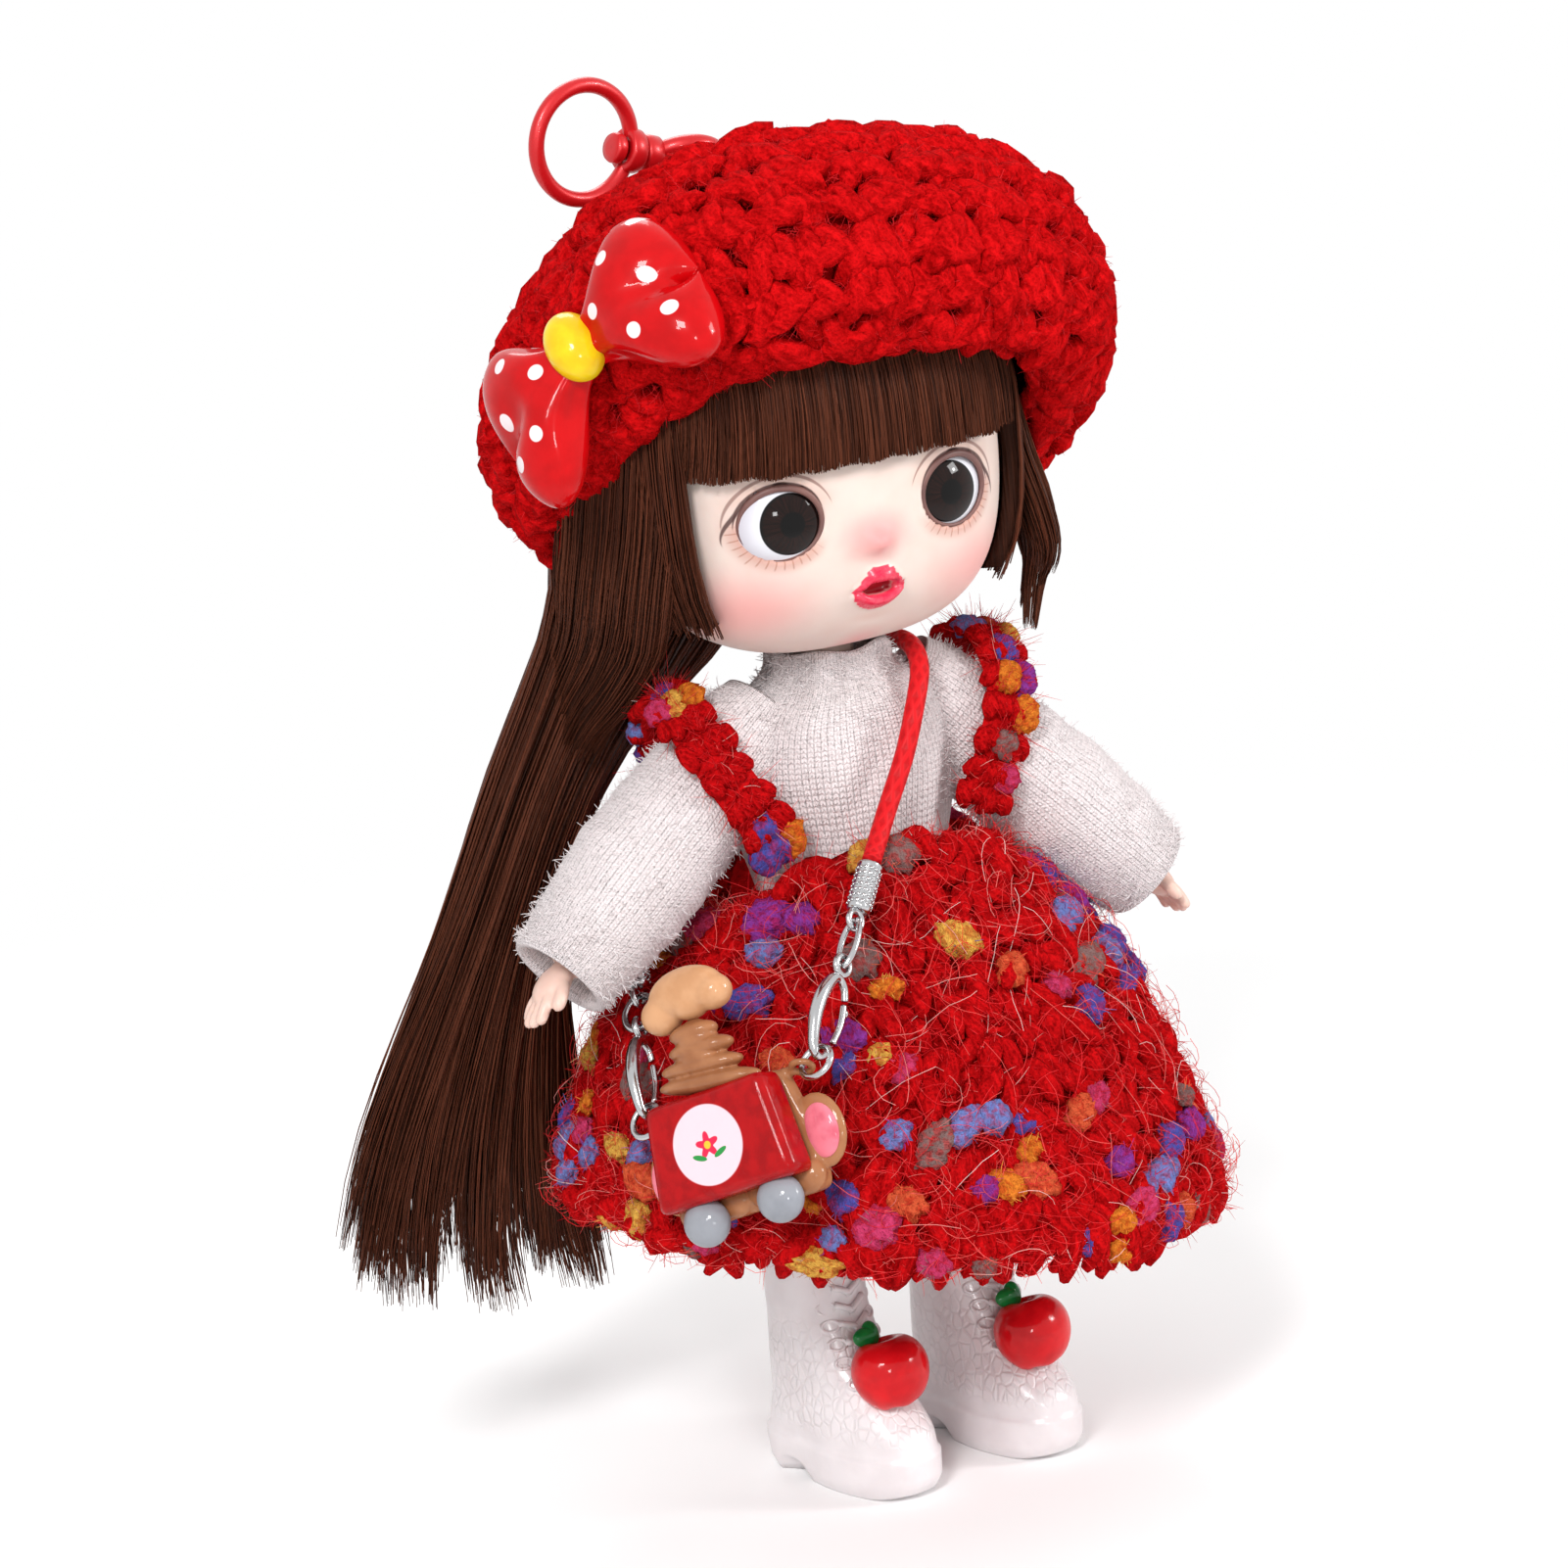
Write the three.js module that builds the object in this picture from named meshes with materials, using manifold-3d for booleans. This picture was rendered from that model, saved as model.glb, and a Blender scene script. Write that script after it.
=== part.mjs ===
// A jointed mini doll on a key ring: crochet beret, knit sweater, mohair dress, boots and a small bag.
// Millimetres, +Z up. The doll faces -Y, its left hand is at +X and it stands on its boot soles.
import * as THREE from 'three';
import { mergeVertices } from 'three/addons/utils/BufferGeometryUtils.js';
import Module from 'manifold-3d';

const wasm = await Module();
wasm.setup();
const rad = THREE.MathUtils.degToRad;
const v3 = (x, y, z) => new THREE.Vector3(x, y, z);

// Clearance between pieces that fit, rest on or turn in each other
const GAP = 0.3;
// Height of a cut that leaves the solid on both sides
const PAST = 60;

// Legs
const LEG_X = 10.2;
const KNEE_Z = 39;
const THIGH_LENGTH = 21;
const HIP_Z = KNEE_Z + THIGH_LENGTH;
const HIP_BALL_R = 5.3;
const KNEE_BALL_R = 4.6;
const THIGH_R = 5;
const KNEE_SHAFT_R = 3.9;
const SHIN_R = 4;

// Boots
const BOOT_LENGTH = 28.5;
const BOOT_WIDTH = 12.8;
const BOOT_TOE_Y = -17.5;
const TOE_TURN = 13;
const BOOT_TOP_Z = 34;
const BOOT_SHAFT_R = 6.1;
const BOOT_WALL = 1.4;
const BOOT_ANKLE_Y = 1.5;
const INSOLE_Z = 5;
const ARCH_R = 3.4;
const APPLE_R = 5.1;
const APPLE_Y = -12.2;
const APPLE_Z = 15.8;

// Torso, neck and sweater
const TORSO_LENGTH = 35;
const SHOULDER_Z = HIP_Z + TORSO_LENGTH;
const SHOULDER_X = 15;
const NECK_R = 3.3;
const NECK_BALL_R = 4.2;
const NECK_PIVOT_Z = SHOULDER_Z + 16;
const NECK_SEAT_Z = SHOULDER_Z + 2.7;
const COLLAR_R = 7.2;
const COLLAR_TOP_Z = SHOULDER_Z + 10.2;

// Arms, measured along the arm from the shoulder pivot
const ARM_BALL_R = 4.6;
const ELBOW_AT = 20.5;
const ELBOW_BALL_R = 3.5;
const WRIST_AT = 33.5;
const ARM_R = 3.1;
const WRIST_PEG_R = 1.3;
const ARM_FORWARD = -13;
const ARM_OUT = { right: 52, left: 42 };
const SLEEVE_BALL_R = 7.4;
const SLEEVE_WALL = 1.8;
const SLEEVE_OPEN = 3.6;
const SLEEVE_END = 34.5;
const SLEEVE_SIDES = 12;

// Pegs, tongues and pins of the ball joints
const PEG_R = 2;
const PEG_DEPTH = 3.4;
const TONGUE = 2.2;
const PIN_R = 1.1;

// Dress
const DRESS_TOP_Z = SHOULDER_Z - 11.5;
const DRESS_WALL = 4.5;
const DRESS_SIDE_DIP = 7;
const HEM_RISE = 6;
const FOLDS = 9;
const FOLD_DEPTH = 0.9;
const STRAP_WIDTH = 5;
const STRAP_THICK = 2.7;

// Head
const HEAD = v3(0, 3, SHOULDER_Z + 38);
const HEAD_RX = 23.2;
const HEAD_RY = 21.5;
const HEAD_RZ = 25.5;
const HEAD_WALL = 2.2;
const JOWL = 0.68;
const CROWN_BEND = 0.86;
const HEAD_SQUARE = 0.72;
const WIG = 2;
const EYE_R = 6;
const EYE_X = 11.5;
const EYE_Z = HEAD.z - 7;
const EYE_DEPTH = 5.6;
const EYE_HOLE_R = 5.3;
const EYE_Y = HEAD.y - HEAD_RY + 2.1 + EYE_DEPTH;
const BANGS_Z = HEAD.z - 1;
const BANGS_TOP_Z = HEAD.z + 16;
const FACE_HALF = 21.1;

// Beret: a puffed crown turned back about X, measured along its own axis from its widest ring
const BERET = v3(2.8, HEAD.y + 2, HEAD.z + 4.6);
const BERET_TILT = 37;
const BERET_LEAN = 6;
const BERET_R = 38.4;
const BERET_CROWN = 27;
const BERET_RIM_R = 26.3;
const BERET_RIM = -7.3;
const BERET_WALL = 4.6;
const BERET_ROWS = 12;
const BERET_ROW_DEPTH = 1.3;

// Screw eye and key clasp
const EYE_WIRE_R = 0.75;
const EYE_RING_R = 2.9;
const SHANK_R = 0.8;
const CLASP_WAY = v3(-0.936, -0.182, 0.305);
const CLASP_UP = v3(0, 0.545, 0.839);
const KEY_HOOK = { wire: 1.2, width: 8, length: 7.9 };
const KEY_RING_TURN = 53;
const CROWN_SHIFT = -1.5;
const KEY_RING_R = 7;
const KEY_RING_WIRE = 0.7;
const SWIVEL_R = 1;
const SWIVEL_DISC_R = 2.8;
const SWIVEL_DISC = 2.2;

// Bag, its rings and clasps. The two rings set the line that the bag tips about
const RING_FRONT = v3(-24, -34.8, HIP_Z + 5.8);
const RING_SIDE = v3(-38.2, -15.9, HIP_Z - 2.8);
const BAG_OUT = v3(-0.828, -0.493, 0.269);
const BAG_RING_R = 2.1;
const RING_WIRE = 0.4;
const CHAIN_FRONT_WAY = v3(0.59, 0.48, 0.65);
const CHAIN_SIDE_WAY = v3(0.344, 0.683, 0.644);
const BAG_HOOK = { wire: 0.6, width: 4.6, length: 9.4 };
const CLASP_EYE_R = 1.2;
const LINK_LENGTH = 6.4;
const JUMP_RING_R = 2.25;
const CRIMP_R = 1.6;
const CRIMP_LENGTH = 6.5;
const BAG_BOX = { width: 17, height: 11.6, depth: 5.4, middle: -5.6 };
const BAG_FOOT_R = 2.6;
const BAG_SLAB = 2.4;
const EYELET_R = 1.25;

// Bag cord: its route over the left shoulder and round the back, with heights from the shoulder pivots
const CORD_R = 1.2;
const CORD_STEPS = 28;
const CORD_ROUTE = [
  [-6.2, -18.8, -11.7], [-4.8, -17.7, -10.2], [-1.6, -15.4, -6.6], [2.2, -13.7, -1.2], [5.2, -12, 4.2],
  [7.6, -9.5, 7.8], [9, -5.8, 9.6], [9.6, -1.2, 10], [9.4, 3.8, 9], [7.9, 9.4, 6], [4.8, 13, 1],
  [0, 15, -4.4], [-6.5, 16.9, -9.4], [-14.5, 16, -13.8], [-21.5, 12.9, -17], [-25.8, 8.7, -18.8],
  [-27.1, 6.2, -20.2], [-27.9, 4.6, -21.8],
];

const FINISH = {
  skin: ['#f3d3c1', 0.5, 0], white: ['#efe9e6', 0.45, 0], knit: ['#f1e9e4', 0.95, 0],
  mohair: ['#c31420', 1, 0], crochet: ['#c60f17', 1, 0], hair: ['#3a1c12', 0.55, 0],
  eye: ['#1d1110', 0.1, 0], gloss: ['#d0121a', 0.12, 0], yellow: ['#f0c90e', 0.15, 0],
  red_metal: ['#b9141c', 0.35, 0.6], silver: ['#d9dadc', 0.2, 1], cord: ['#b80f16', 0.5, 0],
  cocoa: ['#9a6238', 0.4, 0], biscuit: ['#c99463', 0.35, 0], grey: ['#8f9296', 0.25, 0],
};

// Turns a closed geometry into a solid that can be joined and cut
function solid(geometry) {
  const bare = geometry.clone();
  bare.deleteAttribute('normal');
  bare.deleteAttribute('uv');
  const merged = mergeVertices(bare, 1e-4);
  const index = merged.index.array;
  const kept = [];
  for (let i = 0; i < index.length; i += 3) {
    const [a, b, c] = [index[i], index[i + 1], index[i + 2]];
    if (a !== b && b !== c && c !== a) kept.push(a, b, c);
  }
  const vertProperties = new Float32Array(merged.attributes.position.array);
  return new wasm.Manifold(new wasm.Mesh({ numProp: 3, vertProperties, triVerts: new Uint32Array(kept) }));
}

function surface(manifold) {
  const mesh = manifold.getMesh();
  const geometry = new THREE.BufferGeometry();
  geometry.setAttribute('position', new THREE.BufferAttribute(mesh.vertProperties, 3));
  geometry.setIndex(new THREE.BufferAttribute(mesh.triVerts, 1));
  return geometry;
}

const join = (...pieces) => surface(pieces.map(solid).reduce((a, b) => a.add(b)));
const cut = (piece, ...tools) => surface(tools.map(solid).reduce((a, b) => a.subtract(b), solid(piece)));
const common = (a, b) => surface(solid(a).intersect(solid(b)));

// Geometry moved to a place, turned in degrees about X, then Y, then Z of the piece, and scaled
function put(geometry, at = [0, 0, 0], turn = [0, 0, 0], scale = [1, 1, 1]) {
  const angles = new THREE.Euler(rad(turn[0]), rad(turn[1]), rad(turn[2]));
  const matrix = new THREE.Matrix4().compose(v3(...at), new THREE.Quaternion().setFromEuler(angles),
    v3(...scale));
  return geometry.clone().applyMatrix4(matrix);
}

const ball = (r, at, wide = 12, high = 8) => put(new THREE.SphereGeometry(r, wide, high), at, [90, 0, 0]);
const egg = (rx, ry, rz, at, wide = 12, high = 8) =>
  put(new THREE.SphereGeometry(1, wide, high), at, [0, 0, 0], [rx, ry, rz]);
const block = (x, y, z, at) => put(new THREE.BoxGeometry(x, y, z), at);
const rod = (r, length, at, turn = [90, 0, 0], sides = 10) =>
  put(new THREE.CylinderGeometry(r, r, length, sides), at, turn);

// A closed skin over rings of points. A hoop joins its last ring to its first, other skins get end faces
function skin(rings, hoop = false) {
  const n = rings[0].length;
  const points = rings.flat();
  const faces = [];
  const rows = hoop ? rings.length : rings.length - 1;
  for (let r = 0; r < rows; r++) {
    const next = (r + 1) % rings.length;
    for (let i = 0; i < n; i++) {
      const j = (i + 1) % n;
      faces.push([r * n + i, r * n + j, next * n + j], [r * n + i, next * n + j, next * n + i]);
    }
  }
  if (!hoop) {
    for (const end of [0, rings.length - 1]) {
      const middle = rings[end].reduce((sum, p) => sum.add(p), v3(0, 0, 0)).divideScalar(n);
      points.push(middle);
      for (let i = 0; i < n; i++) {
        const edge = [end * n + i, end * n + (i + 1) % n];
        faces.push(end === 0 ? [edge[1], edge[0], points.length - 1] : [edge[0], edge[1],
          points.length - 1]);
      }
    }
  }
  let volume = 0;
  for (const [a, b, c] of faces) volume += points[a].dot(v3(0, 0, 0).crossVectors(points[b], points[c]));
  if (volume < 0) faces.forEach((face) => face.reverse());
  const geometry = new THREE.BufferGeometry();
  geometry.setAttribute('position', new THREE.Float32BufferAttribute(points.flatMap((p) => p.toArray()),
    3));
  geometry.setIndex(faces.flat());
  return geometry;
}

// A level ring, round where square is 1 and nearer a rectangle below it
function ring(x, y, z, rx, ry, sides, square = 1) {
  const bend = (w) => Math.sign(w) * Math.abs(w) ** square;
  return Array.from({ length: sides }, (_, i) => {
    const a = (2 * Math.PI * i) / sides;
    return v3(x + rx * bend(Math.cos(a)), y + ry * bend(Math.sin(a)), z);
  });
}

// A body of level ellipses, one for each row of height, half width and half depth
const stack = (rows, sides = 16, grow = 0) =>
  skin(rows.map(([z, rx, ry]) => ring(0, 0, z, rx + grow, ry + grow, sides)));

// A flat band through stations of place, half width and half thickness, with its width along a direction
function band(stations, across, sides = 12) {
  return skin(stations.map(({ at, wide, thick, along }, i) => {
    const before = stations[Math.max(i - 1, 0)].at;
    const after = stations[Math.min(i + 1, stations.length - 1)].at;
    const way = after.clone().sub(before).normalize();
    const width = (along ?? across).clone().addScaledVector(way, -(along ?? across).dot(way)).normalize();
    const out = v3(0, 0, 0).crossVectors(way, width);
    return Array.from({ length: sides }, (_, k) => {
      const a = (2 * Math.PI * k) / sides;
      return at.clone().addScaledVector(width, wide * Math.cos(a)).addScaledVector(out,
        thick * Math.sin(a));
    });
  }));
}

// A round tube with flat ends along a smooth path
function tube(points, radius, steps, sides = 8) {
  const outline = new THREE.Shape(Array.from({ length: sides }, (_, i) => {
    const a = (2 * Math.PI * i) / sides;
    return new THREE.Vector2(radius * Math.cos(a), radius * Math.sin(a));
  }));
  const extrudePath = new THREE.CatmullRomCurve3(points);
  return new THREE.ExtrudeGeometry(outline, { steps, extrudePath, bevelEnabled: false });
}

const model = new THREE.Group();

function add(group, name, geometry, finish) {
  const [color, roughness, metalness] = FINISH[finish];
  const shape = geometry.clone();
  shape.computeVertexNormals();
  const mesh = new THREE.Mesh(shape, new THREE.MeshStandardMaterial({ color, roughness, metalness }));
  mesh.name = name;
  group.add(mesh);
}

function groupAt(parent, at, turn = [0, 0, 0]) {
  const group = new THREE.Group();
  group.position.set(...at);
  group.rotation.set(rad(turn[0]), rad(turn[1]), rad(turn[2]));
  parent.add(group);
  return group;
}

// A group whose Z runs along a way and whose X is square to the way and a second direction
function groupAlong(parent, at, way, second) {
  const z = way.clone().normalize();
  const x = v3(0, 0, 0).crossVectors(second, z).normalize();
  const group = new THREE.Group();
  group.position.copy(at);
  group.setRotationFromMatrix(new THREE.Matrix4().makeBasis(x, v3(0, 0, 0).crossVectors(z, x), z));
  parent.add(group);
  return group;
}

// Half of a ball joint: a slotted ball with a pin across. The slot is open to one side and upwards
function slottedBall(radius, pinTurn, slotSize, slotAt) {
  const slot = join(block(...slotSize, slotAt), rod(radius - 0.7, TONGUE + 2 * GAP, [0, 0, 0], pinTurn));
  const pin = rod(PIN_R, TONGUE + 4 * GAP, [0, 0, 0], pinTurn, 8);
  return { slot, pin };
}

// The other half: a round tongue with a hole for the pin, on a stem
const tongue = (radius, pinTurn, stem) =>
  cut(join(rod(radius - 1.1, TONGUE, [0, 0, 0], pinTurn), stem), rod(PIN_R + GAP, PAST, [0, 0, 0],
    pinTurn, 8));

const sides = [['right', -1], ['left', 1]];

// Legs
function legPeg(side) {
  const inner = HIP_BALL_R + GAP + PEG_DEPTH;
  const stem = common(
    rod(PEG_R, inner, [(-side * inner) / 2, 0, 0], [0, 0, 90]),
    join(block(2 * inner, TONGUE, PAST, [0, 0, 0]),
      block(PEG_DEPTH, PAST, PAST, [-side * (inner - PEG_DEPTH / 2), 0, 0])),
  );
  return tongue(HIP_BALL_R - 0.6, [0, 0, 0], stem);
}

function thigh(side) {
  const drop = -THIGH_LENGTH;
  const kneeGap = KNEE_BALL_R + GAP;
  const slotWide = HIP_BALL_R + 1;
  const { slot, pin } = slottedBall(HIP_BALL_R, [0, 0, 0],
    [slotWide, TONGUE + 2 * GAP, 2 * PEG_R + 4], [(-side * slotWide) / 2, 0, 0]);
  const shaft = stack([[drop + 2, KNEE_SHAFT_R - 0.4, KNEE_SHAFT_R - 0.4], [drop + 7, KNEE_SHAFT_R,
    KNEE_SHAFT_R],
    [-9, THIGH_R - 0.3, THIGH_R - 0.3], [-1, THIGH_R - 0.4, THIGH_R - 0.4]], 10);
  const kneeStem = join(rod(KNEE_BALL_R - 1.7, TONGUE, [0, 0, drop], [0, 0, 90]),
    block(TONGUE, 2 * (KNEE_SHAFT_R - 1.9), kneeGap + 2, [0, 0, drop + (kneeGap + 2) / 2]));
  const body = cut(join(ball(HIP_BALL_R, [0, 0, 0]), shaft), slot, ball(kneeGap, [0, 0, drop], 14, 10));
  return cut(join(body, pin, kneeStem), rod(PIN_R + GAP, PAST, [0, 0, drop], [0, 0, 90], 8));
}

function shin() {
  const { slot, pin } = slottedBall(KNEE_BALL_R, [0, 0, 90],
    [TONGUE + 2 * GAP, 2 * KNEE_BALL_R, KNEE_BALL_R + 1], [0, 0, (KNEE_BALL_R + 1) / 2]);
  const foot = INSOLE_Z + GAP - KNEE_Z;
  const shaft = stack([[foot, SHIN_R - 0.6, SHIN_R], [foot + 3, SHIN_R, SHIN_R], [-9, SHIN_R, SHIN_R],
    [-2, KNEE_SHAFT_R, KNEE_SHAFT_R]], 12);
  return join(cut(join(ball(KNEE_BALL_R, [0, 0, 0]), shaft), slot), pin);
}

// Boot of level outlines from the sole up to the shaft, then hollowed for the shin
function boot() {
  const heelY = BOOT_TOE_Y + BOOT_LENGTH;
  const half = BOOT_WIDTH / 2;
  const outline = (z, front, back, wide) =>
    ring(0, (front + back) / 2, z, wide, (back - front) / 2, 16, 0.8);
  const ankleFront = BOOT_ANKLE_Y - BOOT_SHAFT_R;
  const ankleBack = BOOT_ANKLE_Y + BOOT_SHAFT_R;
  const body = skin([
    outline(0, BOOT_TOE_Y + 1, heelY - 1, half - 0.9), outline(1, BOOT_TOE_Y + 0.2, heelY - 0.4,
      half - 0.2),
    outline(4, BOOT_TOE_Y, heelY, half), outline(7, BOOT_TOE_Y + 0.4, heelY - 1, half),
    outline(10.5, BOOT_TOE_Y + 3.2, heelY - 2, half - 0.5),
    outline(16, ankleFront - 3.6, ankleBack + 0.8, BOOT_SHAFT_R - 0.5),
    outline(22, ankleFront - 0.9, ankleBack, BOOT_SHAFT_R - 0.5),
    outline(BOOT_TOP_Z, ankleFront, ankleBack - 0.3, BOOT_SHAFT_R),
  ]);
  const hollow = stack([[INSOLE_Z, SHIN_R + GAP, SHIN_R + GAP], [BOOT_TOP_Z - 4, SHIN_R + GAP,
    SHIN_R + GAP],
    [BOOT_TOP_Z + 2, BOOT_SHAFT_R - BOOT_WALL + 0.2, BOOT_SHAFT_R - BOOT_WALL]], 12);
  return cut(body, hollow, rod(ARCH_R, PAST, [0, BOOT_ANKLE_Y + 1.6, -1.2], [0, 0, 90], 14));
}

function apple() {
  const body = egg(APPLE_R, APPLE_R * 0.88, APPLE_R * 0.92, [0, 0, 0], 12, 7);
  return join(body, egg(1.9, 0.9, 1.3, [-2.2, 1.6, 4.3], 6, 4), egg(1.5, 0.9, 1.9, [-0.4, 1.8, 4.9], 6, 4));
}

for (const [word, side] of sides) {
  const hip = groupAt(model, [side * LEG_X, 0, HIP_Z]);
  add(hip, `hip_peg_${word}`, legPeg(side), 'white');
  add(hip, `thigh_${word}`, thigh(side), 'skin');
  const knee = groupAt(hip, [0, 0, -THIGH_LENGTH]);
  add(knee, `shin_${word}`, shin(), 'skin');
  const foot = groupAt(knee, [0, 0, -KNEE_Z], [0, 0, TOE_TURN]);
  const appleShape = put(apple(), [0, APPLE_Y, APPLE_Z], [-14, 0, 0]);
  const shell = boot();
  add(foot, `boot_${word}`, shell, 'white');
  add(foot, `apple_${word}`, cut(appleShape, put(shell, [0, -GAP, GAP])), 'gloss');
}

// Torso with sockets for the pegs, the arm and leg balls, and a bore for the neck post
const TORSO_ROWS = [
  [HIP_Z - 4.5, 3.6, 4.4], [HIP_Z - 1.5, 5, 6], [HIP_Z + 4, 10, 7], [HIP_Z + 8, 9.6, 6.7], [HIP_Z + 14,
    8.8, 6.2],
  [SHOULDER_Z - 13, 9.8, 6.8], [SHOULDER_Z - 5, 10.6, 7], [SHOULDER_Z + 1, 10.4, 6.4],
  [SHOULDER_Z + 5, 6.5, 5.2], [SHOULDER_Z + 8, 4.7, 4.7],
];

function torso() {
  const tools = [rod(NECK_R + GAP, PAST, [0, 0, NECK_SEAT_Z + PAST / 2])];
  for (const [, side] of sides) {
    const hip = [side * LEG_X, 0, HIP_Z];
    const shoulder = [side * SHOULDER_X, 0, SHOULDER_Z];
    const hipEnd = HIP_BALL_R + 2 * GAP + PEG_DEPTH;
    const armEnd = SLEEVE_BALL_R + 2 * GAP + PEG_DEPTH;
    tools.push(ball(HIP_BALL_R + 2 * GAP, hip), ball(SLEEVE_BALL_R + 3 * GAP, shoulder));
    tools.push(rod(PEG_R + GAP, hipEnd, [hip[0] - (side * hipEnd) / 2, 0, HIP_Z], [0, 0, 90]));
    tools.push(rod(PEG_R + GAP, armEnd, [shoulder[0] - (side * armEnd) / 2, 0, SHOULDER_Z], [0, 0, 90]));
  }
  return cut(stack(TORSO_ROWS), ...tools);
}

function neckPost() {
  const bottom = NECK_SEAT_Z + GAP;
  return join(rod(NECK_R, NECK_PIVOT_Z - bottom, [0, 0, (NECK_PIVOT_Z + bottom) / 2]),
    ball(NECK_BALL_R, [0, 0, NECK_PIVOT_Z]));
}

// Arms: the shoulder peg swings, the arm below it lifts, and everything hangs along the arm's own -Z
function armPeg(side) {
  const inner = SLEEVE_BALL_R + GAP + PEG_DEPTH;
  const stem = common(
    rod(PEG_R - 0.2, inner, [(-side * inner) / 2, 0, 0], [0, 0, 90]),
    join(block(2 * inner, TONGUE, PAST, [0, 0, 0]),
      block(PEG_DEPTH, PAST, PAST, [-side * (inner - PEG_DEPTH / 2), 0, 0])),
  );
  return tongue(ARM_BALL_R - 0.2, [0, 0, 0], stem);
}

function upperArm(side) {
  const drop = -ELBOW_AT;
  const elbowGap = ELBOW_BALL_R + GAP;
  const slotWide = ARM_BALL_R + 1;
  const slotTurn = ARM_OUT[side < 0 ? 'right' : 'left'] * side;
  const opening = put(block(slotWide, TONGUE + 2 * GAP, 2 * ARM_BALL_R, [(-side * slotWide) / 2, 0, 0]),
    [0, 0, 0], [0, slotTurn, 0]);
  const { slot, pin } = slottedBall(ARM_BALL_R, [0, 0, 0], [1, TONGUE + 2 * GAP, 1], [0, 0, 0]);
  const shaft = stack([[drop + 3.2, ARM_R - 0.5, ARM_R - 0.5], [drop + 6, ARM_R - 0.1, ARM_R - 0.1],
    [-6, ARM_R + 0.5, ARM_R + 0.5], [-1, ARM_R + 0.7, ARM_R + 0.7]], 10);
  const stem = join(rod(ELBOW_BALL_R - 1.2, TONGUE, [0, 0, drop], [0, 0, 90], 12),
    block(TONGUE, 2 * (ARM_R - 1.4), elbowGap + 2, [0, 0, drop + (elbowGap + 2) / 2]));
  const body = cut(join(ball(ARM_BALL_R, [0, 0, 0]), shaft), slot, opening, ball(elbowGap, [0, 0, drop],
    12, 8));
  return cut(join(body, pin, stem), rod(PIN_R + GAP, PAST, [0, 0, drop], [0, 0, 90], 8));
}

function forearm() {
  const { slot, pin } = slottedBall(ELBOW_BALL_R, [0, 0, 90],
    [TONGUE + 2 * GAP, 2 * ELBOW_BALL_R, ELBOW_BALL_R + 1], [0, 0, (ELBOW_BALL_R + 1) / 2]);
  const end = ELBOW_AT - WRIST_AT;
  const shaft = stack([[end, ARM_R - 0.7, ARM_R - 0.5], [end + 4, ARM_R - 0.4, ARM_R - 0.2], [-2.8,
    ARM_R - 0.1, ARM_R - 0.1]], 10);
  const bore = rod(WRIST_PEG_R + GAP, 8, [0, 0, end], [90, 0, 0], 10);
  return join(cut(join(ball(ELBOW_BALL_R, [0, 0, 0], 12, 8), shaft), slot, bore), pin);
}

// Hand with its back outwards: palm, four fingers and a thumb, on a peg that turns in the wrist
function hand(side) {
  const finger = (r, length, at, turn) => put(new THREE.CapsuleGeometry(r, length, 2, 5), at, turn);
  const palm = egg(1.7, 2.9, 3.1, [0, 0, -2.6], 8, 6);
  const fingers = [-1.95, -0.65, 0.65, 1.95].map((y, i) =>
    finger(0.78, 2.4, [-side * 0.3, y * 1.05, -5.6 - 0.5 * (i === 1 || i === 2)], [90 + y * 4, 0,
      -side * 6]));
  const thumb = finger(0.8, 2.2, [-side * 0.5, -3, -3.4], [62, 0, 0]);
  return join(palm, rod(WRIST_PEG_R, 4.6, [0, 0, 1.2], [90, 0, 0], 10), ...fingers, thumb);
}

// Height and radius along the sleeve
const SLEEVE_ROWS = [[-2, 7.5], [-10, 8.1], [-18, 8.3], [-26, 7.9], [-SLEEVE_END, 7]];

// Bell sleeve of soft cloth, open at the cuff, in the arm's own frame
function sleeveRings(grow) {
  const shoulder = [22, 48, 74].map((up) => {
    const r = SLEEVE_BALL_R + grow;
    return ring(0, 0, r * Math.cos(rad(up)), r * Math.sin(rad(up)), r * Math.sin(rad(up)), SLEEVE_SIDES);
  });
  return [...shoulder, ...sleeveTube(grow)];
}

const sleeveTube = (grow) =>
  SLEEVE_ROWS.map(([z, r]) => ring(0, 0, z, r + grow, r * 0.96 + grow, SLEEVE_SIDES));

function sleeve(torsoSide) {
  const outer = skin(sleeveRings(0));
  const inside = sleeveRings(-SLEEVE_WALL);
  inside[inside.length - 1].forEach((p) => {
    p.z -= 4;
  });
  return cut(outer, skin(inside), torsoSide);
}

const armPlaces = {};
for (const [word, side] of sides) {
  const shoulder = groupAt(model, [side * SHOULDER_X, 0, SHOULDER_Z], [ARM_FORWARD, 0, 0]);
  add(shoulder, `shoulder_peg_${word}`, armPeg(side), 'white');
  const arm = groupAt(shoulder, [0, 0, 0], [0, -side * ARM_OUT[word], 0]);
  arm.updateWorldMatrix(true, false);
  armPlaces[word] = arm.matrixWorld.clone();
  const back = armPlaces[word].clone().invert();
  const reach = SHOULDER_X - SLEEVE_OPEN;
  const torsoSide = block(PAST, PAST, PAST, [side * (reach - PAST / 2), 0, SHOULDER_Z]).applyMatrix4(back);
  add(arm, `upper_arm_${word}`, upperArm(side), 'skin');
  add(arm, `sleeve_${word}`, sleeve(torsoSide), 'knit');
  const elbow = groupAt(arm, [0, 0, -ELBOW_AT]);
  add(elbow, `forearm_${word}`, forearm(), 'skin');
  const wrist = groupAt(elbow, [0, 0, ELBOW_AT - WRIST_AT - GAP]);
  add(wrist, `hand_${word}`, hand(side), 'skin');
}

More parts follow.
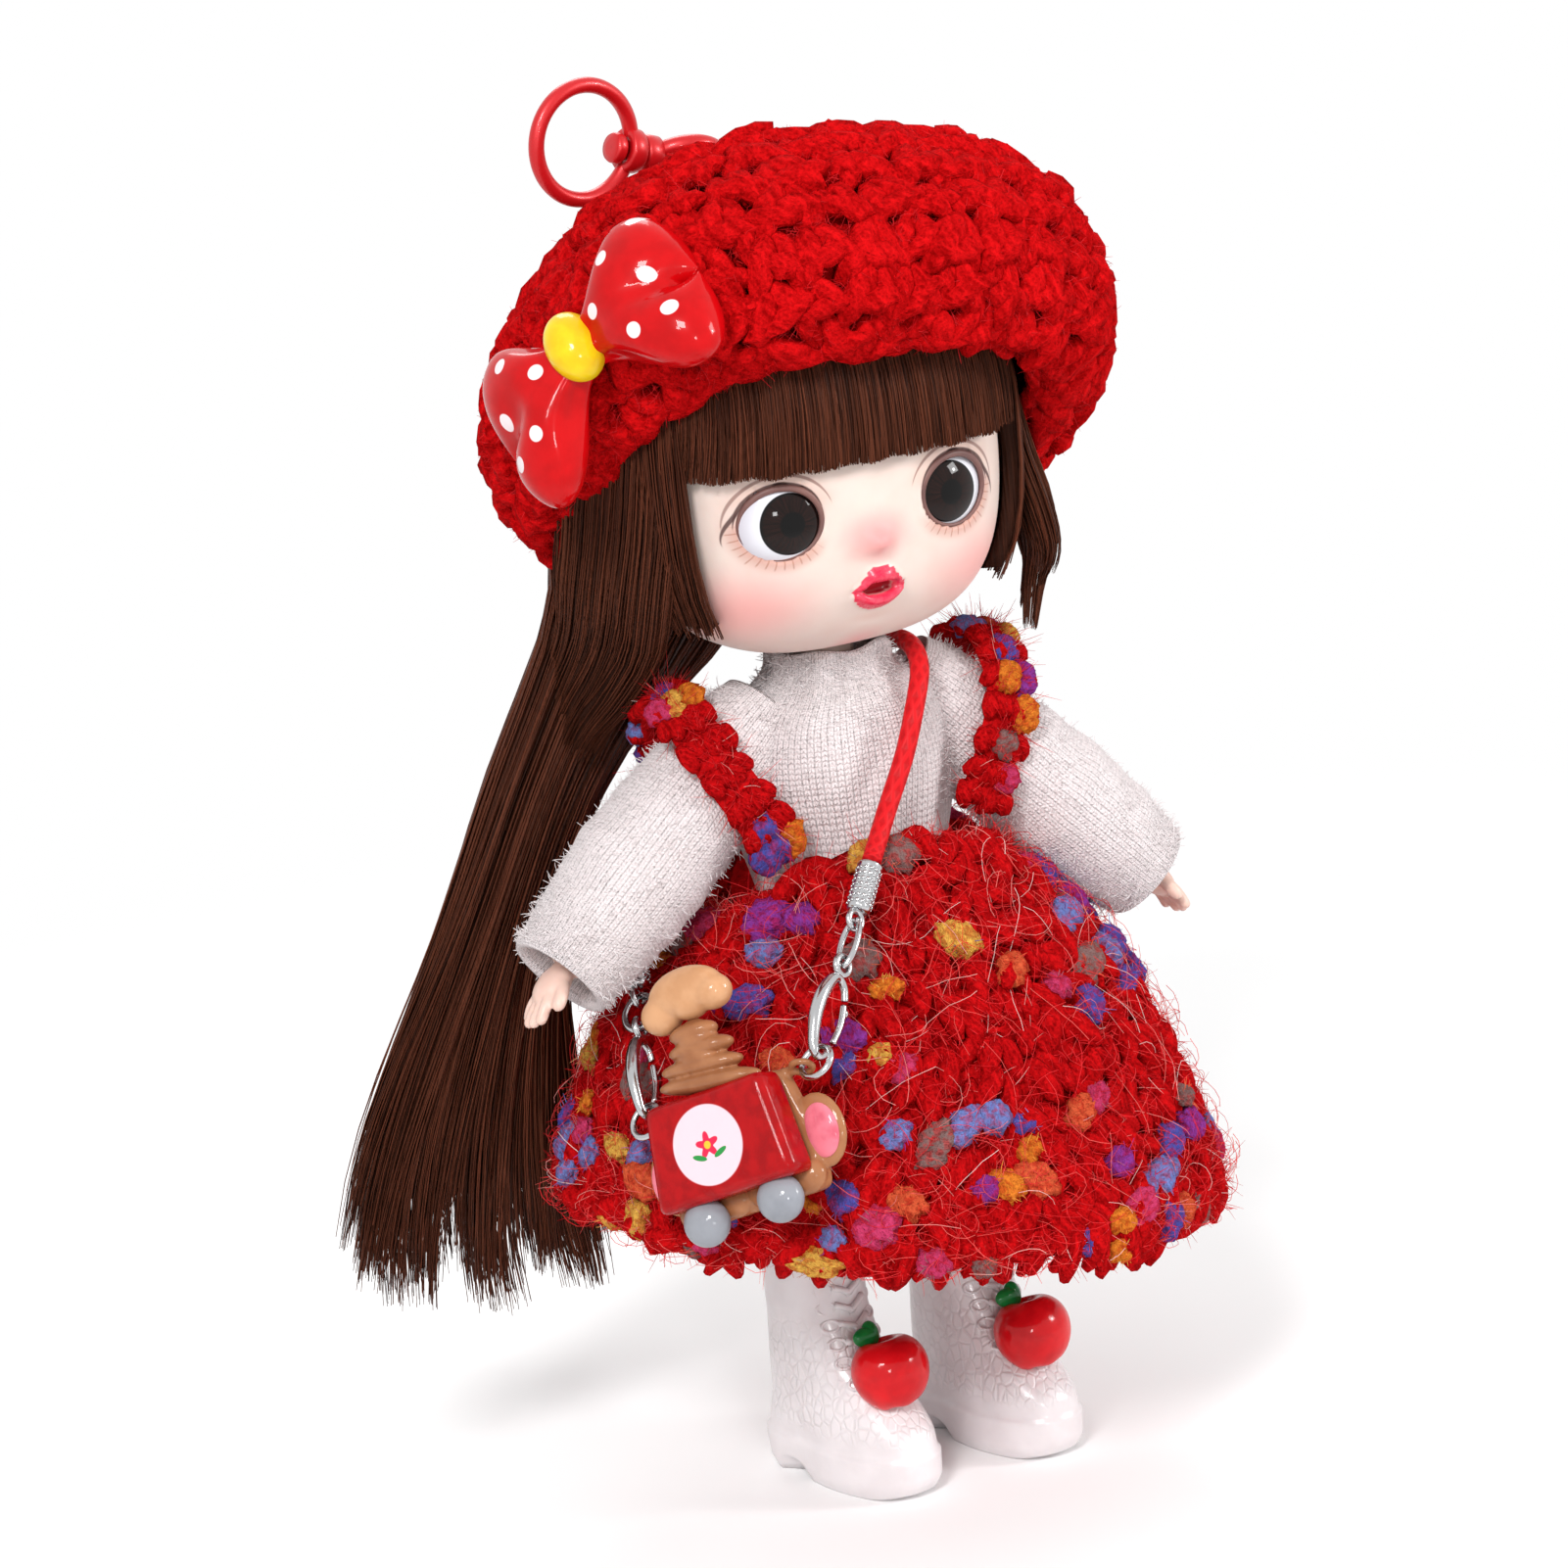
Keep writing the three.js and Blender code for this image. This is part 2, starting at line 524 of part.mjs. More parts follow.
// What the sleeves keep clear of the sweater and the straps
const sleeveRoom = sides.map(([word]) => skin(sleeveTube(GAP + 0.1)).applyMatrix4(armPlaces[word]));

function sweater() {
  const outer = stack([[HIP_Z + 6, 11.3, 8.8], [HIP_Z + 14, 11.6, 9.1], [SHOULDER_Z - 11, 14, 10.4],
    [SHOULDER_Z - 3, 15.4, 10.9], [SHOULDER_Z + 4, 13.2, 10], [SHOULDER_Z + 7.4, 8.2, 7.9],
    [COLLAR_TOP_Z, COLLAR_R, COLLAR_R]], 16);
  const torsoRoom = stack([[HIP_Z - 9, 11, 7.6], ...TORSO_ROWS.slice(2)], 16, GAP);
  const shoulders = sides.map(([, side]) => ball(SLEEVE_BALL_R + 2 * GAP, [side * SHOULDER_X, 0,
    SHOULDER_Z], 14, 10));
  const neckRoom = rod(NECK_R + 1.3, PAST, [0, 0, SHOULDER_Z + 6 + PAST / 2]);
  return cut(outer, torsoRoom, neckRoom, ...shoulders, ...sleeveRoom);
}

// Dress skirt: a bell of thick mohair with soft folds and woolly lumps, its hem drawn up at the doll's right
const SKIRT_ROWS = [
  [0, 20, 15.4], [6, 23.3, 19.8], [12.5, 27.4, 24.6], [19.5, 31.4, 29.4], [27, 35, 34], [34.5, 37.8, 37.2],
  [40, 39.4, 39], [44.6, 40.3, 40], [46.8, 39.6, 39.3],
];
const SKIRT_FORWARD = -3;
const SKIRT_SIDES = 44;
const LUMP_ROWS = 14;
const LUMP_DEPTH = 1.6;
const skirtCurve = new THREE.CatmullRomCurve3(SKIRT_ROWS.map((row) => v3(...row)));

// A ring of the skirt, from 0 at its top to 1 at its hem, with every other point sunk by a lump's depth
function skirtRing(low, thinner, lump = 0, odd = 0) {
  const [drop, rx, ry] = skirtCurve.getPoint(low).toArray();
  return Array.from({ length: SKIRT_SIDES }, (_, i) => {
    const a = (2 * Math.PI * i) / SKIRT_SIDES;
    const grow = -thinner - lump * ((i + odd) % 2);
    const fold = FOLD_DEPTH * low * (Math.sin(FOLDS * a + 0.6) + 0.45 * Math.sin(4 * a + 1.7));
    const dip = DRESS_SIDE_DIP * Math.cos(a) ** 2 * Math.max(0, 1 - 2.2 * low) ** 1.5;
    const rise = HEM_RISE * low * low * Math.cos(a);
    return v3((rx + grow + fold) * Math.cos(a), SKIRT_FORWARD * low + (ry + grow + fold) * Math.sin(a),
      DRESS_TOP_Z - drop - dip - rise);
  });
}

function skirt() {
  const lumps = Array.from({ length: LUMP_ROWS + 1 }, (_, row) => row);
  const outside = lumps.map((row) => skirtRing(row / LUMP_ROWS, 0, LUMP_DEPTH, row));
  const inside = SKIRT_ROWS.map((_, row) => skirtRing(row / (SKIRT_ROWS.length - 1), DRESS_WALL)).reverse();
  return skin([...outside, ...inside], true);
}

// Shoulder straps of the dress, from the front edge over the shoulder to the back edge
function strap(side) {
  const route = [[14.2, -9.6, 1.5], [16.8, -9.9, 6.5], [20.2, -8.2, 13.1], [21.6, -3.4, 18.1], [21.6,
    0.4, 19.1], [21, 4.8, 17.9],
    [19.2, 9, 12.1], [16.2, 10.6, 5.5], [14.2, 9.9, 1.5]];
  const stations = route.map(([x, y, z]) => ({
    at: v3(side * x, y, DRESS_TOP_Z + z), wide: STRAP_WIDTH / 2, thick: STRAP_THICK / 2,
  }));
  return cut(band(stations, v3(1, 0, -0.35 * side).normalize(), 10), ...sleeveRoom);
}

add(model, 'torso', torso(), 'skin');
add(model, 'neck_post', neckPost(), 'skin');
add(model, 'sweater_body', sweater(), 'knit');
add(model, 'dress_skirt', skirt(), 'mohair');
for (const [word, side] of sides) add(model, `dress_strap_${word}`, strap(side), 'mohair');

// Head solid: wide flat cheeks, grown for the hair that lies on it
function headSolid(grow, wide = 20, high = 11) {
  const bend = (w, power) => Math.sign(w) * Math.abs(w) ** power;
  const rings = [];
  for (let row = 1; row < high; row++) {
    const up = Math.PI * (row / high - 0.5);
    const square = up < 0 ? JOWL : CROWN_BEND;
    const level = bend(Math.cos(up), square);
    const z = HEAD.z + (HEAD_RZ + grow) * bend(Math.sin(up), square);
    const [rx, ry] = [(HEAD_RX + grow) * level, (HEAD_RY + grow) * level];
    rings.push(ring(0, HEAD.y, z, rx, ry, wide, HEAD_SQUARE));
  }
  return skin(rings);
}

// The beret turns about its own axis, which leans back from straight up
const beretAxis = v3(Math.sin(rad(BERET_LEAN)), Math.cos(rad(BERET_LEAN)) * Math.sin(rad(BERET_TILT)),
  Math.cos(rad(BERET_LEAN)) * Math.cos(rad(BERET_TILT)));
const onCrown = (height) => BERET.clone().addScaledVector(beretAxis, height).add(v3(CROWN_SHIFT, 0, 0));
const leanBack = [90 - BERET_TILT, 0, -BERET_LEAN];
const SCREW_EYE = onCrown(BERET_CROWN + 2 * GAP + EYE_RING_R + EYE_WIRE_R);
const shankHole = () => rod(SHANK_R + GAP, 30, onCrown(BERET_CROWN).toArray(), leanBack, 10);

// The outside with its rows of stitches, each drawn in at both its edges
function stitchRows(profile) {
  const outline = new THREE.Path(profile.map(([r, h]) => new THREE.Vector2(r, h)));
  const places = outline.getSpacedPoints(2 * BERET_ROWS);
  return places.map((place, i) => {
    if (i % 2 === 0) return place.toArray();
    const along = places[i + 1].clone().sub(places[i - 1]).normalize();
    return [place.x + BERET_ROW_DEPTH * along.y, place.y - BERET_ROW_DEPTH * along.x];
  });
}

function beret(grow, filled) {
  const inner = BERET_R - BERET_WALL;
  const profile = [[0, BERET_CROWN + grow], [15, BERET_CROWN - 1.1 + grow], [26, BERET_CROWN - 5.6 + grow],
    [34.2 + grow, 13.4 + grow / 2], [BERET_R + grow, 4], [BERET_R - 0.6 + grow, -2.6],
    [35.8 + grow, -7.2 - grow / 2],
    [31.4, BERET_RIM - 3.6 - grow], [BERET_RIM_R + 0.6, BERET_RIM - 2.4 - grow]];
  const back = filled ? [[0, BERET_RIM - 2.4 - grow]]
    : [[BERET_RIM_R, BERET_RIM], [inner - 2.6, -4.6], [inner, 1],
      [inner - 3.4, 9], [23, 16], [13, 20.8], [0, BERET_CROWN - BERET_WALL]];
  const outside = filled ? profile : stitchRows(profile);
  const points = [...outside, ...back].map(([r, h]) => new THREE.Vector2(r, h)).reverse();
  return put(new THREE.LatheGeometry(points, 22), BERET.toArray(), leanBack);
}

const neckBlock = (grow) => rod(NECK_BALL_R + 2.2 + grow, 7 + 2 * grow, [0, 0, NECK_PIVOT_Z + 1]);
const NOSE = v3(0, HEAD.y - HEAD_RY + 0.5, HEAD.z - 11);
const MOUTH = v3(0, HEAD.y - HEAD_RY + 3.1, HEAD.z - 17.2);

function faceShell() {
  const front = block(PAST * 2, PAST, PAST * 3, [0, HEAD.y - GAP / 2 - PAST / 2, HEAD.z]);
  const lips = join(egg(3.1, 1.8, 1.1, MOUTH.clone().add(v3(0, 0, 1)).toArray(), 10, 6),
    egg(2.6, 1.9, 1.1, MOUTH.clone().add(v3(0, 0, -0.9)).toArray(), 10, 6));
  const shell = cut(join(headSolid(0), egg(1.9, 1.9, 1.5, NOSE.toArray(), 10, 6), lips),
    headSolid(-HEAD_WALL, 14, 9));
  const tools = [neckBlock(GAP), rod(NECK_BALL_R + 0.4, 12, [0, 0, NECK_PIVOT_Z - 6])];
  for (const [, side] of sides) {
    const eye = [side * EYE_X, EYE_Y, EYE_Z];
    tools.push(ball(EYE_R + GAP, eye, 16, 10), rod(EYE_HOLE_R, 12, [eye[0], eye[1] - 8, eye[2]], [0, 0,
      0], 16));
  }
  return cut(common(shell, front), ...tools);
}

function skullCap() {
  const behind = block(PAST * 2, PAST, PAST * 3, [0, HEAD.y + GAP / 2 + PAST / 2, HEAD.z]);
  const shell = common(cut(headSolid(0), headSolid(-HEAD_WALL, 14, 9)), behind);
  return cut(join(shell, neckBlock(0)), ball(NECK_BALL_R + GAP, [0, 0, NECK_PIVOT_Z], 18, 14),
    rod(NECK_BALL_R + 0.1, 12, [0, 0, NECK_PIVOT_Z - 6]), shankHole());
}

// Hair glued on the head: a cap with an open face, and blunt bangs in the opening
const windowAt = (half, top, edge) =>
  block(2 * half, PAST, top - HEAD.z + PAST, [0, HEAD.y - edge - PAST / 2, (top + HEAD.z - PAST) / 2]);
const hairShell = () => cut(headSolid(WIG + GAP), headSolid(GAP));
const HAIRLINE = 9.7;

function wigCap() {
  const under = block(PAST * 2, PAST * 2, PAST, [0, 0, HEAD.z - 19 - PAST / 2]);
  return cut(hairShell(), windowAt(FACE_HALF, BANGS_TOP_Z + GAP, HAIRLINE), under, shankHole());
}

function bangs() {
  const above = block(PAST, PAST, BANGS_TOP_Z - BANGS_Z, [0, HEAD.y - HAIRLINE - GAP - PAST / 2,
    (BANGS_TOP_Z + BANGS_Z) / 2]);
  const between = block(2 * (FACE_HALF - GAP), PAST * 2, PAST, [0, 0, HEAD.z]);
  return common(common(hairShell(), above), between);
}

// Long hair swept to the doll's right and down behind the arm, and a short lock at the left cheek
const roomOfHead = () => [headSolid(WIG + 2 * GAP), beret(GAP, true)];

function hairFall() {
  const stations = [
    [-6, 26, -9, 17, 4, 8], [-11, 24.5, -17, 15.5, 5, 10], [-17.5, 22, -25.5, 12.5, 5.4, 16], [-26, 20,
      -34.5, 9.6, 5.2, 20],
    [-33, 18.6, -44, 9, 4.8, 22], [-38, 18.2, -54, 9.6, 4.4, 22], [-41.4, 18.4, -64, 10.8, 4, 22],
      [-44.8, 18.8, -76, 13, 3.6, 22],
    [-47.6, 19.2, -87, 15.4, 3.2, 21], [-49.6, 19.4, -98, 17, 2.6, 20], [-50, 19.4, -106, 16.6, 1.6, 20],
  ].map(([x, y, z, wide, thick, turn]) => ({
    at: v3(x, y, HEAD.z + z), wide, thick, along: v3(Math.cos(rad(turn)), Math.sin(rad(turn)), 0),
  }));
  const curtain = [
    [-24.6, 0, 1, 9, 1.6], [-25.8, 1, -7, 9.6, 2.4], [-26.4, 3, -15, 9.4, 3], [-26, 8.8, -23.5, 8, 3.4],
    [-27.4, 14.6, -31, 6.6, 3.4], [-30, 18, -39, 5, 3],
  ].map(([x, y, z, wide, thick]) => ({ at: v3(x, y, HEAD.z + z), wide, thick, along: v3(-0.25, 1, 0) }));
  return cut(join(band(stations, v3(1, 0, 0), 14), band(curtain, v3(0, 1, 0), 10)), ...roomOfHead());
}

function sideLock() {
  const stations = [
    [24.2, -5, 0, 6, 1.8], [25.4, -5, -7, 6, 2], [27, -5, -14, 5.4, 2.2], [30, -4, -21, 4, 1.9], [32.5,
      -3, -26.5, 2, 1],
  ].map(([x, y, z, wide, thick]) => ({ at: v3(x, y, HEAD.z + z), wide, thick }));
  return cut(band(stations, v3(0.3, 1, 0), 10), ...roomOfHead());
}

function headScrewEye() {
  const low = BERET_CROWN - 10;
  const high = BERET_CROWN + 2 * GAP + 0.4;
  const shank = rod(SHANK_R, high - low, onCrown((high + low) / 2).toArray(), leanBack, 10);
  const loop = groupAlong(model, SCREW_EYE, CLASP_WAY, CLASP_UP);
  loop.updateMatrix();
  model.remove(loop);
  const eye = put(new THREE.TorusGeometry(EYE_RING_R, EYE_WIRE_R, 6, 16), [0, 0, 0], [0, 90,
    0]).applyMatrix4(loop.matrix);
  return join(shank, eye);
}

// Resin bow on the beret's right front: two swelling lobes and a round knot
const BOW_OUT = v3(-0.875, -0.35, 0.35);
const BOW_ALONG = v3(0.549, -0.558, 0.625);
const BOW = BERET.clone().add(v3(-35.9, -17.2, 13.3));

function bow(group) {
  const root = (way) => egg(6.4, 3, 5.2, [way * 6, 0, 0], 8, 5);
  const lobe = (way) => join(root(way), egg(7.2, 3.6, 10.2, [way * 11.4, 0, 0], 10, 7));
  const knot = egg(3.3, 3.5, 4.6, [0, 1.8, 0], 10, 6);
  const room = egg(3.4 + GAP, 3.6 + GAP, 4.7 + GAP, [0, 1.8, 0], 10, 6);
  const waist = rod(2, 6, [0, -1, 0], [0, 0, 90], 10);
  const place = group.matrix.clone().invert();
  add(group, 'bow_body', cut(join(lobe(-1), lobe(1), waist), room, beret(GAP, true).applyMatrix4(place)),
    'gloss');
  add(group, 'bow_knot', knot, 'yellow');
}

add(model, 'face_shell', faceShell(), 'skin');
add(model, 'skull_cap', skullCap(), 'skin');
for (const [word, side] of sides) {
  add(model, `eye_${word}`, ball(EYE_R, [side * EYE_X, EYE_Y, EYE_Z], 16, 10), 'eye');
}
add(model, 'wig_cap', wigCap(), 'hair');
add(model, 'bangs', bangs(), 'hair');
add(model, 'hair_fall', hairFall(), 'hair');
add(model, 'side_lock_left', sideLock(), 'hair');
add(model, 'beret', cut(beret(0, false), headSolid(WIG + 2 * GAP), shankHole()), 'crochet');
add(model, 'head_screw_eye', headScrewEye(), 'red_metal');
const bowGroup = groupAlong(model, BOW, v3(0, 0, 0).crossVectors(BOW_ALONG, BOW_OUT.clone().negate()),
  BOW_OUT);
bowGroup.updateMatrix();
bow(bowGroup);

// Spring hook in its own X and Z: it wraps the wire at the origin, and its gate closes the -X side
function hook({ wire, width, length }, hookedWire) {
  const turnR = hookedWire + GAP + wire;
  const half = width / 2;
  const gate = [v3(-half * 0.86, 0, length * 0.72), v3(-half, 0, length * 0.45), v3(-half * 0.8, 0,
    turnR * 1.15)];
  const shoulder = v3(-half * 0.84, 0, length * 0.72 + 2 * GAP);
  const body = tube([v3(-half * 0.66, 0, turnR * 0.55), v3(-turnR * 0.8, 0, -turnR * 0.5), v3(0, 0, -turnR),
    v3(turnR * 0.9, 0, -turnR * 0.45), v3(half * 0.95, 0, length * 0.3), v3(half * 0.9, 0, length * 0.65),
    v3(half * 0.5, 0, length * 0.92), v3(0, 0, length), v3(-half * 0.55, 0, length * 0.93), shoulder],
      wire, 17, 6);
  const lever = tube(gate, wire * 0.7, 5, 6);
  return { body, lever, pivot: gate[0], top: length + wire };
}

const key = groupAlong(model, SCREW_EYE, CLASP_WAY, CLASP_UP);

function keyClasp() {
  const { body, lever } = hook(KEY_HOOK, EYE_WIRE_R);
  const neck = EYE_RING_R + KEY_HOOK.length;
  const disc = neck + KEY_HOOK.wire + 1.6 + SWIVEL_DISC / 2 + GAP;
  const middle = disc + KEY_RING_R;
  const shank = rod(SWIVEL_R, disc + SWIVEL_DISC / 2 + GAP + 1 - neck, [0, 0,
    (neck + disc + SWIVEL_DISC / 2 + GAP + 1) / 2], [90, 0, 0], 12);
  const collar = rod(2.3, KEY_HOOK.wire + 1.6, [0, 0, neck + (KEY_HOOK.wire + 1.6) / 2], [90, 0, 0], 14);
  const head = rod(SWIVEL_R + 0.9, 1.5, [0, 0, disc + SWIVEL_DISC / 2 + GAP + 0.75], [90, 0, 0], 12);
  add(key, 'key_clasp_body', join(put(body, [0, 0, EYE_RING_R]), collar, shank, head), 'red_metal');
  add(key, 'key_clasp_lever', put(lever, [0, 0, EYE_RING_R]), 'red_metal');
  const turned = put(new THREE.TorusGeometry(KEY_RING_R, KEY_RING_WIRE, 6, 22), [0, 0, 0], [90, 0, 0]);
  const loop = put(turned, [0, 0, middle], [0, 0, KEY_RING_TURN]);
  const boss = rod(SWIVEL_DISC_R, SWIVEL_DISC, [0, 0, disc], [90, 0, 0], 16);
  const bore = rod(SWIVEL_R + GAP, 9, [0, 0, disc + 1], [90, 0, 0], 12);
  const headRoom = rod(SWIVEL_R + 0.9 + GAP, 4, [0, 0, disc + SWIVEL_DISC / 2 + 2], [90, 0, 0], 12);
  add(key, 'key_ring', cut(join(loop, boss), bore, headRoom), 'red_metal');
}
keyClasp();

// Chain of one side of the bag cord, from its bag ring up to the crimp, in its own frame
const ringLine = v3(0, 0, 0).subVectors(RING_FRONT, RING_SIDE).normalize();
const eyeAt = BAG_RING_R + BAG_HOOK.length + BAG_HOOK.wire + CLASP_EYE_R;
const flatRing = (r, wire, z) => put(new THREE.TorusGeometry(r, wire, 5, 14), [0, 0, z], [0, 90, 0]);
const crossRing = (r, wire, z) => put(new THREE.TorusGeometry(r, wire, 5, 14), [0, 0, z], [90, 0, 0]);

// A ring drawn out along its X into a long link
function longLink(r, wire, length) {
  const geometry = new THREE.TorusGeometry(r, wire, 5, 14);
  const place = geometry.getAttribute('position');
  for (let i = 0; i < place.count; i++) {
    const x = place.getX(i);
    place.setX(i, x + Math.sign(x) * (length / 2 - r));
  }
  return geometry;
}

function crimp(loopAt) {
  const loop = crossRing(CLASP_EYE_R, RING_WIRE, loopAt);
  const low = loopAt + CLASP_EYE_R;
  return join(loop, rod(CRIMP_R, CRIMP_LENGTH, [0, 0, low + CRIMP_LENGTH / 2], [90, 0, 0], 12));
}

function clasp(group, word) {
  const { body, lever } = hook(BAG_HOOK, RING_WIRE);
  const eye = crossRing(CLASP_EYE_R, RING_WIRE + 0.05, eyeAt);
  add(group, `bag_ring_${word}`, flatRing(BAG_RING_R, RING_WIRE, 0), 'silver');
  add(group, `clasp_body_${word}`, join(put(body, [0, 0, BAG_RING_R]), eye), 'silver');
  add(group, `clasp_lever_${word}`, put(lever, [0, 0, BAG_RING_R]), 'silver');
}

const front = groupAlong(model, RING_FRONT, CHAIN_FRONT_WAY, v3(0, 0, 0).crossVectors(CHAIN_FRONT_WAY,
  v3(0, 0, 0).crossVectors(ringLine, CHAIN_FRONT_WAY)));
clasp(front, 'front');
const link = longLink(CLASP_EYE_R, RING_WIRE, LINK_LENGTH);
add(front, 'chain_link_front', put(link, [0, 0, eyeAt + LINK_LENGTH / 2], [0, 90, 0]), 'silver');
add(front, 'crimp_front', crimp(eyeAt + LINK_LENGTH), 'silver');

const side = groupAlong(model, RING_SIDE, CHAIN_SIDE_WAY, v3(0, 0, 0).crossVectors(CHAIN_SIDE_WAY, v3(0,
  0, 0).crossVectors(ringLine, CHAIN_SIDE_WAY)));
clasp(side, 'side');
add(side, 'jump_ring_side', flatRing(JUMP_RING_R, RING_WIRE + 0.05, eyeAt + JUMP_RING_R), 'silver');
add(side, 'crimp_side', crimp(eyeAt + 2 * JUMP_RING_R), 'silver');

add(model, 'bag_cord', tube(CORD_ROUTE.map(([x, y, z]) => v3(x, y, SHOULDER_Z + z)), CORD_R, CORD_STEPS),
  'cord');

// Bag: X along the line of its rings, Y into the dress, Z up the bag
const bagMiddle = v3(0, 0, 0).addVectors(RING_FRONT, RING_SIDE).divideScalar(2);
const bagBasis = new THREE.Matrix4().makeBasis(ringLine, BAG_OUT.clone().negate(), v3(0, 0,
  0).crossVectors(ringLine, BAG_OUT.clone().negate()));
const bag = new THREE.Group();
bag.position.copy(bagMiddle);
bag.setRotationFromMatrix(bagBasis);
model.add(bag);

// Plate with rounded corners, seen along Y, from front to back
function plate(outline, frontY, depth, round = 0.5) {
  const shape = new THREE.Shape(outline.map(([x, z]) => new THREE.Vector2(x, z)));
  const bevel = { bevelEnabled: true, bevelThickness: round, bevelSize: round, bevelOffset: -round,
    bevelSegments: 1 };
  const geometry = new THREE.ExtrudeGeometry(shape, { depth: depth - 2 * round, steps: 1, ...bevel });
  return put(geometry, [0, frontY + depth - round, 0], [90, 0, 0]);
}

function fillBag() {
  const reach = RING_FRONT.distanceTo(RING_SIDE) / 2 - BAG_RING_R;
  const { width, height, depth, middle } = BAG_BOX;
  const low = middle - height / 2;
  const high = middle + height / 2;
  const slabY = -BAG_SLAB / 2;
  const slab = plate([[-width / 2 - 1.6, low - 3.2], [width / 2 + 1.6, low - 3.2], [width / 2 + 2, low + 3],
    [width / 2 - 0.4, high + 0.5], [-width / 2 + 0.4, high + 0.5], [-width / 2 - 2, low + 3]], slabY,
      BAG_SLAB);
  const tabs = [-1, 1].map((way) => egg(3.4, 1.1, 4.4, [way * (width / 2 + 2), 0, middle - 2.2], 10, 5));
  const stems = width / 2 - 2;
  const eyelets = [-1, 1].flatMap((way) => [
    put(new THREE.TorusGeometry(EYELET_R, 0.45, 6, 12), [way * reach, 0, 0], [-30, 0, 0]),
    rod(0.7, reach - EYELET_R - stems, [(way * (reach - EYELET_R + stems)) / 2, 0, 0], [0, 0, 90], 8),
  ]);
  add(bag, 'bag_base', join(slab, ...tabs, ...eyelets), 'cocoa');
  const boxBack = slabY - GAP;
  add(bag, 'bag_box', plate([[-width / 2 - 0.8, low], [width / 2 + 0.8, low], [width / 2 - 0.8, high],
    [-width / 2 + 0.8, high]],
    boxBack - depth, depth, 1), 'gloss');
  for (const way of [-1, 1]) {
    const foot = egg(BAG_FOOT_R, 2.2, BAG_FOOT_R, [way * 5.4, boxBack - 2.4, low - GAP - BAG_FOOT_R], 12,
      8);
    add(bag, `bag_foot_${way < 0 ? 'left' : 'right'}`, foot, 'grey');
  }
  const tiers = [[8.6, 3.4, 1.5], [6.4, 2.8, 4], [4.2, 2.3, 6.8]];
  const swirl = join(...tiers.map(([wide, deep, up]) => egg(wide, deep, 1.9, [0, boxBack - 2.6,
    high + GAP + up], 10, 6)));
  const floor = block(PAST, PAST, PAST, [0, 0, high + GAP - PAST / 2]);
  add(bag, 'bag_swirl', cut(swirl, floor), 'cocoa');
  const top = high + GAP + 8.8;
  const biscuit = join(egg(5.4, 2.5, 3, [0, boxBack - 2.6, top + 3], 10, 6), egg(2.6, 2.3, 2.2, [-3.8,
    boxBack - 2.6, top + 1.6], 8, 5),
    egg(2.6, 2.3, 2.2, [3.6, boxBack - 2.6, top + 1.8], 8, 5));
  add(bag, 'bag_biscuit', cut(biscuit, put(swirl, [0, 0, GAP])), 'biscuit');
}
fillBag();

// The origin is the middle of the base of the whole object
const charm = new THREE.Group();
charm.add(model);
const extent = new THREE.Box3().setFromObject(model, true);
const middle = extent.getCenter(v3(0, 0, 0));
model.position.set(-middle.x, -middle.y, -extent.min.z);

export default charm;
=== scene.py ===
import logging
import math
import random
from dataclasses import dataclass, field
from enum import Enum
from typing import Callable, Optional, Sequence, Union

import bpy
from mathutils import Matrix, Vector, noise


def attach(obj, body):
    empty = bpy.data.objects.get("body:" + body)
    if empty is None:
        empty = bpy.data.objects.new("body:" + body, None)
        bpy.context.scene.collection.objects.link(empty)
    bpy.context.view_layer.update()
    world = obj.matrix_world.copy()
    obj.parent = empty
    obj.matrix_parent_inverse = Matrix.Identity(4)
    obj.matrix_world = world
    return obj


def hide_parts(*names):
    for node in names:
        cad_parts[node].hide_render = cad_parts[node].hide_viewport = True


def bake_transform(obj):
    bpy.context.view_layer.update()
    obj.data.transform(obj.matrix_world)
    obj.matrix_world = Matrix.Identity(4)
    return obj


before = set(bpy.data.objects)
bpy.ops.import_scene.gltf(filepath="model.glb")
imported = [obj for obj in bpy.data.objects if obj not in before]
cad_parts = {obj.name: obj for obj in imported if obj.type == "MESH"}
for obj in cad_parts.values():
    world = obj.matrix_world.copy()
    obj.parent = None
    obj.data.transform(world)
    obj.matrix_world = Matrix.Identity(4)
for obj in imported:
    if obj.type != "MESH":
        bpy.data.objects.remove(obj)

LOG = logging.getLogger("charm")
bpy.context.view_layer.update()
MM = 0.001
# From the doll's own frame, with its middle line at x = 0, to the middle of the whole charm's base
SHIFT = Vector((11.145, 1.3889, 0.0))
# How far along a loose fibre its points lie
FIBRE_STEPS = (0, 0.3, 0.65, 1)
# Points round a strand of hair or wool
STRAND_SIDES = 3
# How far red, green and blue light goes into vinyl, in metres
SKIN_DEPTH = (0.002, 0.001, 0.0006)

Value = Union[float, Sequence[float], "Wire"]
Colour = tuple[float, float, float]


class Body(Enum):
    """The bodies of the frame that pieces of this scene ride on."""

    TORSO = "torso"
    NECK = "neck"
    HEAD = "head"
    BAG = "bag"
    KEY_CLASP = "key_clasp"
    KEY_LEVER = "key_clasp_lever"
    KEY_RING = "key_ring"


class Side(Enum):
    """The doll's own right and left, as the sign of their x."""

    RIGHT = -1
    LEFT = 1

    @property
    def word(self) -> str:
        """The side as node and body names spell it."""
        return self.name.lower()


def clamp(value: float, low: float = 0.0, high: float = 1.0) -> float:
    """The value kept between low and high."""
    return max(low, min(high, value))


def ease(value: float, low: float, high: float) -> float:
    """A smooth step from 0 at low to 1 at high, also where high is below low."""
    t = clamp((value - low) / (high - low))
    return t * t * (3 - 2 * t)


def bend(value: float, power: float) -> float:
    """The value's power with its sign kept."""
    return math.copysign(abs(value) ** power, value)


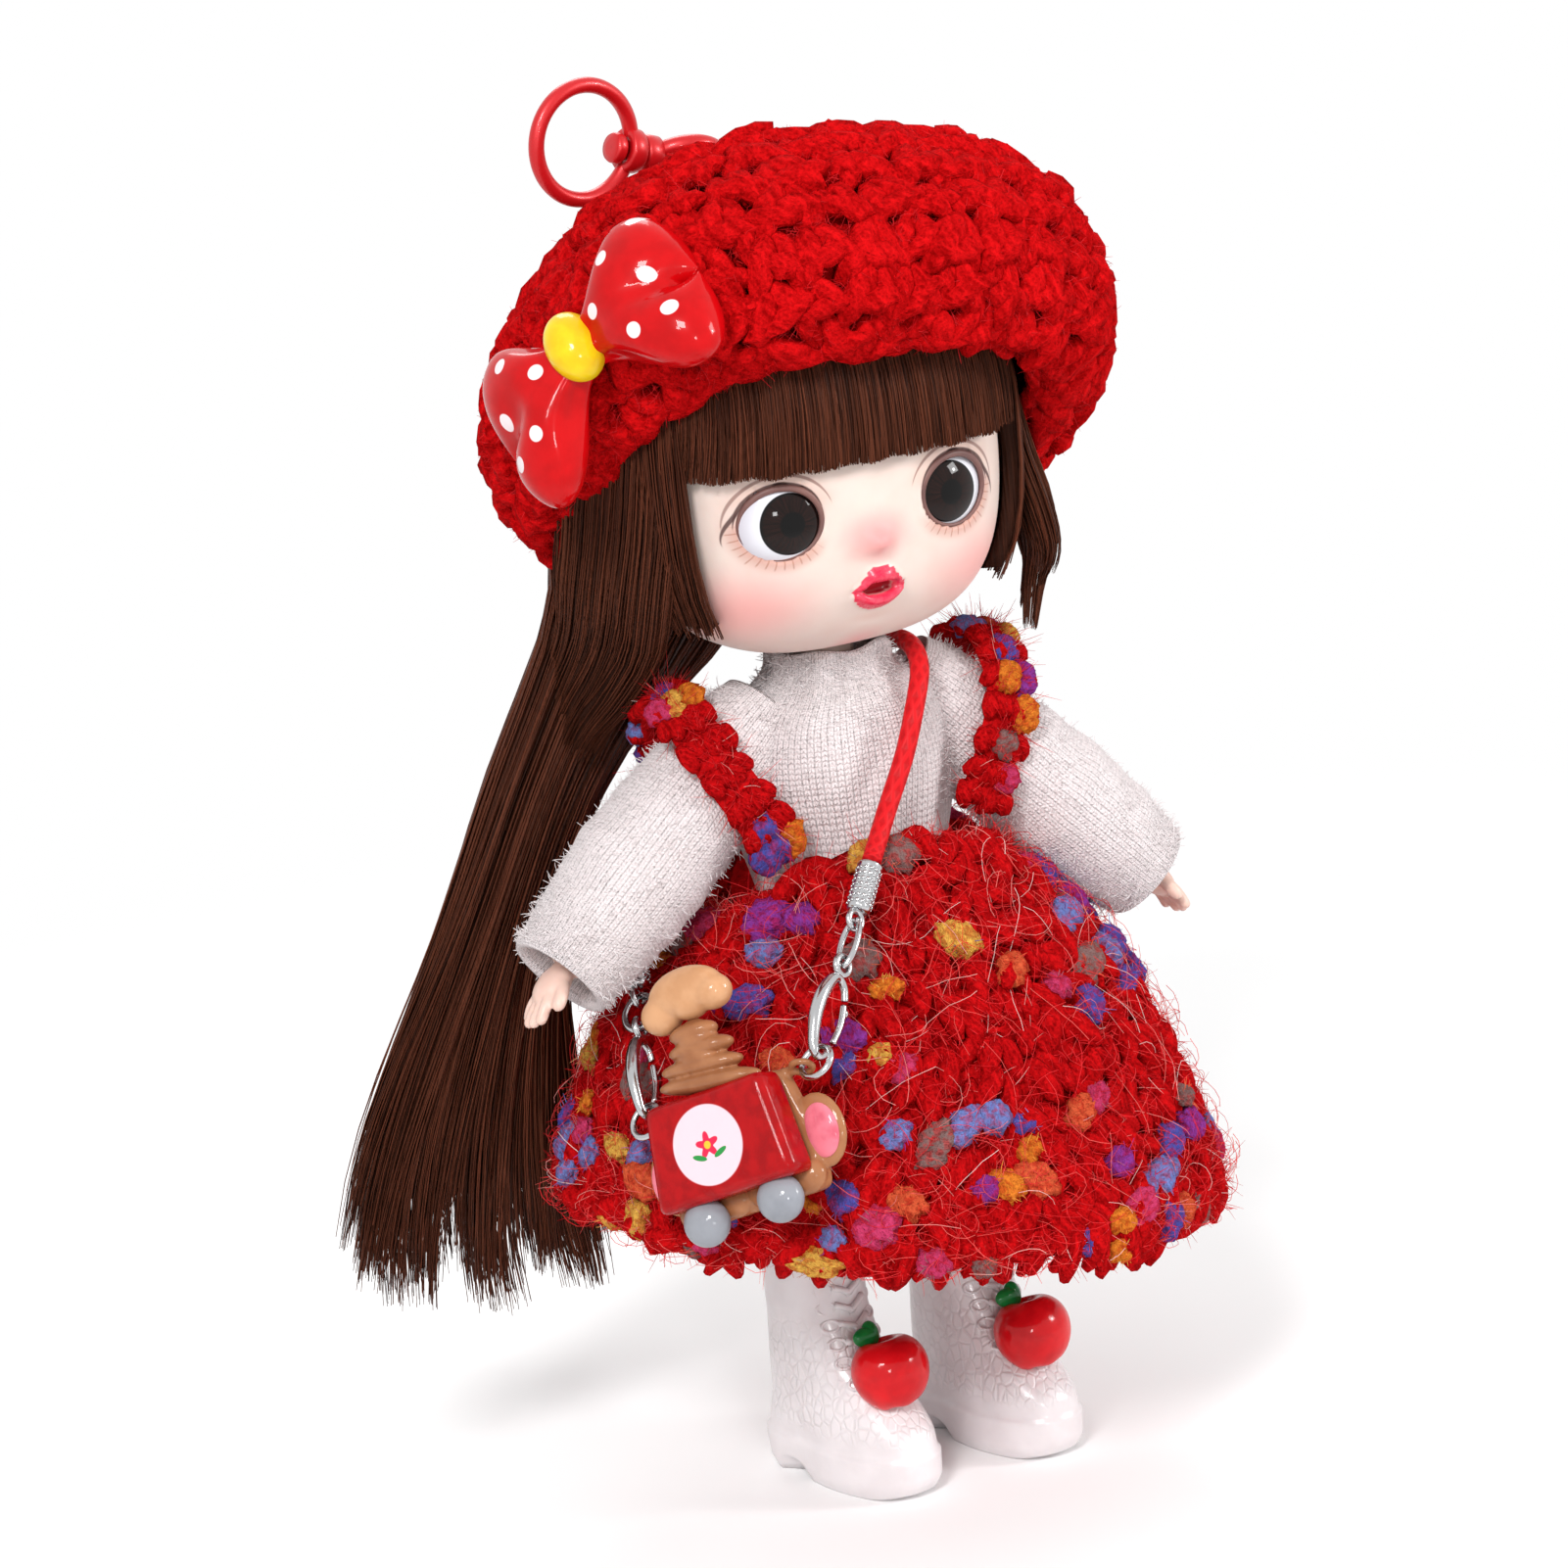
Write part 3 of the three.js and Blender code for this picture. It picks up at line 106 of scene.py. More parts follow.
def bell(value: float) -> float:
    """A soft bump: 1 at 0 and nearly nothing from 2 outwards on both sides."""
    return math.exp(-(value**2))


def circle(count: int) -> list[float]:
    """Evenly spaced angles round a circle."""
    return [math.tau * i / count for i in range(count)]


def shares(count: int) -> list[float]:
    """Evenly spaced shares from 0 to 1, both ends counted."""
    return [i / (count - 1) for i in range(count)]


def latitude(row: int, rows: int, pole: float) -> float:
    """The angle above the equator of a ball's ring, where the end rings keep a share away from the poles."""
    return math.pi * (clamp(row / rows, pole, 1 - pole) - 0.5)


def linked(name: str, data: bpy.types.ID) -> bpy.types.Object:
    """Makes an object of its data and puts it in the scene."""
    obj = bpy.data.objects.new(name, data)
    bpy.context.scene.collection.objects.link(obj)
    return obj


def smoothed(mesh: bpy.types.Mesh) -> None:
    """Shades a mesh smooth."""
    mesh.polygons.foreach_set("use_smooth", [True] * len(mesh.polygons))


def along_rows(rows: Sequence[Sequence[float]], t: float) -> list[float]:
    """The values at t, from 0 at the first row to 1 at the last, on a smooth curve through the rows.

    Args:
        rows: Equally long rows of numbers.
        t: Where on the rows, from 0 to 1.

    Returns:
        One number for each column.
    """
    place = clamp(t) * (len(rows) - 1)
    i = min(int(place), len(rows) - 2)
    f = place - i
    a, b = rows[max(i - 1, 0)], rows[i]
    c, d = rows[i + 1], rows[min(i + 2, len(rows) - 1)]
    weights = (-f + 2 * f * f - f**3, 2 - 5 * f * f + 3 * f**3, f + 4 * f * f - 3 * f**3, f**3 - f * f)
    return [0.5 * sum(w * v for w, v in zip(weights, column)) for column in zip(a, b, c, d)]


def smooth_path(points: Sequence[Sequence[float]], count: int) -> list[Vector]:
    """Evenly counted points on a smooth curve through the given ones."""
    return [Vector(along_rows(points, t)) for t in shares(count)]


def frame_along(at: Vector, way: Vector, second: Vector) -> Matrix:
    """A place whose Z runs along a way and whose X is square to the way and a second direction."""
    z = way.normalized()
    x = second.cross(z).normalized()
    turn = Matrix((x, z.cross(x), z)).transposed().to_4x4()
    return Matrix.Translation(at) @ turn


def ellipse(centre: Vector, rx: float, ry: float, sides: int, square: float = 1.0) -> list[Vector]:
    """A level ring of points, round where square is 1 and nearer a rectangle below it."""
    return [centre + Vector((rx * bend(math.cos(a), square), ry * bend(math.sin(a), square), 0))
            for a in circle(sides)]


@dataclass
class Shape:
    """A surface in millimetres in the doll's frame, before it becomes an object."""

    points: list[Vector] = field(default_factory=list)
    faces: list[tuple[int, ...]] = field(default_factory=list)
    uvs: list[tuple[tuple[float, float], ...]] = field(default_factory=list)

    def moved(self, matrix: Matrix) -> "Shape":
        """The same shape in another place."""
        return Shape([matrix @ p for p in self.points], list(self.faces), list(self.uvs))

    def joined(self, *others: "Shape") -> "Shape":
        """This shape and others as one."""
        whole = Shape(list(self.points), list(self.faces), list(self.uvs))
        for other in others:
            start = len(whole.points)
            whole.points += other.points
            whole.faces += [tuple(i + start for i in face) for face in other.faces]
            whole.uvs += other.uvs
        return whole

    def outward(self) -> "Shape":
        """The same shape with its faces pointing outwards."""
        volume = 0.0
        for face in self.faces:
            for k in range(1, len(face) - 1):
                a, b, c = (self.points[face[n]] for n in (0, k, k + 1))
                volume += a.dot(b.cross(c))
        if volume < 0:
            self.faces = [tuple(reversed(face)) for face in self.faces]
            self.uvs = [tuple(reversed(uv)) for uv in self.uvs]
        return self

    def build(self, name: str, material: Optional[bpy.types.Material] = None) -> bpy.types.Object:
        """Makes the shape an object in metres, in the row frame.

        Args:
            name: The object's name.
            material: Its finish, where it has one yet.

        Returns:
            The object, smooth shaded and at the origin.
        """
        mesh = bpy.data.meshes.new(name)
        mesh.from_pydata([(p + SHIFT) * MM for p in self.points], [], self.faces)
        if self.uvs and len(self.uvs) == len(self.faces):
            layer = mesh.uv_layers.new(name="weave")
            layer.data.foreach_set("uv", [v for uv in self.uvs for pair in uv for v in pair])
        mesh.validate()
        smoothed(mesh)
        if material:
            mesh.materials.append(material)
        return linked(name, mesh)


def loft(rings: Sequence[Sequence[Vector]], hoop: bool = False) -> Shape:
    """A closed surface over rings of points.

    Args:
        rings: Rings with the same count of points.
        hoop: Whether the last ring joins the first; otherwise the ends are closed.

    Returns:
        The shape with its UVs running round the rings and along them.
    """
    n, rows = len(rings[0]), len(rings)
    shape = Shape([p for ring in rings for p in ring])
    steps = rows if hoop else rows - 1
    for r in range(steps):
        for i in range(n):
            j = (i + 1) % n
            low, high = r * n, ((r + 1) % rows) * n
            shape.faces.append((low + i, low + j, high + j, high + i))
            u, v = i / n, r / steps
            shape.uvs.append(((u, v), (u + 1 / n, v), (u + 1 / n, v + 1 / steps), (u, v + 1 / steps)))
    if not hoop:
        for end, v in ((0, 0.0), (rows - 1, 1.0)):
            shape.points.append(sum(rings[end], Vector()) / n)
            for i in range(n):
                edge = (end * n + i, end * n + (i + 1) % n)
                face = (edge[1], edge[0]) if end == 0 else edge
                shape.faces.append((*face, len(shape.points) - 1))
                shape.uvs.append(((i / n, v),) * 3)
    return shape.outward()


def tube(path: Sequence[Vector], radius: Union[float, Callable[[float], float]], sides: int = 12,
         closed: bool = False) -> Shape:
    """A round tube along a path, without twist.

    Args:
        path: The points of its middle line.
        radius: Its radius, or a function of the way along from 0 to 1.
        sides: Points round it.
        closed: Whether the path runs back into its start.

    Returns:
        The closed shape.
    """
    count = len(path)
    ways = []
    for i in range(count):
        after = path[(i + 1) % count] if closed else path[min(i + 1, count - 1)]
        before = path[i - 1] if closed or i else path[0]
        ways.append((after - before).normalized())
    side = ways[0].orthogonal().normalized()
    rings = []
    for i, (p, way) in enumerate(zip(path, ways)):
        side = (side - way * side.dot(way)).normalized()
        other = way.cross(side)
        r = radius(i / (count - 1)) if callable(radius) else radius
        rings.append([p + side * (r * math.cos(a)) + other * (r * math.sin(a)) for a in circle(sides)])
    return loft(rings, hoop=closed)


def torus(radius: float, wire: float, matrix: Matrix, stretch: float = 1.0, steps: int = 40,
          sides: int = 12) -> Shape:
    """A wire ring round the matrix's Z, stretched along its X.

    Args:
        radius: The radius of the wire's middle line.
        wire: The wire's own radius.
        matrix: Where the ring goes.
        stretch: How long the ring is against how wide.
        steps: Points along the wire.
        sides: Points round the wire.

    Returns:
        The closed shape.
    """
    path = [Vector((radius * stretch * math.cos(a), radius * math.sin(a), 0)) for a in circle(steps)]
    return tube(path, wire, sides, closed=True).moved(matrix)


def egg(rx: float, ry: float, rz: float, at: Sequence[float] = (0, 0, 0), wide: int = 32,
        high: int = 20) -> Shape:
    """An ellipsoid with its poles at the ends of Z.

    Args:
        rx: Half its size along X.
        ry: Half its size along Y.
        rz: Half its size along Z.
        at: Its middle.
        wide: Points round it.
        high: Rows of faces from pole to pole.

    Returns:
        The closed shape.
    """
    rings = []
    for row in range(high + 1):
        up = latitude(row, high, 0.004)
        level = math.cos(up)
        rings.append(ellipse(Vector(at) + Vector((0, 0, rz * math.sin(up))), rx * level, ry * level, wide))
    return loft(rings)


def lathe(profile: Sequence[tuple[float, float]], matrix: Matrix, sides: int = 48,
          hoop: bool = False) -> Shape:
    """A turned shape of radius and height pairs round the matrix's Z."""
    rings = [ellipse(Vector((0, 0, h)), max(r, 0.02), max(r, 0.02), sides) for r, h in profile]
    return loft(rings, hoop=hoop).moved(matrix)


def turned(at: Sequence[float], x: float = 0, y: float = 0) -> Matrix:
    """A place turned in degrees about Y, then X."""
    turn = Matrix.Rotation(math.radians(x), 4, "X") @ Matrix.Rotation(math.radians(y), 4, "Y")
    return Matrix.Translation(Vector(at)) @ turn


def evaluated(obj: bpy.types.Object, material: Optional[bpy.types.Material] = None) -> bpy.types.Object:
    """Turns an object and its modifiers into one plain mesh object of the same name.

    Args:
        obj: The object with its modifiers.
        material: The finish of the plain mesh, where it gets one here.

    Returns:
        The plain object. The first one is gone.
    """
    name = obj.name
    graph = bpy.context.evaluated_depsgraph_get()
    mesh = bpy.data.meshes.new_from_object(obj.evaluated_get(graph), depsgraph=graph)
    bpy.data.objects.remove(obj)
    plain = linked(name, mesh)
    mesh.name = name
    if material:
        mesh.materials.clear()
        mesh.materials.append(material)
    smoothed(mesh)
    return plain


def melted(name: str, shapes: Sequence[Shape], voxel: float, passes: int,
           material: bpy.types.Material) -> bpy.types.Object:
    """Joins shapes into one soft moulded skin.

    Args:
        name: The object's name.
        shapes: Closed shapes that run into each other.
        voxel: The detail of the new skin, in millimetres.
        passes: How often it is smoothed.
        material: Its finish.

    Returns:
        The plain object.
    """
    obj = shapes[0].joined(*shapes[1:]).build(name)
    skin = obj.modifiers.new("skin", "REMESH")
    skin.mode = "VOXEL"
    skin.voxel_size = voxel * MM
    soft = obj.modifiers.new("soft", "SMOOTH")
    soft.factor = 0.5
    soft.iterations = passes
    return evaluated(obj, material)


def settled(obj: bpy.types.Object, body: Union[Body, str], replaces: Sequence[str] = ()) -> bpy.types.Object:
    """Puts a finished piece on its body, hides the CAD nodes that it stands for, and reports it.

    Args:
        obj: The finished piece.
        body: What it moves with.
        replaces: The CAD nodes that it stands for.

    Returns:
        The piece.
    """
    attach(obj, body.value if isinstance(body, Body) else body)
    if replaces:
        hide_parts(*replaces)
    LOG.info("%s: %d faces", obj.name, len(obj.data.polygons))
    return obj


class Wire:
    """A socket of a material that adds, multiplies and mixes as a number does."""

    def __init__(self, look: "Look", socket: bpy.types.NodeSocket) -> None:
        """Keeps the socket and the material that it is in."""
        self.look = look
        self.socket = socket

    def __add__(self, other: Value) -> "Wire":
        """The sum."""
        return self.look.math("ADD", self, other)

    def __sub__(self, other: Value) -> "Wire":
        """The difference."""
        return self.look.math("SUBTRACT", self, other)

    def __rsub__(self, other: Value) -> "Wire":
        """The difference from a number."""
        return self.look.math("SUBTRACT", other, self)

    def __mul__(self, other: Value) -> "Wire":
        """The product."""
        return self.look.math("MULTIPLY", self, other)

    def __truediv__(self, other: Value) -> "Wire":
        """The quotient."""
        return self.look.math("DIVIDE", self, other)

    __radd__ = __add__
    __rmul__ = __mul__

    def __abs__(self) -> "Wire":
        """The value without its sign."""
        return self.look.math("ABSOLUTE", self)

    def sine(self) -> "Wire":
        """Its sine."""
        return self.look.math("SINE", self)

    def step(self, low: float, high: float) -> "Wire":
        """A smooth step from 0 at low to 1 at high, also where high is below low."""
        start, end = min(low, high), max(low, high)
        values = {0: self, 1: start, 2: end, 3: 0.0, 4: 1.0}
        wire = self.look.node("ShaderNodeMapRange", {"interpolation_type": "SMOOTHSTEP"}, values)
        return wire if high >= low else 1 - wire


class Look:
    """A procedural material under way."""

    def __init__(self, name: str) -> None:
        """Starts an empty material of that name."""
        self.material = bpy.data.materials.new(name)
        self.material.use_nodes = True
        self.tree = self.material.node_tree
        self.tree.nodes.clear()

    def node(self, kind: str, settings: Optional[dict] = None, values: Optional[dict] = None,
             out: Union[int, str] = 0) -> Wire:
        """Adds one node.

        Args:
            kind: The node's type.
            settings: Its settings; "stops" are a ramp's places and colours.
            values: Numbers, colours or wires by socket index or name.
            out: The output that is wanted.

        Returns:
            That output.
        """
        node = self.tree.nodes.new(kind)
        for key, value in (settings or {}).items():
            if key == "stops":
                ramp = node.color_ramp.elements
                while len(ramp) < len(value):
                    ramp.new(0.5)
                for element, (place, colour) in zip(ramp, value):
                    element.position = place
                    element.color = (*colour, 1)
            elif key == "fade":
                node.color_ramp.interpolation = value
            else:
                setattr(node, key, value)
        for key, value in (values or {}).items():
            if isinstance(value, Wire):
                self.tree.links.new(value.socket, node.inputs[key])
            else:
                node.inputs[key].default_value = value
        return Wire(self, node.outputs[out])

    def math(self, operation: str, *values: Value) -> Wire:
        """A Math node on numbers."""
        return self.node("ShaderNodeMath", {"operation": operation}, dict(enumerate(values)))

    def vector(self, operation: str, *values: Value, out: Union[int, str] = 0) -> Wire:
        """A Vector Math node."""
        return self.node("ShaderNodeVectorMath", {"operation": operation}, dict(enumerate(values)), out)

    def mix(self, factor: Value, first: Value, second: Value) -> Wire:
        """A colour between two, given without alpha or as wires."""
        pair = [v if isinstance(v, Wire) else (*v, 1.0) for v in (first, second)]
        return self.node("ShaderNodeMix", {"data_type": "RGBA"}, {0: factor, 6: pair[0], 7: pair[1]}, 2)

    def doll(self) -> Wire:
        """Object coordinates as millimetres in the doll's frame."""
        place = self.node("ShaderNodeTexCoord", out="Object")
        return self.vector("SUBTRACT", self.scaled(place, 1 / MM), tuple(SHIFT))

    def scaled(self, vector: Wire, factor: float) -> Wire:
        """A vector times a number."""
        return self.node("ShaderNodeVectorMath", {"operation": "SCALE"}, {0: vector, "Scale": factor})

    def stretched(self, vector: Wire, factors: Sequence[float]) -> Wire:
        """A vector times another, part by part."""
        return self.vector("MULTIPLY", vector, tuple(factors))

    def attribute(self, name: str, out: str = "Fac") -> Wire:
        """A named attribute of the mesh."""
        return self.node("ShaderNodeAttribute", {"attribute_name": name}, out=out)

    def weave(self) -> Wire:
        """The piece's own UVs."""
        return self.node("ShaderNodeTexCoord", out="UV")

    def parts(self, vector: Wire) -> tuple[Wire, Wire, Wire]:
        """The three numbers of a vector."""
        split = self.tree.nodes.new("ShaderNodeSeparateXYZ")
        self.tree.links.new(vector.socket, split.inputs[0])
        return tuple(Wire(self, s) for s in split.outputs)

    def vector_of(self, x: Value, y: Value, z: Value) -> Wire:
        """A vector of three numbers."""
        return self.node("ShaderNodeCombineXYZ", None, {0: x, 1: y, 2: z})

    def grain(self, at: Wire, scale: float, detail: float = 2.0) -> Wire:
        """Noise of a scale at a place, from 0 to 1."""
        return self.node("ShaderNodeTexNoise", None, {"Vector": at, "Scale": scale, "Detail": detail})

    def bump(self, height: Wire, depth: float, strength: float = 1.0, under: Optional[Wire] = None) -> Wire:
        """A bumped normal whose full height is a depth in millimetres."""
        values = {"Height": height, "Distance": depth * MM, "Strength": strength}
        if under:
            values["Normal"] = under
        return self.node("ShaderNodeBump", None, values)

    def done(self, **values: Value) -> bpy.types.Material:
        """Closes the material with a Principled shader.

        Args:
            **values: The shader's sockets, with _ for spaces and colours without alpha.

        Returns:
            The material.
        """
        named = {}
        for key, value in values.items():
            colour = not isinstance(value, (Wire, float, int)) and len(value) == 3 and "Radius" not in key
            named[key.replace("_", " ")] = (*value, 1.0) if colour else value
        shader = self.node("ShaderNodeBsdfPrincipled", None, named)
        return self.close(shader)

    def close(self, shader: Wire) -> bpy.types.Material:
        """Leads a shader to the material's output."""
        end = self.tree.nodes.new("ShaderNodeOutputMaterial")
        self.tree.links.new(shader.socket, end.inputs["Surface"])
        return self.material


@dataclass(frozen=True)
class Vinyl:
    """Soft moulded vinyl, faintly mottled."""

    name: str
    colour: Colour
    shade: Colour
    roughness: float = 0.42
    coat: float = 0.0

    def build(self) -> bpy.types.Material:
        """Makes the material."""
        look = Look(self.name)
        place = look.doll()
        mottle = look.grain(place, 0.25, 4)
        colour = look.mix(mottle.step(0.3, 0.75), self.colour, self.shade)
        pores = look.grain(place, 5.0, 3)
        rough = self.roughness + (pores - 0.5) * 0.14
        normal = look.bump(pores, 0.02, 0.5)
        return look.done(Base_Color=colour, Roughness=rough, Normal=normal, Subsurface_Weight=0.12,
                         Subsurface_Radius=SKIN_DEPTH, Coat_Weight=self.coat, Coat_Roughness=0.2)


@dataclass(frozen=True)
class Resin:
    """Glossy painted resin with a thick clear coat."""

    name: str
    colour: Colour
    shade: Colour
    roughness: float = 0.28

    def build(self) -> bpy.types.Material:
        """Makes the material."""
        look = Look(self.name)
        place = look.doll()
        pool = look.grain(place, 0.35, 3).step(0.35, 0.7)
        colour = look.mix(pool, self.colour, self.shade)
        dimples = look.grain(place, 1.1, 2)
        normal = look.bump(dimples, 0.09, 0.5)
        rough = self.roughness + look.grain(place, 3.0, 2) * 0.1
        return look.done(Base_Color=colour, Roughness=rough, Normal=normal, Specular_IOR_Level=0.06,
                         Coat_Weight=0.4, Coat_Roughness=0.02)


@dataclass(frozen=True)
class Metal:
    """Plated or lacquered metal with fine scratches and worn spots."""

    name: str
    colour: Colour
    wear: Colour
    metallic: float
    roughness: float
    coat: float = 0.0

    def build(self) -> bpy.types.Material:
        """Makes the material."""
        look = Look(self.name)
        place = look.doll()
        scratch = look.grain(look.stretched(place, (1.0, 1.0, 7.0)), 2.5, 4)
        worn = look.grain(place, 0.8, 5).step(0.62, 0.78)
        colour = look.mix(worn * 0.6, self.colour, self.wear)
        rough = self.roughness + scratch * 0.16
        normal = look.bump(look.grain(place, 1.6, 3) * 0.7 + scratch * 0.3, 0.05, 0.4)
        return look.done(Base_Color=colour, Roughness=rough, Normal=normal, Metallic=self.metallic,
                         Coat_Weight=self.coat, Coat_Roughness=0.08)


@dataclass(frozen=True)
class Knit:
    """Fine stockinette with columns of small vees and a brushed surface, its grooves darkened as painted
    shade.
    """

    name: str
    columns: int
    rows: int
    colour: Colour = (0.86, 0.77, 0.775)
    # The darker colour of the knit's grooves: painted shade
    hollow: Colour = (0.58, 0.52, 0.52)

    def build(self) -> bpy.types.Material:
        """Makes the material."""
        look = Look(self.name)
        u, v, _ = look.parts(look.weave())
        column = u * float(self.columns)
        within = look.math("FRACT", column) - 0.5
        slant = abs(within) * 0.9
        row = v * float(self.rows) + slant
        vee = (row * math.tau).sine() * 0.5 + 0.5
        groove = abs(within).step(0.5, 0.36)
        middle = abs(within).step(0.0, 0.1)
        wander = look.grain(look.doll(), 0.35, 3)
        fuzz = look.grain(look.doll(), 4.5, 4)
        height = (vee * 0.55 + 0.45) * groove * (middle * 0.5 + 0.5)
        # The low parts of the knit take the hollow colour: painted shade in its grooves
        colour = look.mix((height * 0.8 + fuzz * 0.4).step(0.05, 0.6), self.hollow, self.colour)
        tinted = look.mix(wander.step(0.5, 0.85) * 0.25, colour, (0.8, 0.68, 0.67))
        normal = look.bump(fuzz, 0.3, 0.7, look.bump(height, 0.36, 0.8))
        return look.done(Base_Color=tinted, Roughness=fuzz * 0.1 + 0.88, Normal=normal, Sheen_Weight=0.35,
                         Sheen_Roughness=0.5)


@dataclass(frozen=True)
class Yarn:
    """Plied wool that reads each strand's own frame, with flecks of other colours where it has them; the dark
    streaks between its plies are painted shade.
    """

    name: str
    colour: Colour
    shade: Colour
    flecks: tuple[tuple[float, Colour], ...] = ()

    def build(self) -> bpy.types.Material:
        """Makes the material."""
        look = Look(self.name)
        own = look.attribute("own", "Vector")
        tone = look.attribute("tone")
        place = look.doll()
        x, y, z = look.parts(own)
        twisted = look.vector_of(x * 3.0 + y * 1.6, y * 0.45, z * 3.0 - y * 0.6)
        shifted = look.vector("ADD", twisted, look.scaled(place, 0.12))
        ply = look.grain(shifted, 2.2, 4)
        fibre = look.grain(place, 2.6, 5)
        # The dark streaks between the twisted plies take the shade colour: painted shade
        base = look.mix((ply * 0.6 + fibre * 0.4).step(0.3, 0.7), self.shade, self.colour)
        if self.flecks:
            stops = [(0.0, self.colour)] + list(self.flecks)
            ramp = look.node("ShaderNodeValToRGB", {"stops": stops, "fade": "CONSTANT"}, {"Fac": tone})
            patchy = look.grain(place, 1.1, 3).step(0.38, 0.56)
            # The flecks darken between the plies as well: painted shade
            dyed = look.mix((ply * 0.5 + fibre * 0.5).step(0.25, 0.7) * 0.5 + 0.5, self.shade, ramp)
            chosen = tone.step(self.flecks[0][0] - 0.004, self.flecks[0][0] + 0.004)
            base = look.mix(chosen * (patchy * 0.55 + 0.45), base, dyed)
        normal = look.bump(fibre, 0.5, 0.7, look.bump(ply, 0.6, 0.8))
        return look.done(Base_Color=base, Roughness=0.93 + (fibre - 0.5) * 0.1, Normal=normal,
                         Specular_IOR_Level=0.02)


@dataclass(frozen=True)
class Fuzz:
    """Loose fibres whose colour follows their tone."""

    name: str
    tones: tuple[tuple[float, Colour], ...]
    roughness: float = 0.7
    stain: float = 0.25

    def build(self) -> bpy.types.Material:
        """Makes the material."""
        look = Look(self.name)
        ramp = look.node("ShaderNodeValToRGB", {"stops": self.tones, "fade": "LINEAR"},
                         {"Fac": look.attribute("tone")})
        streak = look.grain(look.doll(), 1.5, 3)
        colour = look.mix(streak * self.stain, ramp, (0.25, 0.01, 0.015))
        rough = self.roughness + (streak - 0.5) * 0.1
        return look.done(Base_Color=colour, Roughness=rough, Specular_IOR_Level=0.04)


@dataclass(frozen=True)
class Hair:
    """Straight doll hair whose tone changes from strand to strand."""

    name: str
    dark: Colour = (0.024, 0.0075, 0.004)
    light: Colour = (0.14, 0.04, 0.02)

    def build(self) -> bpy.types.Material:
        """Makes the material."""
        look = Look(self.name)
        place = look.doll()
        lines = look.grain(look.stretched(place, (2.2, 2.2, 0.09)), 1.6, 5)
        tone = look.attribute("tone")
        colour = look.mix((tone * 0.6 + lines * 0.5).step(0.15, 0.95), self.dark, self.light)
        normal = look.bump(lines, 0.35, 0.8)
        rough = 0.36 + lines * 0.14
        return look.done(Base_Color=colour, Roughness=rough, Normal=normal, Specular_IOR_Level=0.07)


@dataclass(frozen=True)
class Braid:
    """Waxed cord of fine crossing strands, round the cord by U and along it by V, darkened between the
    strands as painted shade.
    """

    name: str
    turns: float
    strands: float = 5.0
    colour: Colour = (0.62, 0.012, 0.016)
    # The darker colour between the strands: painted shade
    hollow: Colour = (0.48, 0.008, 0.011)

    def build(self) -> bpy.types.Material:
        """Makes the material."""
        look = Look(self.name)
        u, v, _ = look.parts(look.weave())
        one = ((u * self.strands + v * self.turns) * math.tau).sine()
        two = ((u * self.strands - v * self.turns) * math.tau).sine()
        crossing = look.math("MAXIMUM", one, two) * 0.5 + 0.5
        wax = look.grain(look.doll(), 2.0, 3)
        # The low parts between the crossing strands take the hollow colour: painted shade
        colour = look.mix(crossing.step(0.3, 0.85), self.hollow, self.colour)
        normal = look.bump(crossing, 0.14, 0.8)
        return look.done(Base_Color=colour, Roughness=0.35 + wax * 0.18, Normal=normal,
                         Specular_IOR_Level=0.08)


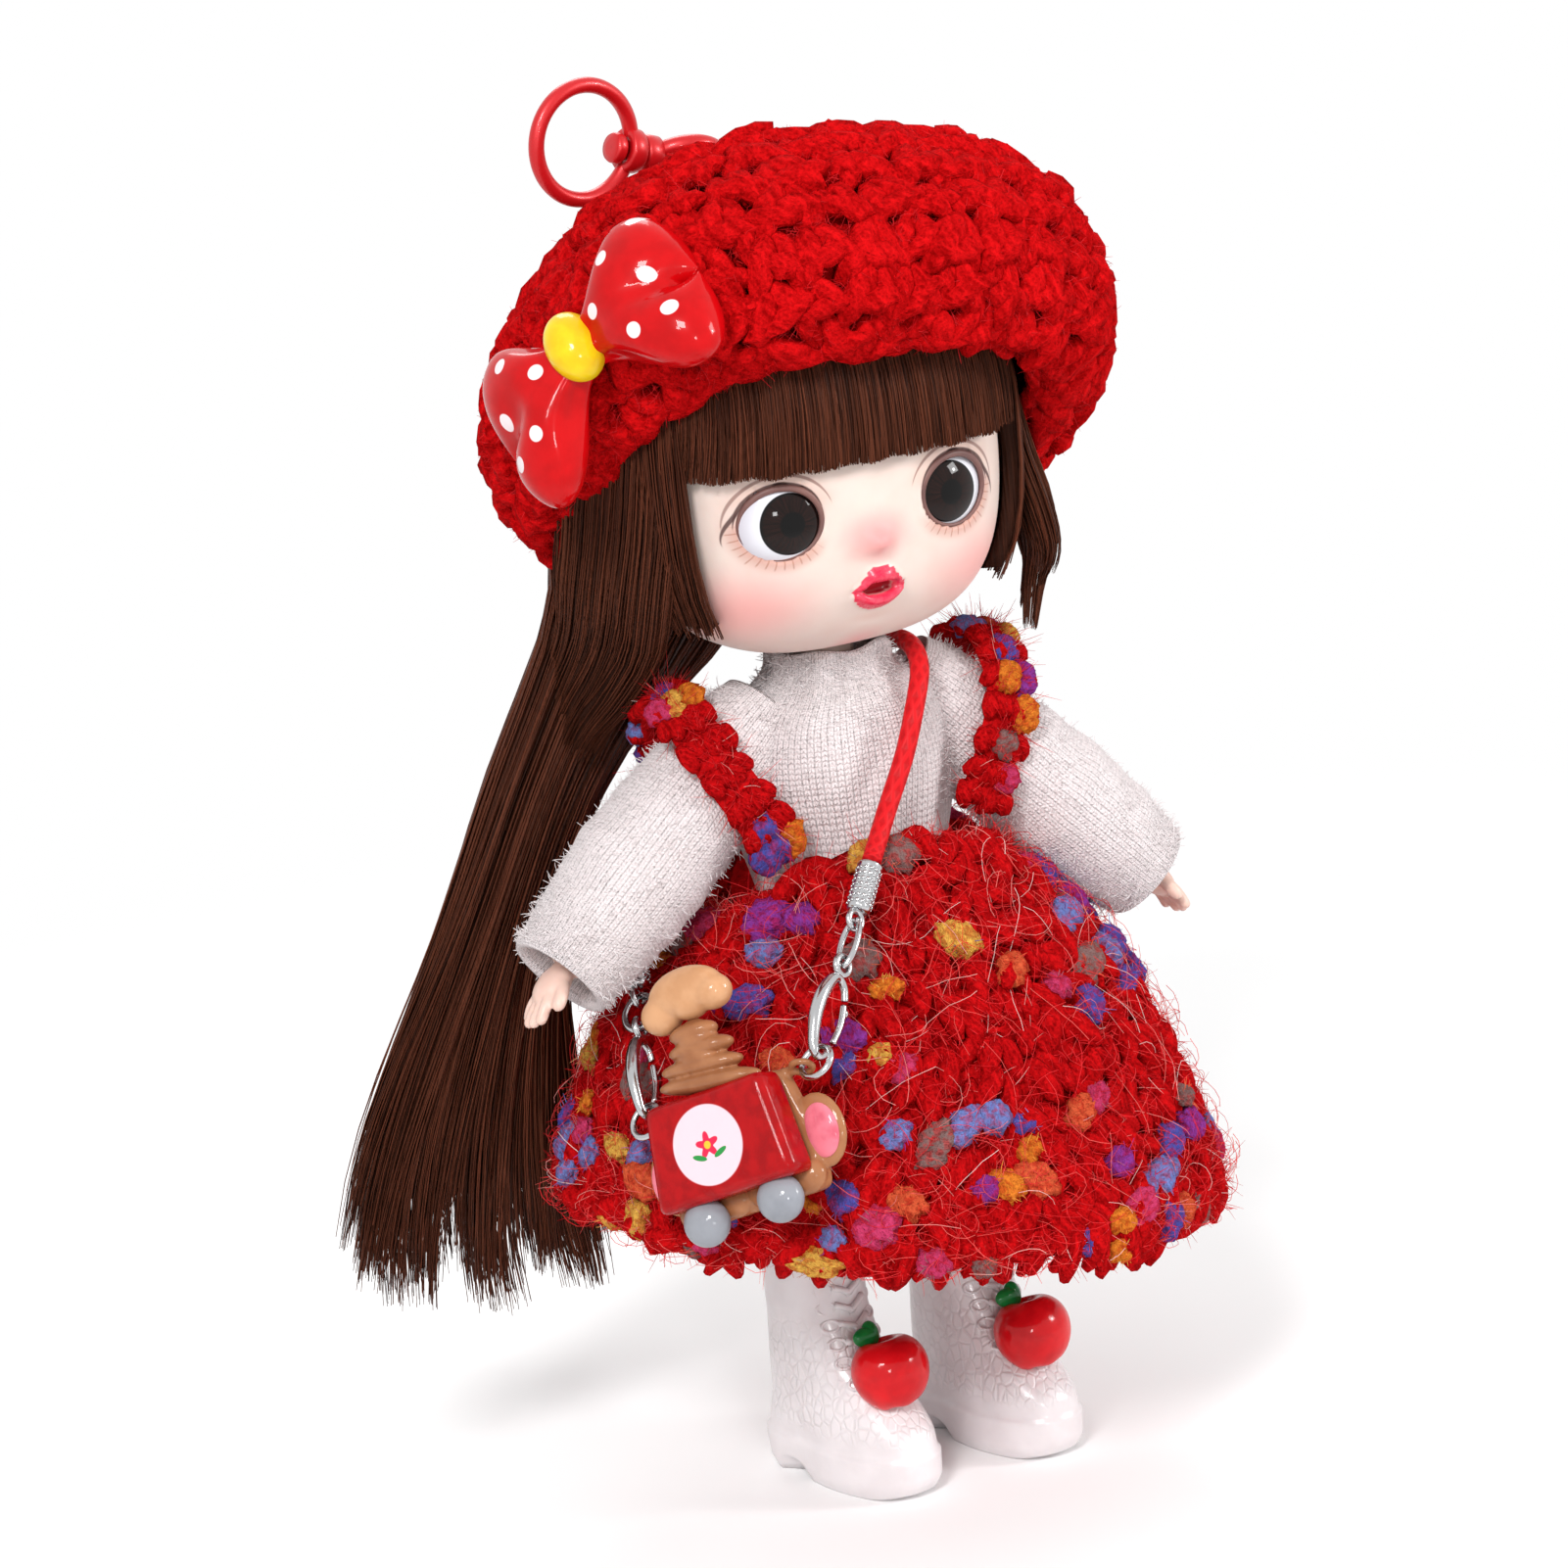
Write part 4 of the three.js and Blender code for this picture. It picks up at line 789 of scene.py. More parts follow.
@dataclass(frozen=True)
class Face:
    """Painted vinyl: blush on the cheeks, nose and chin, painted shade in the crease under the lower lip,
    lids, lashes and lips.
    """

    name: str
    eye_x: float
    eye_z: float
    eye_half: tuple[float, float]
    shift: float

    def build(self) -> bpy.types.Material:
        """Makes the material."""
        look = Look(self.name)
        x, _, z = look.parts(look.doll())
        x = x - self.shift
        out = (abs(x) - self.eye_x) / self.eye_half[0]
        up = (z - self.eye_z) / self.eye_half[1]
        reach = look.math("SQRT", out * out + up * up)
        turn = look.math("ARCTAN2", up, out) * (180 / math.pi)
        mottle = look.grain(look.doll(), 0.22, 4)
        skin = look.mix(mottle.step(0.3, 0.75), (0.77, 0.635, 0.57), (0.75, 0.595, 0.53))
        for centre, size, tint, weight in self.blushes():
            dx, dz = (abs(x) if centre[0] else x) - centre[0], z - centre[1]
            far = look.math("SQRT", dx * dx / size[0] ** 2 + dz * dz / size[1] ** 2)
            skin = look.mix(far.step(1.0, 0.0) * weight, skin, tint)
        glow = reach.step(1.5, 1.02) * turn.step(-165, -120) * turn.step(25, -10)
        skin = look.mix(glow * 0.55, skin, (0.5, 0.16, 0.1))
        shadow = reach.step(1.75, 1.1) * turn.step(10, 40) * turn.step(178, 150)
        skin = look.mix(shadow * 0.35, skin, (0.6, 0.3, 0.23))
        for mask, tint in self.lines(look, reach, turn):
            skin = look.mix(mask, skin, tint)
        lip = look.attribute("lip")
        gloss = look.grain(look.doll(), 1.4, 2)
        rosy = look.mix(gloss.step(0.3, 0.7), (0.76, 0.022, 0.07), (0.8, 0.07, 0.12))
        painted = look.mix(lip.step(0.35, 0.65), skin, rosy)
        painted = look.mix(look.attribute("mouth").step(0.35, 0.75), painted, (0.42, 0.008, 0.02))
        pores = look.grain(look.doll(), 5.0, 3)
        rough = 0.5 + (pores - 0.5) * 0.12 - lip * 0.24
        return look.done(Base_Color=painted, Roughness=rough, Normal=look.bump(pores, 0.012, 0.5),
                         Subsurface_Weight=0.12, Subsurface_Radius=SKIN_DEPTH,
                         Specular_IOR_Level=0.25,
                         Coat_Weight=look.attribute("mouth") * 0.3 + lip * 0.2, Coat_Roughness=0.08)

    def blushes(self) -> tuple:
        """Centres, half sizes, colours and weights; a centre off the middle is on both sides. The brownish
        band under the lower lip is painted shade in its crease.
        """
        pink = (0.86, 0.3, 0.29)
        cheeks = ((15.5, 115.5), (11.5, 7.5), pink, 0.62)
        nose = ((0.0, 122.6), (6.4, 4.4), (0.88, 0.26, 0.27), 0.75)
        chin = ((0.0, 108.3), (4.5, 3.0), pink, 0.5)
        # A brownish band in the crease under the lower lip: painted shade
        under_lip_shade = ((0.0, 112.2), (4.0, 1.0), (0.66, 0.4, 0.33), 0.35)
        return cheeks, nose, chin, under_lip_shade

    def lines(self, look: Look, reach: Wire, turn: Wire) -> list[tuple[Wire, Colour]]:
        """The painted lines round each eye, from the eye's own reach and turn."""
        ink = (0.075, 0.032, 0.03)
        taper = turn.step(-8, 40) * turn.step(170, 120)
        crease = (abs(reach - 1.34) - taper * 0.035).step(0.025, -0.01) * taper.step(0.0, 0.15)
        lid = abs(reach - 1.1 + (turn - 60) * 0.0004) - taper * 0.06
        lid_mask = lid.step(0.02, -0.015) * taper.step(0.0, 0.12)
        wing_at = reach - 1.12 - turn.step(24, -22) * 0.3
        wing = (abs(wing_at) - turn.step(-26, 10) * 0.05).step(0.02, -0.015)
        wing = wing * turn.step(-23, -16) * turn.step(35, 15)
        spokes = (turn * 0.62).sine() * 0.5 + 0.5
        length = look.grain(look.vector_of(turn * 0.05, 0.0, 0.0), 1.0, 1) * 0.3 + 1.2
        low = spokes.step(0.86, 0.97) * (length - reach).step(0.0, 0.1)
        low = low * turn.step(-150, -120) * turn.step(8, -8)
        return [(low * 0.5 * reach.step(1.0, 1.08), (0.36, 0.12, 0.07)), (crease * 0.7, (0.2, 0.085, 0.07)),
                (lid_mask * 0.9, ink), (wing * 0.9, ink)]


@dataclass(frozen=True)
class Eye:
    """A glossy eye: white that greys towards its edge as painted shade, a very dark brown iris with its rim,
    and a black pupil.
    """

    name: str
    centre: tuple[float, float]
    iris: float
    shift: float

    def build(self) -> bpy.types.Material:
        """Makes the material."""
        look = Look(self.name)
        x, _, z = look.parts(look.doll())
        dx, dz = abs(x - self.shift) - self.centre[0], z - self.centre[1]
        reach = look.math("SQRT", dx * dx + dz * dz) / self.iris
        rays = look.grain(look.vector_of(look.math("ARCTAN2", dz, dx) * 6.0, reach * 0.8, 0.0), 1.5, 3)
        brown = look.mix(rays.step(0.3, 0.7), (0.004, 0.0014, 0.001), (0.016, 0.0045, 0.003))
        brown = look.mix(reach.step(0.45, 0.38), brown, (0.002, 0.0015, 0.0015))
        brown = look.mix(reach.step(0.88, 0.97), brown, (0.004, 0.003, 0.003))
        # The white greys outwards from the iris: painted shade towards the lids
        white = look.mix(reach.step(1.05, 1.5), (0.74, 0.74, 0.79), (0.6, 0.58, 0.64))
        colour = look.mix(reach.step(1.02, 0.99), white, brown)
        return look.done(Base_Color=colour, Roughness=0.05 + rays * 0.02, Specular_IOR_Level=0.16,
                         Coat_Weight=0.15, Coat_Roughness=0.02)


@dataclass(frozen=True)
class Dotted:
    """The bow's red resin with white dots, placed by the bow's own frame."""

    name: str
    place: Matrix
    dots: tuple[tuple[float, float], ...]
    size: float = 1.0

    def build(self) -> bpy.types.Material:
        """Makes the material."""
        look = Look(self.name)
        here = look.vector("SUBTRACT", look.doll(), tuple(self.place.translation))
        axes = [tuple(self.place.to_3x3().col[i]) for i in (0, 2)]
        along, across = (look.vector("DOT_PRODUCT", here, axis, out="Value") for axis in axes)
        nearest = None
        for a, b in self.dots:
            da, db = abs(along) - a, across - b
            far = look.math("SQRT", da * da + db * db)
            nearest = far if nearest is None else look.math("MINIMUM", nearest, far)
        pool = look.grain(look.doll(), 0.35, 3).step(0.35, 0.7)
        red = look.mix(pool, (0.56, 0.002, 0.004), (0.47, 0.0015, 0.003))
        colour = look.mix(nearest.step(self.size, self.size * 0.88), red, (0.86, 0.76, 0.78))
        normal = look.bump(look.grain(look.doll(), 0.35, 2), 0.05, 0.4)
        return look.done(Base_Color=colour, Roughness=0.2 + pool * 0.06, Normal=normal,
                         Specular_IOR_Level=0.05, Coat_Weight=0.3, Coat_Roughness=0.01)


@dataclass(frozen=True)
class Panel:
    """The bag's front: red resin with a pale oval that holds a small five-petalled flower and two leaves."""

    name: str
    place: Matrix
    oval: tuple[float, float, float, float]

    def build(self) -> bpy.types.Material:
        """Makes the material."""
        look = Look(self.name)
        here = look.vector("SUBTRACT", look.doll(), tuple(self.place.translation))
        basis = self.place.to_3x3()
        x, y, z = (look.vector("DOT_PRODUCT", here, tuple(basis.col[i]), out="Value") for i in range(3))
        cx, cz, rx, rz = self.oval
        front = y.step(-5.0, -5.6)
        dx, dz = x - cx, z - cz
        far = look.math("SQRT", dx * dx / rx**2 + dz * dz / rz**2)
        blotch = look.grain(look.doll(), 0.6, 3).step(0.35, 0.7)
        red = look.mix(blotch, (0.4, 0.003, 0.005), (0.3, 0.002, 0.004))
        colour = look.mix(far.step(1.02, 0.98) * front, red, (0.84, 0.6, 0.66))
        reach = look.math("SQRT", dx * dx + dz * dz)
        petal = (look.math("ARCTAN2", dz, dx) * 5.0).sine() * 0.42 + 1.25
        colour = look.mix((reach - petal).step(0.06, -0.06) * front, colour, (0.7, 0.02, 0.07))
        colour = look.mix(reach.step(0.52, 0.42) * front, colour, (0.8, 0.5, 0.04))
        for way in (-1, 1):
            lx, lz = dx - way * 1.5, dz + 1.75 - abs(dx) * 0.35
            leaf = look.math("SQRT", lx * lx / 0.9 + lz * lz / 0.13)
            colour = look.mix(leaf.step(1.05, 0.95) * front, colour, (0.03, 0.27, 0.06))
        normal = look.bump(look.grain(look.doll(), 0.7, 2), 0.15, 0.5)
        return look.done(Base_Color=colour, Roughness=0.2 + blotch * 0.08, Normal=normal,
                         Specular_IOR_Level=0.06, Coat_Weight=0.25, Coat_Roughness=0.03)


# The tones of wool from which each fleck's colour starts
FLECKS = (
    (0.800, (0.88, 0.26, 0.03)), (0.835, (0.88, 0.5, 0.09)), (0.866, (0.06, 0.1, 0.46)),
    (0.892, (0.16, 0.27, 0.66)), (0.918, (0.27, 0.05, 0.36)), (0.94, (0.7, 0.06, 0.18)),
    (0.966, (0.24, 0.17, 0.16)), (0.985, (0.8, 0.13, 0.05)),
)
# The colours of loose fibres by their tone
WOOL_TONES = ((0.0, (0.5, 0.004, 0.008)), (1.0, (0.8, 0.03, 0.035)))
LINT_TONES = ((0.0, (0.76, 0.7, 0.7)), (1.0, (0.86, 0.81, 0.81)))
CURL_TONES = (
    (0.0, (0.5, 0.004, 0.008)), (0.62, (0.8, 0.03, 0.035)), (0.86, (0.84, 0.14, 0.12)),
    (0.95, (0.88, 0.4, 0.36)), (1.0, (0.9, 0.72, 0.68)),
)


class Finish:
    """The charm's materials, each made once."""

    def __init__(self) -> None:
        """Builds the finishes that several pieces share."""
        self.skin = Vinyl("skin_vinyl", (0.8, 0.57, 0.48), (0.74, 0.49, 0.41)).build()
        self.white = Vinyl("white_vinyl", (0.7, 0.65, 0.66), (0.65, 0.59, 0.6), 0.3, 0.3).build()
        self.silver = Metal("chrome", (0.52, 0.52, 0.53), (0.3, 0.29, 0.28), 1.0, 0.08).build()
        self.lacquer = Metal("red_lacquer", (0.56, 0.006, 0.01), (0.42, 0.004, 0.008), 0.3, 0.3, 0.2).build()
        self.hair = Hair("doll_hair").build()
        # The second colour of each wool is the painted shade between its plies
        self.crochet = Yarn("red_wool", (0.72, 0.006, 0.008), (0.26, 0.0008, 0.0012)).build()
        self.boucle = Yarn("boucle", (0.62, 0.006, 0.008), (0.2, 0.0008, 0.0015), FLECKS).build()
        self.cocoa = Resin("cocoa_resin", (0.38, 0.16, 0.07), (0.3, 0.115, 0.048)).build()
        self.biscuit = Resin("biscuit_resin", (0.62, 0.33, 0.17), (0.54, 0.27, 0.13)).build()
        self.grey = Resin("grey_resin", (0.29, 0.3, 0.33), (0.25, 0.26, 0.29)).build()
        self.red = Resin("red_resin", (0.66, 0.006, 0.01), (0.52, 0.004, 0.008)).build()
        self.green = Resin("green_resin", (0.01, 0.2, 0.04), (0.006, 0.13, 0.026)).build()
        self.yellow = Resin("yellow_resin", (0.86, 0.62, 0.01), (0.8, 0.5, 0.006)).build()
        self.pink = Resin("pink_glitter", (0.78, 0.2, 0.26), (0.6, 0.1, 0.15), 0.5).build()
        self.fuzz = Fuzz("wool_fuzz", WOOL_TONES).build()
        self.curls = Fuzz("mohair_curls", CURL_TONES, 0.5).build()
        self.tufts = Fuzz("slub_tufts", ((0.0, (0.6, 0.006, 0.01)), *FLECKS), 0.8).build()
        self.lint = Fuzz("white_lint", LINT_TONES, 0.8, 0.03).build()


class Tree:
    """A Geometry Nodes tree under way, with named inputs."""

    def __init__(self, name: str, inputs: Sequence[tuple[str, str]]) -> None:
        """Starts the tree with a geometry in and out and the given inputs of name and socket type."""
        self.tree = bpy.data.node_groups.new(name, "GeometryNodeTree")
        face = self.tree.interface
        face.new_socket("Geometry", in_out="INPUT", socket_type="NodeSocketGeometry")
        face.new_socket("Geometry", in_out="OUTPUT", socket_type="NodeSocketGeometry")
        self.names = {}
        for label, kind in inputs:
            self.names[label] = face.new_socket(label, in_out="INPUT", socket_type=kind).identifier
        self.start = self.tree.nodes.new("NodeGroupInput")
        self.end = self.tree.nodes.new("NodeGroupOutput")

    def node(self, kind: str, settings: Optional[dict] = None,
             values: Optional[dict] = None) -> bpy.types.Node:
        """Adds a node with its settings and its sockets' values or links."""
        node = self.tree.nodes.new(kind)
        for key, value in (settings or {}).items():
            setattr(node, key, value)
        for key, value in (values or {}).items():
            if isinstance(value, bpy.types.NodeSocket):
                self.tree.links.new(value, node.inputs[key])
            else:
                node.inputs[key].default_value = value
        return node

    def close(self, geometry: bpy.types.NodeSocket) -> None:
        """Ends the tree in Realize Instances and Set Material."""
        real = self.node("GeometryNodeRealizeInstances", None, {0: geometry})
        finish = self.start.outputs["Material"]
        dressed = self.node("GeometryNodeSetMaterial", None, {0: real.outputs[0], 2: finish})
        self.tree.links.new(dressed.outputs[0], self.end.inputs[0])

    def run(self, obj: bpy.types.Object, values: dict) -> bpy.types.Object:
        """Runs the tree on an object and leaves a plain mesh."""
        modifier = obj.modifiers.new("made", "NODES")
        modifier.node_group = self.tree
        for label, value in values.items():
            modifier[self.names[label]] = value
        return evaluated(obj)


class StrandTree(Tree):
    """Turns lines with a "wide" attribute into thin tapering strands."""

    def __init__(self) -> None:
        """Builds the tree."""
        super().__init__("strands", (("Thickness", "NodeSocketFloat"), ("Sides", "NodeSocketInt"),
                                     ("Material", "NodeSocketMaterial")))
        start = self.start.outputs
        line = self.node("GeometryNodeMeshToCurve", None, {0: start["Geometry"]})
        section = self.node("GeometryNodeCurvePrimitiveCircle", None,
                            {0: start["Sides"], 4: start["Thickness"]})
        wide = self.node("GeometryNodeInputNamedAttribute", {"data_type": "FLOAT"}, {0: "wide"})
        strand = self.node("GeometryNodeCurveToMesh", None, {
            0: line.outputs[0], 1: section.outputs[0], 2: wide.outputs[0], 3: True})
        self.close(strand.outputs[0])


class PlaceTree(Tree):
    """Puts a small piece on points, turned by "aim", sized by "size" and a little at random."""

    def __init__(self) -> None:
        """Builds the tree."""
        super().__init__("placed", (("Piece", "NodeSocketObject"), ("Seed", "NodeSocketInt"),
                                    ("Turn Jitter", "NodeSocketFloat"), ("Size Jitter", "NodeSocketFloat"),
                                    ("Material", "NodeSocketMaterial")))
        start = self.start.outputs
        piece = self.node("GeometryNodeObjectInfo", None, {0: start["Piece"]})
        jitter = start["Turn Jitter"]
        minus = self.node("ShaderNodeMath", {"operation": "MULTIPLY"}, {0: jitter, 1: -1.0})
        small = self.node("ShaderNodeMath", {"operation": "SUBTRACT"}, {0: 1.0, 1: start["Size Jitter"]})
        large = self.node("ShaderNodeMath", {"operation": "ADD"}, {0: 1.0, 1: start["Size Jitter"]})
        turn = self.node("FunctionNodeRandomValue", {"data_type": "FLOAT_VECTOR"},
                         {0: minus.outputs[0], 1: jitter, 8: start["Seed"]})
        grow = self.node("FunctionNodeRandomValue", {"data_type": "FLOAT_VECTOR"},
                         {0: small.outputs[0], 1: large.outputs[0], 8: start["Seed"]})
        aim = self.node("GeometryNodeInputNamedAttribute", {"data_type": "FLOAT_VECTOR"}, {0: "aim"})
        size = self.node("GeometryNodeInputNamedAttribute", {"data_type": "FLOAT_VECTOR"}, {0: "size"})
        aimed = self.node("ShaderNodeVectorMath", {"operation": "ADD"},
                          {0: aim.outputs[0], 1: turn.outputs[0]})
        sized = self.node("ShaderNodeVectorMath", {"operation": "MULTIPLY"},
                          {0: size.outputs[0], 1: grow.outputs[0]})
        way = self.node("FunctionNodeEulerToRotation", None, {0: aimed.outputs[0]})
        placed = self.node("GeometryNodeInstanceOnPoints", None, {
            0: start["Geometry"], 2: piece.outputs["Geometry"], 5: way.outputs[0], 6: sized.outputs[0]})
        self.close(placed.outputs[0])


@dataclass
class Strands:
    """Lines that will become strands, in millimetres in the doll's frame."""

    points: list[Vector] = field(default_factory=list)
    edges: list[tuple[int, int]] = field(default_factory=list)
    wide: list[float] = field(default_factory=list)
    tone: list[float] = field(default_factory=list)

    def add(self, path: Sequence[Vector], tone: float, tip: float = 0.35) -> None:
        """Adds one line that thins from its full width at the root to a share of it at the tip."""
        first, last = len(self.points), len(path) - 1
        for i, p in enumerate(path):
            self.points.append(p)
            self.wide.append(1.0 + (tip - 1.0) * (i / last) ** 3)
            self.tone.append(tone)
            if i:
                self.edges.append((first + i - 1, first + i))

    def grow(self, name: str, tree: StrandTree, thickness: float,
             material: bpy.types.Material) -> bpy.types.Object:
        """Makes the strands one plain mesh."""
        mesh = bpy.data.meshes.new(name)
        mesh.from_pydata([(p + SHIFT) * MM for p in self.points], self.edges, [])
        for label, values in (("wide", self.wide), ("tone", self.tone)):
            mesh.attributes.new(label, "FLOAT", "POINT").data.foreach_set("value", values)
        values = {"Thickness": thickness * MM, "Sides": STRAND_SIDES, "Material": material}
        return tree.run(linked(name, mesh), values)


@dataclass
class Spots:
    """Places for a small repeated piece."""

    points: list[Vector] = field(default_factory=list)
    aims: list[float] = field(default_factory=list)
    sizes: list[float] = field(default_factory=list)
    tones: list[float] = field(default_factory=list)

    def add(self, at: Vector, across: Vector, out: Vector, size: Sequence[float], tone: float = 0.0) -> None:
        """Adds a place with the piece's X along one way and its Z outwards."""
        z = out.normalized()
        x = (across - z * across.dot(z)).normalized()
        euler = Matrix((x, z.cross(x), z)).transposed().to_euler()
        self.points.append(at)
        self.aims += list(euler)
        self.sizes += list(size)
        self.tones.append(tone)

    def fill(self, name: str, tree: PlaceTree, piece: Shape, material: bpy.types.Material, seed: int = 1,
             turn: float = 0.0, grow: float = 0.0, own: bool = True) -> bpy.types.Object:
        """Puts the piece on every place and leaves one plain mesh.

        Args:
            name: The object's name.
            tree: The tree that places the piece.
            piece: The piece round its own origin, in millimetres.
            material: Its finish.
            seed: The seed of what is random.
            turn: The largest random turn, in radians.
            grow: The largest random change of size, as a share.
            own: Whether the piece keeps its own coordinates as an attribute.

        Returns:
            The plain object.
        """
        mesh = bpy.data.meshes.new(name)
        mesh.from_pydata([(p + SHIFT) * MM for p in self.points], [], [])
        mesh.attributes.new("aim", "FLOAT_VECTOR", "POINT").data.foreach_set("vector", self.aims)
        mesh.attributes.new("size", "FLOAT_VECTOR", "POINT").data.foreach_set("vector", self.sizes)
        mesh.attributes.new("tone", "FLOAT", "POINT").data.foreach_set("value", self.tones)
        obj = linked(name, mesh)
        source = bpy.data.meshes.new(name + "_piece")
        source.from_pydata([p * MM for p in piece.points], [], piece.faces)
        smoothed(source)
        if own:
            flat = [v for p in piece.points for v in p]
            source.attributes.new("own", "FLOAT_VECTOR", "POINT").data.foreach_set("vector", flat)
        stamp = linked(name + "_piece", source)
        filled = tree.run(obj, {"Piece": stamp, "Seed": seed, "Turn Jitter": turn, "Size Jitter": grow,
                                "Material": material})
        bpy.data.objects.remove(stamp)
        return filled


def knot_of_wool(lean: float, plump: float, bulge: float) -> Shape:
    """One crochet stitch: two plump strands that lean together, 1 wide and 1 high.

    Args:
        lean: How far each strand leans, in degrees.
        plump: The radius of a strand at its middle.
        bulge: How far its middle stands out.

    Returns:
        The stitch round its own origin, facing Z.
    """
    pair = []
    for way in (-1, 1):
        path = []
        for i in range(6):
            t = i / 5 - 0.5
            path.append(Vector((0, 1.25 * t, bulge * (1 - 4 * t * t))))
        strand = tube(path, lambda t: plump * (0.42 + 0.58 * math.sin(math.pi * t) ** 0.8), 6)
        tilt = Matrix.Translation((way * 0.25, 0, 0)) @ Matrix.Rotation(math.radians(way * lean), 4, "Z")
        pair.append(strand.moved(tilt))
    return pair[0].joined(pair[1])


def leaning(out: Vector, across: Vector, dice: random.Random) -> Vector:
    """A random lean of a fibre along the cloth that it grows out of."""
    return across * dice.uniform(-1.6, 1.6) + out.cross(across) * dice.uniform(-1.6, 1.6)


@dataclass
class Beret:
    """The crochet beret: a puffed crown turned back about X."""

    centre: Vector = field(default_factory=lambda: Vector((2.8, 5, 137.6)))
    tilt: float = 37.0
    lean: float = 6.0
    profile: tuple = (
        (0, 21.4), (8, 21.3), (15, 21), (21, 20.2), (26, 18.6), (30.6, 15.8), (34, 12), (36.4, 7.6),
        (37.3, 3.4), (37.3, 0.2), (36.9, -2.6), (35.6, -6.2), (33.4, -8.3), (30.4, -9.4), (27.4, -8.9))
    boxy: float = 0.04
    inside: tuple = ((26.3, -7.3), (31.2, -4.6), (33.8, 1), (30.4, 9), (23, 15), (13, 18), (0, 18.4))
    row: float = 5.4
    stitch: float = 6.0
    sink: float = 1.7
    edge_stitch: float = 5.6
    fibres: int = 10500

    def place(self) -> Matrix:
        """The crown's own frame, with Z up its axis."""
        back = Matrix.Rotation(math.radians(-self.tilt), 4, "X")
        return Matrix.Translation(self.centre) @ back @ Matrix.Rotation(math.radians(self.lean), 4, "Y")

    def at(self, turn: float, s: float, grow: float = 0.0) -> tuple[Vector, Vector, Vector]:
        """A point of the crown.

        Args:
            turn: The angle round the axis.
            s: The way down the profile, from 0 at the middle of the crown to 1 at the brim.
            grow: How far outside it.

        Returns:
            The point, the way outwards and the way round.
        """
        r, h = along_rows(self.profile, s)
        r *= 1 - self.boxy * math.cos(4 * turn)
        r2, h2 = along_rows(self.profile, min(s + 0.01, 1.0))
        r1, h1 = along_rows(self.profile, max(s - 0.01, 0.0))
        down = Vector((r2 - r1, h2 - h1)).normalized()
        place = self.place()
        radial = Vector((math.cos(turn), math.sin(turn), 0))
        out = (radial * -down.y + Vector((0, 0, down.x))).normalized()
        sag = 0.5 * math.sin(3 * turn + 0.6) * math.sin(math.pi * clamp(s))
        point = place @ (radial * r + Vector((0, 0, h)) + out * (grow + sag))
        turn3 = place.to_3x3()
        return point, turn3 @ out, turn3 @ Vector((-math.sin(turn), math.cos(turn), 0))

    def shell(self, finish: Finish) -> None:
        """The backing under the stitches, open below."""
        sides, least = 96, 0.4
        rings = [[self.at(a, s, -self.sink)[0] for a in circle(sides)] for s in shares(46)]
        place = self.place()
        for r, h in self.inside:
            ring = ellipse(Vector((0, 0, h)), max(r, least), max(r, least), sides)
            rings.append([place @ p for p in ring])
        top = Vector((0, 0, self.profile[0][1] - self.sink))
        rings[0] = [place @ p for p in ellipse(top, least, least, sides)]
        backing = loft(rings, hoop=True).build("beret", finish.crochet)
        settled(backing, Body.HEAD, ("beret",))

    def stitches(self, tree: PlaceTree, finish: Finish) -> None:
        """The rows of stitches round the crown, and the chained edge of the brim."""
        steps = 200
        lengths, total = [0.0], 0.0
        for i in range(1, steps + 1):
            a, b = along_rows(self.profile, (i - 1) / steps), along_rows(self.profile, i / steps)
            total += math.hypot(b[0] - a[0], b[1] - a[1])
            lengths.append(total)
        spots, chain, bars = Spots(), Spots(), Spots()
        dice = random.Random(4)
        count = int(total / self.row)
        for row in range(count):
            want = total * (row + 0.4) / count
            s = next(i for i, value in enumerate(lengths) if value >= want) / steps
            radius = along_rows(self.profile, s)[0]
            around = max(5, round(math.tau * radius / self.stitch))
            for k in range(around):
                turn = math.tau * (k + 0.5 * (row % 2) + dice.uniform(-0.2, 0.2)) / around
                s_here = clamp(s + dice.uniform(-0.012, 0.012))
                point, out, across = self.at(turn, s_here, dice.uniform(-0.9, -0.5))
                wide = math.tau * max(radius, 2.5) / around * 1.2
                spots.add(point, across, out, (wide, self.row * 1.18, self.stitch * 1.3), dice.random())
                point, out, across = self.at(turn + 0.6 / around, clamp(s_here + 0.012), 0.1)
                bars.add(point, across + out.cross(across) * dice.uniform(-0.6, 0.6), out,
                         (wide * 1.2, self.row * 0.8, self.stitch * 0.9), dice.random())
        around = round(math.tau * self.profile[-1][0] / self.edge_stitch)
        for k in range(around):
            point, out, across = self.at(math.tau * (k + 0.3) / around, 0.985, -0.1)
            chain.add(point, out.cross(across), out, (4.4, 6.6, 5.0), dice.random())
        stitch = knot_of_wool(19, 0.27, 0.12)
        steps_along = (-0.5, -0.3, -0.1, 0.1, 0.3, 0.5)
        strand = tube([Vector((t, 0.1 * math.sin(9 * t), 0.14 - 0.5 * t * t)) for t in steps_along],
                      lambda t: 0.36 * (0.5 + 0.5 * math.sin(math.pi * t)), 6)
        kinds = (("beret_stitches", spots, stitch, 0.34), ("beret_edge", chain, stitch, 0.15),
                 ("beret_bars", bars, strand, 0.3))
        for name, some, shape, turn in kinds:
            piece = some.fill(name, tree, shape, finish.crochet, seed=3, turn=turn, grow=0.16)
            settled(piece, Body.HEAD)

